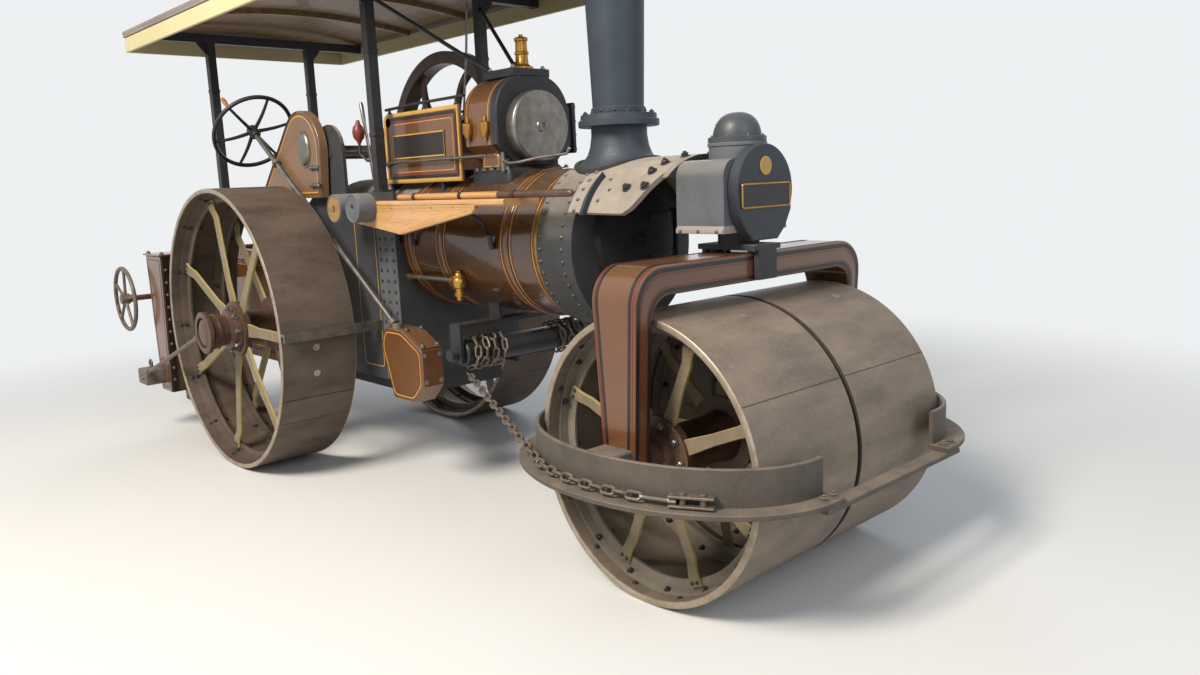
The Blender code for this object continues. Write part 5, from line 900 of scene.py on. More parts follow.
def forkPaths(steps=12):
    # outer and inner outline of the arch: leg, round corner, beam, then the mirror image
    look = forkLook
    sides = []
    for leg, beam in ((0, 0), (look["leg"], look["beam"])):
        y, top, r = look["outer"] - leg, look["top"] - beam, look["corner"] - leg / 2
        half = np.concatenate([[(y, z) for z in np.linspace(look["foot"], top - r, 8)[:-1]],
                               arc((y - r, top - r), r, 0, 90, steps)])
        sides.append(np.concatenate([half, half[::-1] * (-1, 1)]))
    return sides


def forkPieces():
    look = forkLook
    outside, inside = forkPaths()
    half = np.interp((outside[:, 1] + inside[:, 1]) / 2, [look["foot"], 1.2],
                     [look["halfLow"], look["halfHigh"]])
    x, e = look["x"], look["edge"]
    along = unit(outside - inside)
    rings = []
    for o, i, a, w in zip(outside, inside, along, half):
        o1, i1 = o - a * e, i + a * e
        ring = [(w - e, *o), (w, *o1), (w, *i1), (w - e, *i), (-w + e, *i), (-w, *i1), (-w, *o1),
                (-w + e, *o)]
        rings.append(np.array(ring) + (x, 0, 0))
    build("fork.frame", loft(rings), coachBrown, "front_fork", nodes=["fork"])
    reds, blacks = [], []
    for facing in (-1, 1):
        ahead = (facing, 0, 0)

        def faceLine(share):
            # line on the front or rear face, at a share of the way from the outer edge to the inner
            return np.column_stack([x + facing * half, outside + (inside - outside) * share])
        blacks += [ribbon(faceLine(share), 0.016, ahead, False) for share in (0.17, 0.85)]
        reds += [ribbon(faceLine(share), 0.0035, ahead, False) for share in (0.31, 0.73)]
        # and two on the outer face beside the corner
        edge = np.column_stack([x + facing * (half - 0.013), outside])
        normal = np.column_stack([0 * half, along])
        reds.append(ribbon(edge, 0.005, normal, False))
        blacks.append(ribbon(edge - (facing * 0.016, 0, 0), 0.014, normal, False))
    build("fork.redLines", reds, liningRed, "front_fork")
    build("fork.blackLines", blacks, liningBlackAndShade, "front_fork")
    # feet that reach the bows, hollowed by the roll's end
    feet = [slab((3.075, a, 0.5153), (3.225, b, 0.655), 0.006)
            for a, b in ((-0.852, -0.6455), (0.6455, 0.852))]
    build("fork.feet", feet, dustyBar, "front_fork")
    ahead, aside, z = look["swivelBolts"]
    places = [(x + a * ahead, b * aside, z) for a in (-1, 1) for b in (-1, 1)]
    build("steering_swivel.bolts", bolts(places, (0, 0, 1), 0.012), headGrey, "front_fork")


bowLook = {
    "x": 3.15, "long": 0.665, "start": 0.42, "deep": 0.455, "thick": 0.018, "ledge": 0.075, "bottom": 0.535,
    "top": 0.67, "ledgeLow": 0.515}


def bowCurve(grow, degrees, sign):
    # ellipse about the roll's end: x = (long + grow) cos a, y = side * (start + (deep + grow) sin a)
    look, a = bowLook, np.radians(degrees)
    return np.stack([look["x"] + (look["long"] + grow) * np.cos(a),
                     sign * (look["start"] + (look["deep"] + grow) * np.sin(a))], 1)


def bowPieces():
    look = bowLook
    bottom, top, low = look["bottom"], look["top"], look["ledgeLow"]
    shapes = []
    for sign in (-1, 1):
        turns = np.linspace(-4, 184, 96)
        outer, inner = bowCurve(0, turns, sign), bowCurve(-look["thick"], turns, sign)
        shapes.append(loft([[(*o, bottom + 0.0003), (*o, top - 0.004), (*(o * 0.8 + i * 0.2), top),
                             (*(o * 0.2 + i * 0.8), top), (*i, top - 0.004), (*i, bottom + 0.0003)]
                            for o, i in zip(outer, inner)]))
        turns = np.linspace(-6, 186, 96)
        outer, inner = bowCurve(look["ledge"], turns, sign), bowCurve(-look["thick"] / 2, turns, sign)
        shapes.append(loft([[(*o, low + 0.003), (*(o * 0.97 + i * 0.03), low), (*i, low), (*i, bottom),
                             (*(o * 0.97 + i * 0.03), bottom), (*o, bottom - 0.003)]
                            for o, i in zip(outer, inner)]))
    shapes.append(slab((3.824, -0.468, 0.4953), (3.89, 0.468, 0.5147), 0.002))
    build("steering_bows.bars", shapes, dustyBar, "front_fork", nodes=["steering_bows"])
    places = [(3.857, side * y, bottom + 0.0002) for side in (-1, 1) for y in (0.395, 0.45)]
    build("steering_bows.bolts", bolts(places, (0, 0, 1), 0.015), dustyBar, "front_fork")


headstockPieces()
forkPieces()
bowPieces()
print("headstock, fork and bows made")


# steering chain, barrel and column

chainLook = {
    "wire": 0.0062, "long": 0.036, "wide": 0.0195, "pitch": 0.052, "meet": 120.0, "z": 0.56, "coil": 0.088,
    "barrelX": 1.70, "barrelY": 0.382, "barrelZ": 0.80, "seat": 0.027, "screw": (69, 57),
    "clevis": (59.5, 45), "coilPath": 0.0775, "coilStep": 0.0558,
    "drum": ((-0.492, 0.0), (-0.492, 0.03), (-0.4195, 0.03), (-0.4185, 0.058), (-0.412, 0.066),
             (-0.402, 0.066), (-0.396, 0.0625), (0.396, 0.0625), (0.402, 0.066), (0.412, 0.066),
             (0.4185, 0.058), (0.4195, 0.03), (0.479, 0.03), (0.479, 0))}


def chainLink():
    # stadium ring: two half circles joined by straights, round wire carried round it
    look = chainLook
    r = look["wide"] - look["wire"]
    s = look["long"] - look["wide"]
    a = np.radians(np.linspace(-90, 90, 7))
    right = np.stack([s + r * np.cos(a), r * np.sin(a), 0 * a], 1)
    path = np.concatenate([right, right * (-1, -1, 1)])
    return tube(path, look["wire"], (0, 0, 1), 7, True)


def linksAlong(path, first=0):
    # links every pitch along a path, each turned a quarter against the last
    path = np.asarray(path, float)
    gone = np.concatenate([[0], np.cumsum(np.linalg.norm(np.diff(path, axis=0), axis=1))])
    count = int(gone[-1] / chainLook["pitch"])
    at = (np.arange(count) + 0.5) * gone[-1] / count

    def spotAt(q):
        return np.stack([np.interp(q, gone, path[:, i]) for i in range(3)], 1)
    places = spotAt(at)
    ahead = unit(spotAt(np.minimum(at + 0.004, gone[-1])) - spotAt(np.maximum(at - 0.004, 0)))
    flatZ = unit(np.cross(ahead, acrossOf(ahead)))
    side = np.cross(ahead, flatZ)
    turnBy = np.radians(np.where((np.arange(count) + first) % 2, 48, -42))[:, None]
    return copies(chainLink(), places, flatZ * np.cos(turnBy) + side * np.sin(turnBy), ahead)


def chainPieces():
    look = chainLook
    z, seat, meet = look["z"], look["seat"], look["meet"]

    def onLedge(start, stop, count, height=z):
        # path along the ledge of a bow between two angles
        return np.column_stack([bowCurve(seat, np.linspace(start, stop, count), sign),
                                np.full(count, height)])
    for side, sign in (("right", -1), ("left", 1)):
        end = np.array([*bowCurve(0.025, [meet], sign)[0], z])
        reach = look["coil"] + 0.0196
        pitch = math.atan2(look["barrelZ"] - reach - z, end[0] - look["barrelX"])
        below = np.array([look["barrelX"], sign * look["barrelY"], look["barrelZ"] - reach / math.cos(pitch)])
        begin = below - (end - below) * (reach * math.sin(pitch) / (end[0] - look["barrelX"]))
        build(f"chain_run_{side}.links", linksAlong([begin, begin * 0.02 + end * 0.98]), oxideIron,
              f"chain_{side}", nodes=[f"chain_run_{side}"])
        build(f"chain_wrap_{side}.links", linksAlong(onLedge(meet, look["screw"][0], 30, z - 0.001), 1),
              oxideIron, "front_fork", nodes=[f"chain_wrap_{side}"])
        thread = np.where(np.arange(34) % 2, 1.0, 0.9)
        shapes = [tube(onLedge(*look["screw"], 12), 0.0085, sides=14),
                  tube(onLedge(68, 60, 34), 0.0097, taper=thread)]
        build(f"chain_wrap_{side}.screw", shapes, oiledSteel, "front_fork")
        # clevis: two cheeks, the nut between them and two cross pins
        a, b = onLedge(*look["clevis"], 2)
        cheeks = [bar(a + (0, 0, rise * 0.017), b + (0, 0, rise * 0.017), 0.042, 0.009)
                  for rise in (-0.9, 1.1)]
        along = unit(b - a)
        cheeks.append(lathe([(-0.014, 0.0), (-0.014, 0.0165), (0.014, 0.0165), (0.014, 0)], a + along * 0.012,
                            along, 6))
        pin = [(-0.019, 0.0), (-0.019, 0.012), (0.029, 0.012), (0.031, 0.009), (0.031, 0)]
        cheeks += [lathe(pin, a + (b - a) * share, steps=14) for share in (0.3, 0.75)]
        build(f"chain_wrap_{side}.clevis", cheeks, oxideIron, "front_fork")


def barrelPieces():
    look = chainLook
    x, y, z, r = look["barrelX"], look["barrelY"], look["barrelZ"], look["coilPath"]
    build("chain_barrel.drum", lathe(look["drum"], (x, 0, z), (0, 1, 0), 48), shopBlack, "steering_barrel",
          nodes=["chain_barrel"])
    coils = []
    for sign in (-1, 1):
        # helix of chain, four turns from the outside in
        t = np.linspace(-np.pi / 2, -np.pi / 2 + 8 * np.pi, 200)
        across = sign * (y - look["coilStep"] * (t - t[0]) / (2 * np.pi))
        coils.append(linksAlong(np.stack([x + r * np.cos(t), across, z + r * np.sin(t)], 1)))
    build("chain_barrel.coils", coils, oxideIron, "steering_barrel")


def wheelShapes(centre, axis, radius, wire, spokes, phase=0.0, dish=0.0):
    # rim and arms of a hand wheel; arms curve back from the hub to the rim by the dish
    rim, _ = around(centre, axis, radius, 96)
    shapes = [tube(rim, wire, axis, 12, True)]
    _, ways = around((0, 0, 0), axis, 1.0, spokes, phase)
    s = np.linspace(0, 1, 10)[:, None]
    for way in ways:
        path = np.asarray(centre) + way * (0.02 + (radius - 0.02) * s) + unit(axis) * dish * np.sin(s * np.pi)
        shapes.append(tube(path, wire * 0.8, axis, 10, taper=np.linspace(1.15, 0.8, 10)))
    return shapes


columnLook = {
    "hub": (-0.38, -0.492, 2.03), "low": (1.22, -0.492, 0.9003), "long": 1.955, "radius": 0.25, "wire": 0.013,
    "spokes": 6, "phase": 0.3, "collars": (0.35, 1.9)}


def columnPieces():
    look = columnLook
    hub, long = np.array(look["hub"]), look["long"]
    along = unit(np.array(look["low"]) - hub)
    build("steering_column.shaft", lathe([(0, 0.0), (0, 0.016), (long, 0.016), (long, 0)], hub, along, 20),
          oiledSteel, nodes=["steering_column"])
    boss = [(-0.04, 0), (-0.04, 0.016), (-0.034, 0.022), (-0.03, 0.034), (0.03, 0.036), (0.036, 0.028),
            (0.05, 0.024), (0.05, 0.0165)]
    wheel = wheelShapes(hub, along, look["radius"], look["wire"], look["spokes"], look["phase"], 0.012)
    build("steering_column.wheel", wheel + [lathe(boss, hub, along, 28)], shopBlack)
    # spinner handle on the rim
    places, _ = around(hub, along, look["radius"], look["spokes"], look["phase"])
    grip = [(-0.013, 0), (-0.013, 0.007), (-0.03, 0.007), (-0.035, 0.012), (-0.07, 0.016), (-0.1, 0.013),
            (-0.108, 0.006), (-0.108, 0)]
    build("steering_column.grip", lathe(grip, places[2], along, 20), varnishedOak)
    collars = [lathe([(a, 0.0163), (a, 0.026), (a + 0.03, 0.026), (a + 0.03, 0.0163)], hub, along, 20,
                     loop=True) for a in look["collars"]]
    build("steering_column.collars", collars, oxideIron)


caseLook = {
    "outline": ((1.195, 0.52), (1.405, 0.52), (1.5, 0.615), (1.5, 0.805), (1.31, 0.9), (1.1475, 0.9),
                (1.1, 0.805)), "outer": -0.53, "inner": -0.4003,
    "lid": ((1.5, -0.465, 0.805), (1.31, -0.465, 0.9)), "lidWide": 0.118, "gland": (1.217, -0.492, 0.9)}


def casePieces():
    look = caseLook
    points, level = np.array(look["outline"]), look["outer"]
    build("worm_case.casting", plate(points, "xz", level, look["inner"], 0.006), coachBrown,
          nodes=["worm_case"])
    build("worm_case.goldLine", lining(points, "xz", level, -1, [(0.022, 0.006, 0.03)]), liningGold)
    build("worm_case.redLine", lining(points, "xz", level, -1, [(0.034, 0.004, 0.03)]), liningRed)
    # lid over the sloping front, with its bolts
    a, b = np.array(look["lid"])
    normal = unit(np.array([b[2] - a[2], 0, a[0] - b[0]]))
    lift, trim = normal * 0.0055, (b - a) * 0.05
    build("worm_case.lid", bar(a + lift + trim, b + lift - trim, look["lidWide"], 0.01, normal), coachBrown)
    places = [a + (b - a) * share + (0, y, 0) + normal * 0.0106 for share in (0.12, 0.88)
              for y in (-0.045, 0.045)]
    front = [(1.5003, y, z) for y in (-0.51, -0.42) for z in (0.64, 0.78)]
    build("worm_case.bolts", [bolts(places, normal, 0.011), bolts(front, (1, 0, 0), 0.011)], oiledSteel)
    gland = [(0.0003, 0.0), (0.0003, 0.03), (0.02, 0.028), (0.026, 0.022), (0.026, 0)]
    build("worm_case.gland", lathe(gland, look["gland"], steps=24), oxideIron)


chainPieces()
barrelPieces()
columnPieces()
casePieces()
print("steering gear made")


# cylinder and motion

motionOutline = np.concatenate([[(0.84, 1.66), (1.579, 1.66), (1.579, 2.045)],
                                arc((0.89, 1.995), 0.05, 90, 180, 8)])
cylinderLook = {
    "half": 0.235, "bottom": 1.74, "top": 2.17, "round": 0.188, "foot": 0.6, "knee": 0.09,
    "laggingIn": -0.006, "goldX": (1.604, 1.786), "archOuter": 0.186, "archInner": 0.166,
    "saddleSeat": 0.3628, "cupX": (1.628, 1.772),
    "cover": ((1.8603, 0), (1.8603, 0.178), (1.908, 0.178), (1.914, 0.176), (1.919, 0.17), (1.9203, 0.16),
              (1.9195, 0.03), (1.925, 0.027), (1.927, 0.02), (1.922, 0.012), (1.922, 0)),
    "saddle": ((1.6, 1.585, 1.90, 0.205), (1.69, 1.585, 1.90, 0.205), (1.705, 1.59, 1.895, 0.2),
               (1.712, 1.61, 1.86, 0.182), (1.73, 1.622, 1.845, 0.17), (1.765, 1.62, 1.85, 0.165),
               (1.79, 1.61, 1.855, 0.17)), "plug": ((2.2003, 0.0), (2.2003, 0.032), (2.209, 0.032),
                                                    (2.212, 0.02), (2.235, 0.018), (2.238, 0.022),
                                                    (2.25, 0.022), (2.255, 0.012), (2.255, 0)),
    "valve": ((2.2003, 0), (2.2003, 0.057), (2.21, 0.057), (2.213, 0.052), (2.22, 0.04), (2.228, 0.034),
              (2.27, 0.031), (2.274, 0.036), (2.282, 0.037), (2.286, 0.031), (2.335, 0.029), (2.338, 0.034),
              (2.349, 0.036), (2.354, 0.032), (2.36, 0.012), (2.37, 0.01), (2.37, 0)),
    "cup": ((1.87, 0.0), (1.87, 0.016), (1.874, 0.018), (1.9, 0.026), (1.94, 0.026), (1.945, 0.02),
            (1.95, 0.008), (1.97, 0.008), (1.973, 0)),
    "drain": ((1.83, -0.2, 1.775), (1.87, -0.215, 1.75), (1.93, -0.225, 1.735), (1.99, -0.21, 1.738),
              (2.1, -0.17, 1.755), (2.25, -0.13, 1.765), (2.262, -0.125, 1.79)),
    "drainCock": ((1.70, 0), (1.70, 0.011), (1.79, 0.009), (1.79, 0))}


def cylinderSection(grow=0.0):
    # outline across the block: narrow foot, upright sides, round top
    look = cylinderLook
    half, low, top, r = look["half"] + grow, look["bottom"], look["top"] + grow, look["round"] + grow
    toe, knee = half * look["foot"], low + look["knee"]
    return np.concatenate([[(toe, low), (half, knee)], arc((half - r, top - r), r, 0, 90, 14),
                           arc((-half + r, top - r), r, 90, 180, 14), [(-half, knee), (-toe, low)]])


def cylinderPieces():
    look = cylinderLook
    up, ahead, trim = (0, 0, 1), (1, 0, 0), look["laggingIn"]
    build("cylinder_block.lagging", plate(cylinderSection(trim), "yz", 1.5803, 1.806, 0.004), coachBrown,
          nodes=["cylinder_block"])
    build("cylinder_block.frontFlange", plate(cylinderSection(), "yz", 1.8065, 1.86, 0.005), shopBlack)
    section = cylinderSection(trim)[1:-1]
    edge = unit(np.gradient(section, axis=0))
    normal = np.column_stack([np.zeros(len(section)), edge[:, 1], -edge[:, 0]])
    lines = [ribbon(flat(section, "yz", x), 0.005, normal, False) for x in look["goldX"]]
    build("cylinder_block.goldLines", lines, liningGold)
    build("cylinder_cover.disc", lathe(look["cover"], (0, 0, 1.915), ahead, 96), oiledSteel,
          nodes=["cylinder_cover"])
    # saddle under the block: waisted casting whose lowest ring lies on the boiler
    rings = []
    for z, x0, x1, y in look["saddle"]:
        q = rounded([(x0, -y), (x1, -y), (x1, y), (x0, y)], 0.02, 5)
        onBoiler = boilerLook["z"] + np.sqrt(look["saddleSeat"] ** 2 - q[:, 1] ** 2)
        rings.append(np.column_stack([q, onBoiler if z == look["saddle"][0][0] else np.full(len(q), z)]))
    build("cylinder_block.saddle", loft(rings), shopBlack)
    places = [(x, s * 0.193, 1.7055) for x in np.linspace(1.62, 1.87, 5) for s in (-1, 1)]
    build("cylinder_block.saddleBolts", bolts(places, up, 0.013), oiledSteel)
    # lined arch panel on the saddle's sides
    arch = np.concatenate([[(1.66, 1.715), (1.81, 1.715)], arc((1.735, 1.735), 0.075, 0, 180, 12)])
    for side, letter in ((-1, "R"), (1, "L")):
        level = side * look["archOuter"]
        levels = sorted((side * look["archInner"], level))
        build("cylinder_block.archPanel" + letter, plate(arch, "xz", *levels, 0.003), coachBrown)
        build("cylinder_block.archLine" + letter, lining(arch, "xz", level, side, [(0.012, 0.004, 0)]),
              liningGold)
    top = [slab((1.62, -0.12, 2.158), (1.86, 0.12, 2.2), 0.004), lathe(look["plug"], (1.67, 0.06, 0), up, 24)]
    build("cylinder_block.topPlate", top, shopBlack)
    places = [(x, y, 2.2003) for x in (1.645, 1.835) for y in (-0.095, 0.095)]
    build("cylinder_block.topBolts", bolts(places, up, 0.012), oiledSteel)
    chest = [slab((1.64, 0.19, 1.80), (1.8, 0.318, 2.03), 0.008),
             slab((1.625, 0.3, 1.785), (1.815, 0.3245, 2.045), 0.005)]
    build("cylinder_block.valveChest", chest, shopBlack)
    places = [(x, 0.3247, z) for xs, zs in (((1.645, 1.72, 1.795), (1.805, 2.025)),
                                            ((1.645, 1.795), (1.88, 1.95))) for x in xs for z in zs]
    build("cylinder_block.chestBolts", bolts(places, (0, 1, 0), 0.01), oiledSteel)
    # brass safety valve: flanged foot, pillar with beads, spring cap
    build("safety_valve.body", lathe(look["valve"], (1.79, 0, 0), up, 40), brass, nodes=["safety_valve"])
    # oil cups on their arms, and the drain lever, on the right
    cups = [lathe(look["cup"], (x, -0.242, 0), up, 24) for x in look["cupX"]]
    build("cylinder_block.oilCups", cups, brass)
    arms = [tube([(x, -0.225, 1.86), (x, -0.242, 1.855), (x, -0.242, 1.872)], 0.008, ahead, 10)
            for x in look["cupX"]]
    build("cylinder_block.cupArms", arms, oiledSteel)
    path = np.array(look["drain"])
    smooth = np.stack([np.interp(np.linspace(0, 6, 30), np.arange(7), path[:, i]) for i in range(3)], 1)
    drain = [tube(smooth, 0.0075, up, 10), lathe(look["drainCock"], (1.87, -0.216, 0), up, 14)]
    build("cylinder_block.drainLever", drain, oiledSteel)


motionLook = {
    "level": 0.2572, "plate": (0.243, 0.257), "lines": ((0.034, 0.016), (0.05, 0.007), (0.062, 0.004)),
    "bead": ((-0.012, 0), (0.012, 0), (0.01, 0.004), (0.004, 0.0065), (-0.004, 0.0065), (-0.01, 0.004)),
    "blank": ((0.935, 1.795), (1.44, 1.795), (1.44, 1.925), (0.935, 1.925)),
    "post": ((2.045, 0), (2.045, 0.012), (2.052, 0.012), (2.055, 0.007), (2.078, 0.007), (2.078, 0)),
    "grip": ((0, 0), (0, 0.01), (0.03, 0.012), (0.1, 0.013), (0.12, 0.008), (0.12, 0)),
    "bottle": ((0, 0), (0, 0.012), (0.01, 0.014), (0.03, 0.03), (0.06, 0.036), (0.09, 0.03), (0.11, 0.014),
               (0.13, 0.01), (0.13, 0))}


def motionPieces():
    look = motionLook
    up, outline = (0, 0, 1), motionOutline
    for name, sign in (("right", -1), ("left", 1)):
        a, b = sorted(sign * y for y in look["plate"])
        build(f"motion_plates.{name}", plate(outline, "xz", a, b, 0.002), coachBrown,
              nodes=["motion_plates"] if sign < 0 else ())
        level = sign * look["level"]
        edge = sweep(flat(inset(outline, 0.012), "xz", level), look["bead"], (0, sign, 0), True)
        build(f"motion_plates.{name}Bead", edge, liningGold)
        for (distance, wide), ink, finish in zip(look["lines"], ("Black", "Red", "Gold"),
                                                 (liningBlackAndShade, liningRed, liningGold)):
            line = lining(outline, "xz", level, sign, [(distance, wide, 0.02)])
            build(f"motion_plates.{name}{ink}", line, finish)
    blank = np.array(look["blank"])
    build("motion_plates.blankPlate", plate(blank, "xz", -0.2612, -0.2576, 0.001), liningBlackAndShade)
    rim = [(-0.004, 0), (0.004, 0), (0.003, 0.002), (-0.003, 0.002)]
    build("motion_plates.blankEdge", sweep(flat(inset(blank, 0.004), "xz", -0.2613), rim, (0, -1, 0), True),
          liningGold)
    # cross plates, their feet drawn to the boiler
    cross = [slab((1.357, -0.243, 1.6), (1.377, 0.243, 1.72), 0.002),
             slab((0.8405, -0.243, 1.6), (0.8605, 0.243, 1.72), 0.002)]
    for points, _, _ in cross:
        low = points[:, 2] < 1.65
        points[low, 2] = boilerLook["z"] + np.sqrt(0.3625 ** 2 - points[low, 1] ** 2)
    build("motion_plates.cross", cross, shopBlack)
    # rails over the plates, and the drain rod beside them
    rails = [tube([(0.86, s * 0.25, 2.07), (1.2, s * 0.25, 2.08), (1.60, s * 0.235, 2.085)], 0.008, up, 10)
             for s in (-1, 1)]
    posts = [lathe(look["post"], (x, s * 0.25, 0), up, 14) for x in (0.9, 1.25, 1.55) for s in (-1, 1)]
    build("motion_plates.rails", rails + posts, shopBlack)
    rod = [lathe([(0.72, 0), (0.72, 0.0075), (1.83, 0.0075), (1.83, 0)], (0, -0.282, 1.777), (1, 0, 0), 12)]
    eye = [(0.0, 0.0), (0.0, 0.014), (0.025, 0.01), (0.028, 0)]
    rod += [lathe(eye, (x, -0.2575, 1.777), (0, -1, 0), 14) for x in (0.9, 1.5, 1.76)]
    build("motion_plates.drainRod", rod, oiledSteel)
    lever = [bar((0.765, -0.3, 1.655), (0.70, -0.3, 2.02), 0.022, 0.009, (0, -1, 0)),
             lathe(look["grip"], (0.70, -0.3, 2.01), unit((-0.18, 0, 1)), 18)]
    build("motion_plates.lever", lever, oiledSteel)
    build("motion_plates.oilBottle", lathe(look["bottle"], (0.66, -0.32, 1.9), up, 28), liningRed)
    arm = [(0.66, -0.32, 1.9), (0.66, -0.32, 1.84), (0.7, -0.3, 1.80), (0.84, -0.26, 1.80)]
    build("motion_plates.bottleArm", tube(arm, 0.008, (0, 1, 0), 10), shopBlack)


flywheelLook = {
    "centre": (0.44, 0.461, 1.86), "arms": 6, "reach": (0.09, 0.56), "bend": 0.18, "oval": (0.035, 0.018),
    "rim": ((-0.055, 0.62), (-0.05, 0.62), (0.05, 0.62), (0.055, 0.62), (0.055, 0.55), (0.05, 0.545),
            (-0.05, 0.545), (-0.055, 0.55)), "hub": ((-0.055, 0.0405), (-0.055, 0.1), (-0.05, 0.105),
                                                     (0.05, 0.105), (0.055, 0.1), (0.055, 0.0405)),
    "lines": (0.562, 0.608), "line": ((0.0552, -0.003), (0.0552, 0.003), (0.056, 0.003), (0.056, -0.003))}


def flywheelPieces():
    look = flywheelLook
    centre, axle, count = look["centre"], (0, 1, 0), look["arms"]
    shapes = [lathe(look["rim"], centre, axle, 144, loop=True),
              lathe(look["hub"], centre, axle, 48, loop=True)]
    s = np.linspace(0, 1, 14)
    t = np.linspace(0, 2 * np.pi, 14, endpoint=False)
    section = np.stack([look["oval"][0] * np.cos(t), look["oval"][1] * np.sin(t)], 1)
    near, far = look["reach"]
    for k in range(count):
        # arm: oval section along a line that sweeps round on its way out
        turn = 2 * np.pi * k / count + look["bend"] * np.sin(s * np.pi)
        reach = near + (far - near) * s
        path = np.stack([centre[0] + reach * np.cos(turn), centre[1] + 0 * s,
                         centre[2] + reach * np.sin(turn)], 1)
        shapes.append(sweep(path, section, axle, taper=np.interp(s, [0, 0.5, 1], [1.1, 0.9, 1.05])))
    build("flywheel.wheel", shapes, hubEnamel, "crank", nodes=["flywheel"])
    lines = [lathe([(a, r + b) for a, b in look["line"]], centre, axle, 144, loop=True)
             for r in look["lines"]]
    build("flywheel.goldLines", lines, liningGold, "crank")


cylinderPieces()
motionPieces()
flywheelPieces()
print("cylinder and motion made")


# gear guard, side plates and firebox

guardLook = {
    "rear": -0.36, "bottom": 1.60, "arch": (0.216, 1.875), "radius": 0.24, "lean": 0.035, "heel": 1.66,
    "tangent": 131.9, "outer": -0.468, "inner": -0.4123}


def guardPieces():
    look = guardLook
    toe = look["arch"][0] + look["radius"] - look["lean"]
    crown = arc(look["arch"], look["radius"], 0, look["tangent"], 28)
    outline = np.concatenate([[(look["rear"], look["bottom"]), (toe, look["bottom"])], crown,
                              [(look["rear"], look["heel"])]])
    level = look["outer"]
    build("gear_guard.casing", plate(outline, "xz", level, look["inner"], 0.004), guardTan,
          nodes=["gear_guard"])
    bead = [(-0.005, 0), (0.005, 0), (0.0045, 0.003), (0.002, 0.0045), (-0.002, 0.0045), (-0.0045, 0.003)]
    inner = inset(outline, 0.007)
    build("gear_guard.steelEdge", sweep(flat(inner[1:22], "xz", level), bead, (0, -1, 0)), oiledSteel)
    slope = np.concatenate([inner[22:], inner[:1]])
    build("gear_guard.darkEdge", sweep(flat(slope, "xz", level), bead, (0, -1, 0)), liningBlackAndShade)
    build("gear_guard.redLine", lining(outline, "xz", level, -1, [(0.02, 0.006, 0)]), liningRed)
    build("gear_guard.goldLine", lining(outline, "xz", level, -1, [(0.032, 0.008, 0)]), liningGold)
    # bearing cover: an upright oval dome on the outer face, its foot flange bolted
    rings = []
    for share, lift in ((1.12, 0), (1.12, 0.004), (1.02, 0.004), (0.98, 0.009), (0.85, 0.015), (0.6, 0.0185),
                        (0.25, 0.0197)):
        t = np.linspace(0, 2 * np.pi, 48, endpoint=False)
        rings.append(np.stack([0.262 + 0.068 * share * np.cos(t), 0 * t + level - touch - lift,
                               1.888 + 0.098 * share * np.sin(t)], 1))
    build("gear_guard.bearingCover", loft(rings), oiledSteel)
    foot = slab((0.066, -0.4283, 1.6003), (0.366, -0.4003, 1.6197), 0.002)
    build("gear_guard.foot", foot, shopBlack)
    arms = []
    for z in (1.775, 1.672):
        arms.append(lathe([(0, 0), (0, 0.009), (0.075, 0.009), (0.078, 0.014), (0.105, 0.014), (0.108, 0.009),
                           (0.108, 0)], (0.33, level - 0.0098, z), (1, 0, 0), 20))
        arms.append(lathe([(0, 0.0), (0, 0.016), (0.01, 0.014), (0.0105, 0)], (0.345, level - touch, z),
                          (0, -1, 0), 18))
    build("gear_guard.brackets", arms, oiledSteel)
    foot = np.linspace((look["rear"] + 0.05, look["bottom"] + 0.012), (toe - 0.04, look["bottom"] + 0.012), 9)
    build("gear_guard.rivets", rivets(flat(foot, "xz", level), (0, -1, 0), 0.005), brass)


trimLook = {
    "y": 0.4003, "strap": (0.925, 1.1193, 0.57, 1.535), "strapThick": 0.007, "rivetX": (0.955, 1.02, 1.09),
    "crank": (0.44, 1.86), "inside": 0.3797, "boltRing": (0.3795, 0.108, 8),
    "bearing": ((0.0, 0.0415), (0.0, 0.085), (0.024, 0.085), (0.028, 0.08), (0.028, 0.0415)),
    "goldLine": ((0.66, 0.62), (0.9, 0.62), (0.9, 1.545), (0.66, 1.545))}


def plateTrim():
    look = trimLook
    rear, front, bottom, top = look["strap"]
    x, z = look["crank"]
    for side, sign in (("right", -1), ("left", 1)):
        y, inward = sign * look["y"], (0, -sign, 0)
        low, high = sorted((y, y + sign * look["strapThick"]))
        build(f"hornplate_{side}.frontStrap", slab((rear, low, bottom), (front, high, top), 0.002), headGrey)
        places = [(at, y + sign * 0.0072, level) for at in look["rivetX"]
                  for level in np.arange(0.61, 1.52, 0.058)]
        build(f"hornplate_{side}.rivets", rivets(places, (0, sign, 0), 0.0105), shopBlack)
        ring = lathe(look["bearing"], (x, sign * look["inside"], z), inward, 48, loop=True)
        build(f"hornplate_{side}.bearing", ring, brass)
        at, r, count = look["boltRing"]
        places, _ = around((x, sign * at, z), inward, r, count)
        edge = [(at, sign * look["inside"], 1.595) for at in np.arange(0.66, 1.1, 0.07)]
        fastenings = [bolts(places, inward, 0.011), rivets(edge, inward, 0.01)]
        build(f"hornplate_{side}.innerBolts", fastenings, shopBlack)
    # upright gold line down each flank behind the strap
    for side, sign in (("right", -1), ("left", 1)):
        line = lining(look["goldLine"], "xz", sign * 0.4, sign, [(0.01, 0.005, 0.03)])
        build(f"hornplate_{side}.goldLine", line, liningGold)


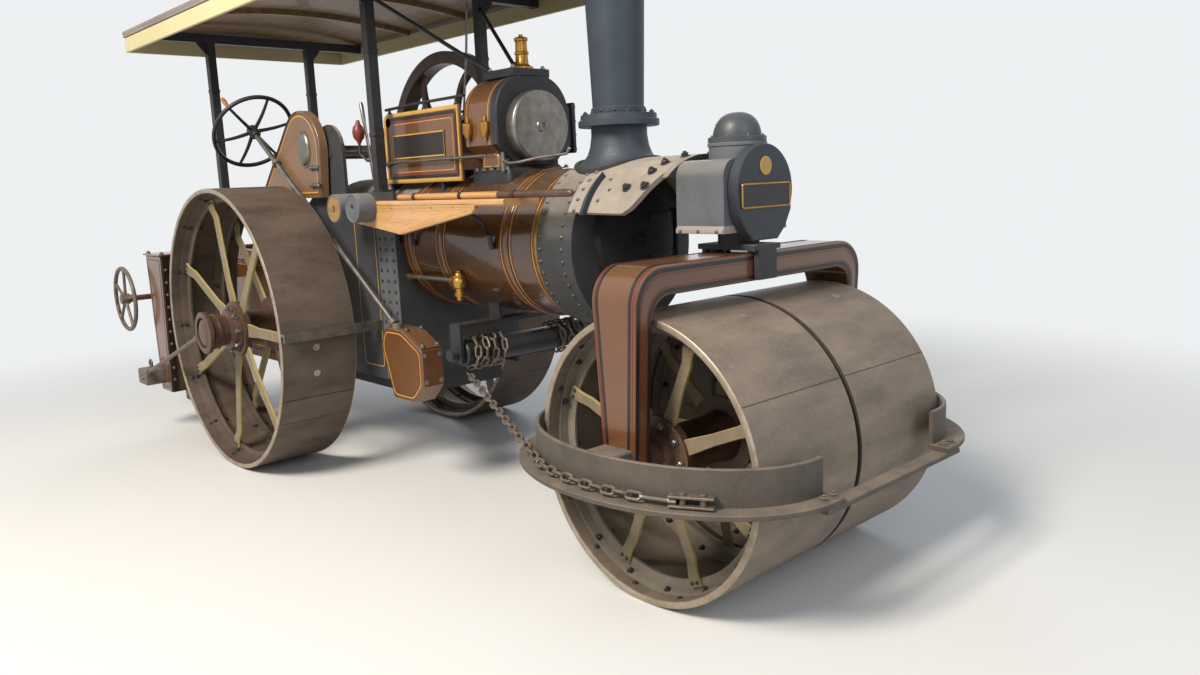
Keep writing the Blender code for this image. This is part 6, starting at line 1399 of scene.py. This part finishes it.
backheadLook = {
    "face": 0.1598, "arch": 0.325, "sideY": 0.345, "gaugeZ": 1.6, "glassY": 0.17, "glassZ": (1.36, 1.54),
    "gauge": ((0, 0), (0, 0.02), (0.02, 0.02), (0.022, 0.055), (0.045, 0.058), (0.05, 0.056), (0.052, 0.048),
              (0.049, 0.046), (0.049, 0)), "dial": ((0.0495, 0), (0.0495, 0.045), (0.0502, 0.045),
                                                    (0.0502, 0)),
    "cock": ((0, 0), (0, 0.017), (0.05, 0.014), (0.052, 0.02), (0.08, 0.02), (0.082, 0)),
    "gland": ((0, 0), (0, 0.03), (0.012, 0.03), (0.04, 0.014), (0.06, 0.012), (0.06, 0)),
    "grip": ((0, 0), (0, 0.01), (0.02, 0.014), (0.09, 0.012), (0.1, 0)), "doorX": 0.1397,
    "strapZ": (1.05, 1.19), "pin": ((0.978, 0), (0.978, 0.006), (1.262, 0.006), (1.262, 0)),
    "door": ((-0.138, 0.99), (0.146, 0.99), (0.146, 1.25), (-0.138, 1.25))}


def backheadPieces():
    look = backheadLook
    face, r, up, back = look["face"], look["arch"], (0, 0, 1), (-1, 0, 0)
    a = np.radians(np.linspace(0, 180, 25))
    arch = np.stack([face + 0 * a, r * np.cos(a), boilerLook["z"] + r * np.sin(a)], 1)
    sides = [(face, s * look["sideY"], z) for s in (-1, 1) for z in np.arange(0.65, 1.32, 0.062)]
    build("firebox.rivets", rivets(np.concatenate([arch, sides]), back, 0.011), shopBlack)
    build("firebox.gauge", lathe(look["gauge"], (face, 0, look["gaugeZ"]), back, 40), brass)
    build("firebox.dial", lathe(look["dial"], (face, 0, look["gaugeZ"]), back, 32), creamPaint)
    glass = []
    low, high = look["glassZ"]
    for y in (-look["glassY"], look["glassY"]):
        glass += [lathe(look["cock"], (face, y, z), back, 20) for z in (low, high)]
        glass.append(lathe([(low, 0), (low, 0.008), (high, 0.008), (high, 0)], (face - 0.065, y, 0), up, 14))
    build("firebox.waterGauges", glass, brass)
    lever = [lathe(look["gland"], (face, 0.06, 1.44), back, 24),
             bar((face - 0.058, 0.06, 1.44), (face - 0.058, -0.12, 1.47), 0.02, 0.01, back),
             lathe(look["grip"], (face - 0.058, -0.11, 1.468), (0, -1, 0.16), 18)]
    build("firebox.regulator", lever, oiledSteel)
    # firehole door: rounded plate, two straps to the hinge pin, ring handle
    body, x, levels = "firehole_door_body", look["doorX"], look["strapZ"]
    panel = rounded(look["door"], 0.03)
    build("firehole_door.plate", plate(panel, "yz", x, 0.1596, 0.003), shopBlack, body,
          nodes=["firehole_door"])
    straps = [slab((x - 0.006, -0.12, z - 0.018), (x - 0.0002, 0.15, z + 0.018), 0.002) for z in levels]
    straps.append(lathe(look["pin"], (0.1497, 0.162, 0), up, 16))
    t = np.linspace(0, 2 * np.pi, 24, endpoint=False)
    ring = np.stack([0 * t + x - 0.012, -0.1 + 0.022 * np.cos(t), 1.12 + 0.022 * np.sin(t)], 1)
    straps.append(tube(ring, 0.005, (1, 0, 0), 10, True))
    build("firehole_door.straps", straps, oxideIron, body)
    places = [(x - 0.006, y, z) for z in levels for y in (-0.1, -0.02, 0.06)]
    build("firehole_door.rivets", rivets(places, back, 0.009), oxideIron, body)


smokeDoorLook = {
    "x": 2.5403, "z": 1.37, "strapRise": 0.09, "pinY": 0.27,
    "dish": ((0.0, 0.0), (0.0, 0.25), (0.004, 0.25), (0.012, 0.243), (0.03, 0.236), (0.047, 0.2),
             (0.062, 0.15), (0.073, 0.09), (0.0795, 0.0)),
    "dart": ((0.0785, 0), (0.0785, 0.028), (0.088, 0.026), (0.09, 0.014), (0.094, 0.0135), (0.094, 0)),
    "faceReach": (0, 0.09, 0.15, 0.2, 0.236, 0.25), "faceRise": (0.08, 0.073, 0.062, 0.047, 0.03, 0.01)}


def smokeDoorPieces():
    look = smokeDoorLook
    body, x, z, ahead = "smokebox_door_body", look["x"], look["z"], (1, 0, 0)
    centre = (x, 0, z)
    build("smokebox_door.dish", lathe(look["dish"], centre, ahead, 72), blackAndPaintedShade, body,
          nodes=["smokebox_door"])
    # the dart, bright steel on the real door, is drawn near-black: painted shade, as it sits in the shadow
    # behind the headstock
    dart = [lathe(look["dart"], centre, ahead, 28),
            bar((x + 0.0885, -0.07, z), (x + 0.0885, 0.07, z), 0.016, 0.008, ahead)]
    build("smokebox_door.dart", dart, blackAndPaintedShade, body, "bright_steel")
    # straps follow the dish from the hinge to the middle
    straps = []
    y = np.linspace(0.262, 0.03, 10)
    section = [(-0.018, -0.004), (0.018, -0.004), (0.018, 0.004), (-0.018, 0.004)]
    for at in (z - look["strapRise"], z + look["strapRise"]):
        rise = np.interp(np.sqrt(y ** 2 + (at - z) ** 2), look["faceReach"], look["faceRise"])
        straps.append(sweep(np.stack([x + rise + 0.003, y, at + 0 * y], 1), section, (1, 0, 0.001)))
    pin = [(z - 0.125, 0), (z - 0.125, 0.0118), (z + 0.125, 0.0118), (z + 0.125, 0)]
    straps.append(lathe(pin, (x + 0.015, look["pinY"], 0), steps=18))
    build("smokebox_door.hinge", straps, blackAndPaintedShade, body)


guardPieces()
plateTrim()
backheadPieces()
smokeDoorPieces()
print("side plates and doors made")


# shelf, feed valve, scarifier and draught rod

shelfLook = {
    "rear": 0.79, "front": 2.36, "outer": -0.6, "inner": -0.4003, "z": 1.575, "thick": 0.03,
    "apronShare": 0.86, "apronTop": 1.559, "bracketX": (1.25, 1.95), "drumX": (1.02, 1.22),
    "clipX": (1.5, 1.9, 2.3), "pole": (-0.50015, 1.5912),
    "drum": ((0.0003, 0), (0.0003, 0.073), (0.012, 0.0745), (0.095, 0.0745), (0.099, 0.0735), (0.101, 0.07),
             (0.1, 0.066), (0.096, 0.064), (0.0955, 0)),
    "face": ((0.0958, 0), (0.0958, 0.0638), (0.0985, 0.0636), (0.099, 0.012), (0.0965, 0.01), (0.0965, 0)),
    "hole": ((0.099, 0), (0.099, 0.011), (0.0996, 0.011), (0.0996, 0)),
    "grip": ((2.2003, 0), (2.2003, 0.0162), (2.68, 0.0162), (2.692, 0.013), (2.6985, 0.007), (2.7, 0))}


def shelfPieces():
    look = shelfLook
    rear, front, outer, inner, z, top = (look[k] for k in ("rear", "front", "outer", "inner", "z",
                                                           "apronTop"))
    low, ahead, aside = z - look["thick"], (1, 0, 0), (0, -1, 0)
    nose = [(inner, low), (outer + 0.006, low), (outer, low + 0.008), (outer, z - 0.008), (outer + 0.006, z),
            (inner, z)]
    sections = [flat(nose, "yz", x) for x in (rear, rear + 0.002, front - 0.002, front)]
    build("side_shelf.board", loft(sections), paleAsh, nodes=["side_shelf"])
    end = rear + (front - rear) * look["apronShare"]
    apron = np.concatenate([[(rear, top), (rear, 1.52)], arc((rear + 0.03, 1.525), 0.03, 200, 262, 5),
                            [(1.49, 1.409), (1.51, 1.409)], [(end - 0.02, 1.513), (end, 1.53), (end, top)]])
    build("side_shelf.apron", plate(apron, "xz", outer, -0.575, 0.004), paleAsh)
    build("side_shelf.apronLine", lining(apron, "xz", outer, -1, [(0.016, 0.004, 0)]), liningGold)
    straps = []
    section = [(-0.015, -0.005), (0.015, -0.005), (0.015, 0.005), (-0.015, 0.005)]
    for x in look["bracketX"]:
        straps.append(bar((x, -0.585, 1.537), (x, -0.45, 1.537), 0.03, 0.012))
        path = [(x, -0.57, 1.53), (x, -0.50, 1.515), (x, -0.42, 1.46), (x, -0.385, 1.40), (x, -0.372, 1.33)]
        straps.append(sweep(path, section, (0, -0.5, 1)))
    build("side_shelf.brackets", straps, shopBlack)
    places = [(x, outer - 0.0003, 1.5425) for x in np.arange(0.9, 2.1, 0.18)]
    build("side_shelf.screws", rivets(places, aside, 0.0055), brass)
    # two drums on the shelf: the first with a tan face and a slot, the other grey with a round hole
    for index, x in enumerate(look["drumX"]):
        centre = (x, outer, 1.545)
        build(f"side_shelf.drum{index}", lathe(look["drum"], centre, aside, 56), headGrey)
        build(f"side_shelf.drumFace{index}", lathe(look["face"], centre, aside, 56),
              (boardTan, headGrey)[index])
        # the slot and the round hole are thin near-black pieces on the face: painted shade standing for the
        # openings
        hole = (slab((x - 0.004, -0.6996, 1.528), (x + 0.004, -0.6988, 1.562), 0.0002) if index == 0
                else lathe(look["hole"], (x, outer, 1.555), aside, 20))
        build(f"side_shelf.drumHoleShade{index}", hole, blackAndPaintedShade)
    line = (0, *look["pole"])
    pole = [(1.352, 0), (1.352, 0.014), (1.358, 0.016), (2.2, 0.016), (2.2, 0)]
    build("side_shelf.pole", lathe(pole, line, ahead, 28), paleAsh)
    build("side_shelf.poleGrip", lathe(look["grip"], line, ahead, 28), hubEnamel, slot="dark_paint")
    clip = [(0, 0.0166), (0, 0.0205), (0.02, 0.0205), (0.02, 0.0166)]
    clips = [lathe(clip, (x, *look["pole"]), ahead, 28, loop=True) for x in look["clipX"]]
    build("side_shelf.clips", clips, shopBlack)


feedLook = {
    "x": 1.62, "y": -0.3493, "z": 1.16, "nuts": (0.036, 0.46), "pipe": (1.585, 1.5, 1.3, 1.121),
    "pipeRadius": 0.0128, "body": ((-0.1, 0), (-0.1, 0.016), (-0.082, 0.019), (-0.08, 0.027), (-0.06, 0.027),
                                   (-0.058, 0.02), (-0.04, 0.02), (-0.034, 0.03), (-0.02, 0.035),
                                   (0.005, 0.035), (0.014, 0.03), (0.016, 0.034), (0.026, 0.034),
                                   (0.028, 0.024), (0.04, 0.02), (0.044, 0.012), (0.05, 0.011), (0.05, 0))}


def feedPieces():
    look = feedLook
    x, y, z = look["x"], look["y"], look["z"]
    build("feed_valve.body", lathe(look["body"], (x, y, z), steps=40), brass, nodes=["feed_valve"])
    flange = [(0.0, 0.0), (0.0, 0.024), (0.026, 0.024), (0.026, 0)]
    build("feed_valve.flange", lathe(flange, (x, y + 0.005, z), (0, 1, 0), 28), brass)
    nuts = [lathe([(a, 0), (a, 0.021), (a + 0.022, 0.021), (a + 0.022, 0)], (x, y, z), (-1, 0, 0), 6)
            for a in look["nuts"]]
    build("feed_valve.nuts", nuts, brass)
    build("feed_valve.pipe", tube([(a, y, z) for a in look["pipe"]], look["pipeRadius"], sides=18),
          oiledSteel)


scarifierLook = {
    "outline": ((-1.30, 1.25), (-1.285, 0.30), (-1.09, 0.30), (-1.00, 1.25)), "level": -0.9503,
    "slopeTop": (-0.9996, 1.24), "slopeLow": (-1.0893, 0.305), "angleY": (-0.93, -0.58),
    "wheel": (-1.62, -1.03, 0.93), "arms": 5, "boss": ((-0.035, 0), (-0.035, 0.02), (-0.03, 0.036),
                                                       (0.025, 0.038), (0.03, 0.03), (0.05, 0.026),
                                                       (0.05, 0)), "hubY": -1.0697, "eyeZ": 0.84,
    "rodEnd": (-1.30, 0.41), "eye": ((-0.0147, 0.0915), (-0.0147, 0.118), (-0.011, 0.1245), (0.011, 0.1245),
                                     (0.0147, 0.118), (0.0147, 0.0915))}


def scarifierPieces():
    look = scarifierLook
    level, outline, y = look["level"], np.array(look["outline"]), look["hubY"]
    outer, axle = level - 0.006, (0, 1, 0)
    build("scarifier_case.sidePlate", plate(inset(outline, 0.004), "xz", outer, level, 0.002), coachBrown)
    build("scarifier_case.sideLine", lining(outline, "xz", outer, -1, [(0.03, 0.005, 0.02)]), liningBlackAndShade)
    # riveted face in front, following the plate's slope, drawn near-black: painted shade, as this forward
    # face stands in shadow
    top, low = np.array(look["slopeTop"]), np.array(look["slopeLow"])
    slope = unit(np.array([top[1] - low[1], 0, low[0] - top[0]]))
    column = np.linspace(low, top, 12)[1:-1]
    for name, at in zip(("Outer", "Inner"), look["angleY"]):
        shift = slope[0] * 0.003
        strap = bar((low[0] + shift, at, low[1]), (top[0] + shift, at, top[1]), 0.038, 0.005, slope)
        build("scarifier_case.angle" + name, strap, liningBlackAndShade, slot="dark_paint")
        places = [(x + 2 * shift, at, z) for x, z in column]
        build("scarifier_case.rivets" + name, rivets(places, slope, 0.011), oxideIron)
    build("scarifier_case.topPlate", slab((-1.315, -0.97, 1.2503), (-0.985, -0.55, 1.262), 0.003), coachBrown)
    places = [(x, at, 1.2622) for x in (-1.285, -1.015) for at in (-0.94, -0.755, -0.58)]
    build("scarifier_case.topBolts", bolts(places, (0, 0, 1), 0.012), oxideIron)
    # handwheel with thick arms
    centre, count = look["wheel"], look["arms"]
    wheel = wheelShapes(centre, (0, -1, 0), 0.22, 0.0142, count)[:1]
    girth = np.array([1.3, 1.1, 1.0, 1.0, 1.05, 1.2])
    for k in range(count):
        a = 2 * np.pi * (k + 0.13) / count
        tip = np.array([centre[0] + 0.215 * math.cos(a), centre[1], centre[2] + 0.215 * math.sin(a)])
        wheel.append(tube(np.linspace(centre, tip, 6), 0.0102, axle, 12, taper=girth))
    wheel.append(lathe(look["boss"], centre, axle, 28))
    build("scarifier_case.handwheel", wheel, oxideIron)
    # draught rod: the eye on the axle, the rod with its collars, the lug and the pin
    eye = np.array([0, y, look["eyeZ"]])
    build("draught_rod.eye", lathe(look["eye"], eye, axle, 56, loop=True), hubEnamel, slot="dark_paint",
          nodes=["draught_rod"])
    end = np.array([look["rodEnd"][0], y, look["rodEnd"][1]])
    away = unit(end - eye)
    start = eye + away * 0.12
    rod = [tube(np.linspace(start, end, 4), 0.0135, sides=20),
           lathe([(0.0, 0), (0.0, 0.02), (0.05, 0.017), (0.055, 0)], start - away * 0.004, away, 20),
           lathe([(0.0, 0), (0.0, 0.022), (0.03, 0.022), (0.03, 0)], end - away * 0.16, away, 6)]
    build("draught_rod.rod", rod, oxideIron)
    t = np.linspace(0, 2 * np.pi, 28, endpoint=False)
    ring = np.stack([-1.33 + 0.024 * np.cos(t), 0 * t - 1.0, 0.486 + 0.026 * np.sin(t)], 1)
    lug = [slab((-1.354, y - 0.0147, 0.356), (-1.191, -0.9506, 0.464), 0.008),
           tube(ring, 0.007, axle, 12, True)]
    build("draught_rod.lug", lug, oxideIron)
    pin = [(0, 0), (0, 0.017), (0.012, 0.015), (0.0125, 0)]
    build("draught_rod.pin", lathe(pin, (-1.25, y - 0.0149, 0.41), (0, -1, 0), 6), oiledSteel)


def tinePieces():
    x, y, half, deep = -1.198, -0.755, 0.0595, 0.0545
    shoe = [(x - half, y - deep), (x + half, y - deep), (x + half, y + deep), (x - half, y + deep)]
    build("scarifier_tine.cap", plate(shoe, "xy", 0.205, 0.2967, 0.004), shopBlack, "tine", "dark_paint")
    pin = [(-0.062, 0), (-0.062, 0.013), (0.062, 0.013), (0.062, 0)]
    build("scarifier_tine.pin", lathe(pin, (x, y, 0.25), (0, 1, 0), 18), oiledSteel, "tine")


shelfPieces()
feedPieces()
scarifierPieces()
tinePieces()
print("shelf and scarifier made")


# tender and canopy

tenderLook = {
    "side": 0.42, "rear": -1.5, "rows": (0.518, 1.222), "rivet": 0.0075,
    "panel": ((-1.47, 0.535), (-0.415, 0.535), (-0.415, 1.2), (-1.47, 1.2)),
    "rearPanel": ((-0.38, 0.535), (0.38, 0.535), (0.38, 1.2), (-0.38, 1.2)),
    "edge": ((-0.385, -0.41, 1.25), (-1.49, -0.41, 1.25), (-1.49, 0.41, 1.25), (-0.385, 0.41, 1.25)),
    "bead": ((0.014, -0.012), (0.014, 0.003), (0.009, 0.009), (0, 0.011), (-0.009, 0.009), (-0.014, 0.003),
             (-0.014, -0.012)), "lumps": 520, "lumpSize": (0.022, 0.043),
    "lump": ((-1.0, 0.0), (-0.8, 0.62), (-0.1, 1.0), (0.55, 0.78), (1.0, 0.3), (1.02, 0)),
    "drawPin": ((0.56, 0), (0.56, 0.018), (0.69, 0.018), (0.695, 0.026), (0.705, 0.026), (0.71, 0))}


def tenderPieces():
    look = tenderLook
    up, back, rear = (0, 0, 1), (-1, 0, 0), look["rear"]
    for side, sign in (("Right", -1), ("Left", 1)):
        level = sign * look["side"]
        for name, distance, wide, material in (("Black", 0.02, 0.014, liningBlackAndShade),
                                               ("Red", 0.037, 0.006, liningRed),
                                               ("Gold", 0.048, 0.004, liningGold)):
            line = lining(look["panel"], "xz", level, sign, [(distance, wide, 0.05)])
            build(f"tender.line{side}{name}", line, material)
        places = [(x, level, z) for x in np.arange(-1.48, -0.39, 0.0545) for z in look["rows"]]
        places += [(x, level, z) for x in (-1.483, -0.398) for z in np.arange(0.57, 1.2, 0.057)]
        build(f"tender.rivets{side}", rivets(places, (0, sign, 0), look["rivet"]), coachBrown)
    for name, distance, wide, material in (("", 0.02, 0.012, liningBlackAndShade), ("Red", 0.036, 0.005, liningRed)):
        line = lining(look["rearPanel"], "yz", rear, -1, [(distance, wide, 0.05)])
        build("tender.lineRear" + name, line, material)
    places = [(rear, y, z) for y in np.arange(-0.4, 0.41, 0.0533) for z in look["rows"]]
    build("tender.rivetsRear", rivets(places, back, look["rivet"]), coachBrown)
    # half-round bead on the top edge
    beads = [sweep(look["edge"][i:i + 2], look["bead"], up) for i in range(3)]
    build("tender.beads", beads, coachBrown)
    # coal: many small lumps piled from a seeded draw over a heaped floor
    draw, count = np.random.default_rng(11), look["lumps"]
    x = draw.uniform(-1.44, -1.03, count)
    y = draw.uniform(-0.36, 0.36, count)
    heap = 0.9 + 0.22 * (1 - ((x + 1.3) / 0.35) ** 2) * (1 - (y / 0.5) ** 2)
    places = np.stack([x, y, heap + draw.uniform(-0.05, 0.0, count)], 1)
    tilt = unit(draw.normal(size=(count, 3)))
    coal = copies(lathe(look["lump"], steps=6), places, tilt, scale=draw.uniform(*look["lumpSize"], count))
    build("tender.coal", coal, steamCoal, sharp=12)
    build("tender.coalFloor", slab((-1.478, -0.398, 0.7805), (-1.002, 0.398, 0.92), 0.01), steamCoal)
    # drawbar pin, its jaw's bolts and a plate each side
    places = [(-1.501, y, z) for y in (-0.15, 0.15) for z in (0.585, 0.655)]
    jaw = [lathe(look["drawPin"], (-1.6, 0, 0), up, 24), bolts(places, back, 0.015)]
    jaw += [slab((-1.512, a, 0.555), (-1.5003, b, 0.685), 0.003) for a, b in ((-0.19, -0.113), (0.113, 0.19))]
    build("tender.drawPin", jaw, oxideIron)
    build("tender.seat", slab((-0.965, -0.395, 1.035), (-0.66, -0.12, 1.06), 0.006), varnishedOak)
    build("tender.seatBox", slab((-0.962, -0.39, 0.785), (-0.68, -0.13, 1.0347), 0.004), coachBrown)
    treads = [slab((x, -0.39, 0.7805), (x + 0.012, 0.39, 0.785), 0.001)
              for x in np.arange(-0.64, -0.39, 0.035)]
    build("tender.treads", treads, oxideIron)


def canopyPieces():
    rear, front, half, edge, fascia, crown = -1.6, 1.95, 0.83, 2.65, 0.14, 0.07
    top = edge + fascia
    radius = (half ** 2 + crown ** 2) / (2 * crown)
    y = np.linspace(-half, half, 25)

    def archZ(at, drop=0.0):
        return top + crown - radius + np.sqrt(radius ** 2 - at ** 2) - drop
    # outer boards: fore and aft, each slightly cupped so that the joints show
    boards = []
    places = np.linspace(-half + 0.004, half - 0.004, 15)
    for a, b in zip(places, places[1:]):
        t = np.linspace(a + 0.0012, b - 0.0012, 5)
        cup = 0.0018 * (1 - np.linspace(-1, 1, 5) ** 2)
        ring = np.concatenate([np.stack([t, archZ(t, 0.002) + cup], 1),
                               np.stack([t, archZ(t, 0.012)], 1)[::-1]])
        boards.append(loft([flat(ring, "yz", rear + 0.002), flat(ring, "yz", front - 0.002)]))
    build("canopy_roof.topBoards", boards, creamPaint, nodes=["canopy_roof"])
    # lining boards under them: across, with an open joint between each pair
    under = []
    t = np.linspace(-half + 0.026, half - 0.026, 21)
    places = np.linspace(rear + 0.03, front - 0.03, 30)
    for a, b in zip(places, places[1:]):
        ring = np.concatenate([np.stack([t, archZ(t, 0.0125)], 1), np.stack([t, archZ(t, 0.026)], 1)[::-1]])
        under.append(loft([flat(ring, "yz", a + 0.0012), flat(ring, "yz", b - 0.0012)]))
    build("canopy_roof.underBoards", under, underTan)
    ribs = []
    for x in (-0.53, 0.21, 1.6):
        ring = np.concatenate([np.stack([t, archZ(t, 0.0263)], 1), np.stack([t, archZ(t, 0.058)], 1)[::-1]])
        ribs.append(loft([flat(ring, "yz", x - 0.018), flat(ring, "yz", x + 0.018)]))
    build("canopy_roof.ribs", ribs, underTan)
    # fascia: cream board below, weathered moulding above with a groove between
    low, mould = [], []
    for s in (-1, 1):
        a, b = sorted((s * half, s * (half - 0.02)))
        low.append(slab((rear, a, edge), (front, b, edge + 0.097), 0.003))
        profile = np.array([(half - 0.021, edge + 0.1), (half + 0.004, edge + 0.1),
                            (half + 0.007, edge + 0.106), (half + 0.004, edge + 0.114),
                            (half + 0.008, edge + 0.122), (half + 0.008, edge + 0.136),
                            (half + 0.002, edge + 0.1425), (half - 0.021, edge + 0.1425)])
        mould.append(loft([flat(profile * (s, 1), "yz", rear - 0.004),
                           flat(profile * (s, 1), "yz", front + 0.004)]))
    for x0, x1 in ((rear, rear + 0.02), (front - 0.02, front)):
        low.append(slab((x0, -half + 0.0205, edge), (x1, half - 0.0205, edge + 0.097), 0.003))
        ring = np.concatenate([[(-half + 0.02, edge + 0.1), (half - 0.02, edge + 0.1)],
                               np.stack([y, archZ(y) + 0.003], 1)[::-1]])
        mould.append(loft([flat(ring, "yz", x0 - (0.005 if x0 < 0 else 0)),
                           flat(ring, "yz", x1 + (0.005 if x0 > 0 else 0))]))
    build("canopy_roof.fascia", low, creamPaint)
    build("canopy_roof.moulding", mould, mouldingGrey)


def postTrim():
    for name, x, low in (("rear", -1.27, 0.7803), ("front", 0.95, 1.6203)):
        collars = []
        for sign in (-1, 1):
            y = sign * 0.37
            near, far = sorted((y - sign * 0.04, y + sign * 0.029))
            collars.append(slab((x - 0.05, near, low), (x + 0.05, far, low + 0.012), 0.002))
            collars += [slab((x - 0.031, y - 0.031, z), (x + 0.031, y + 0.031, z + 0.022), 0.002)
                        for z in (low + 0.3, 2.36)]
        build(f"canopy_frame_{name}.collars", collars, shopBlack)
    rod = tube([(0.915, 0.31, 2.69), (0.885, 0.305, 2.4), (0.84, 0.29, 2.05)], 0.007, (1, 0, 0), 10)
    build("canopy_frame_front.grabRod", rod, oiledSteel)


tenderPieces()
canopyPieces()
postTrim()
print("tender and canopy made")


# what the CAD nodes keep

carried = {
    "brown_paint": coachBrown, "black_paint": shopBlack, "bright_steel": oiledSteel,
    "smokebox_grey": graphiteGrey, "blue_grey": chimneyGrey, "dark_paint": hubEnamel, "brass": brass,
    "cream_boards": creamPaint, "varnished_wood": varnishedOak, "chain_iron": oxideIron,
    "roll_iron": rolledPlate, "spoke_yellow": spokePaint}
slotOf = {entry["node"]: entry["material_slot"] for entry in frame["record"]["subparts"]}
ownFinish = {
    "rear_axle": shopBlack, "front_axle": oiledSteel, "firehole_door": blackAndPaintedShade, "smokebox_door": blackAndPaintedShade,
    "canopy_frame_rear": shopBlack, "canopy_frame_front": shopBlack}
for name, node in frame["nodes"].items():
    finishOf = ownFinish.get(name) or carried.get(slotOf.get(name, ""), coachBrown)
    for held in node.material_slots:
        held.material = finishOf
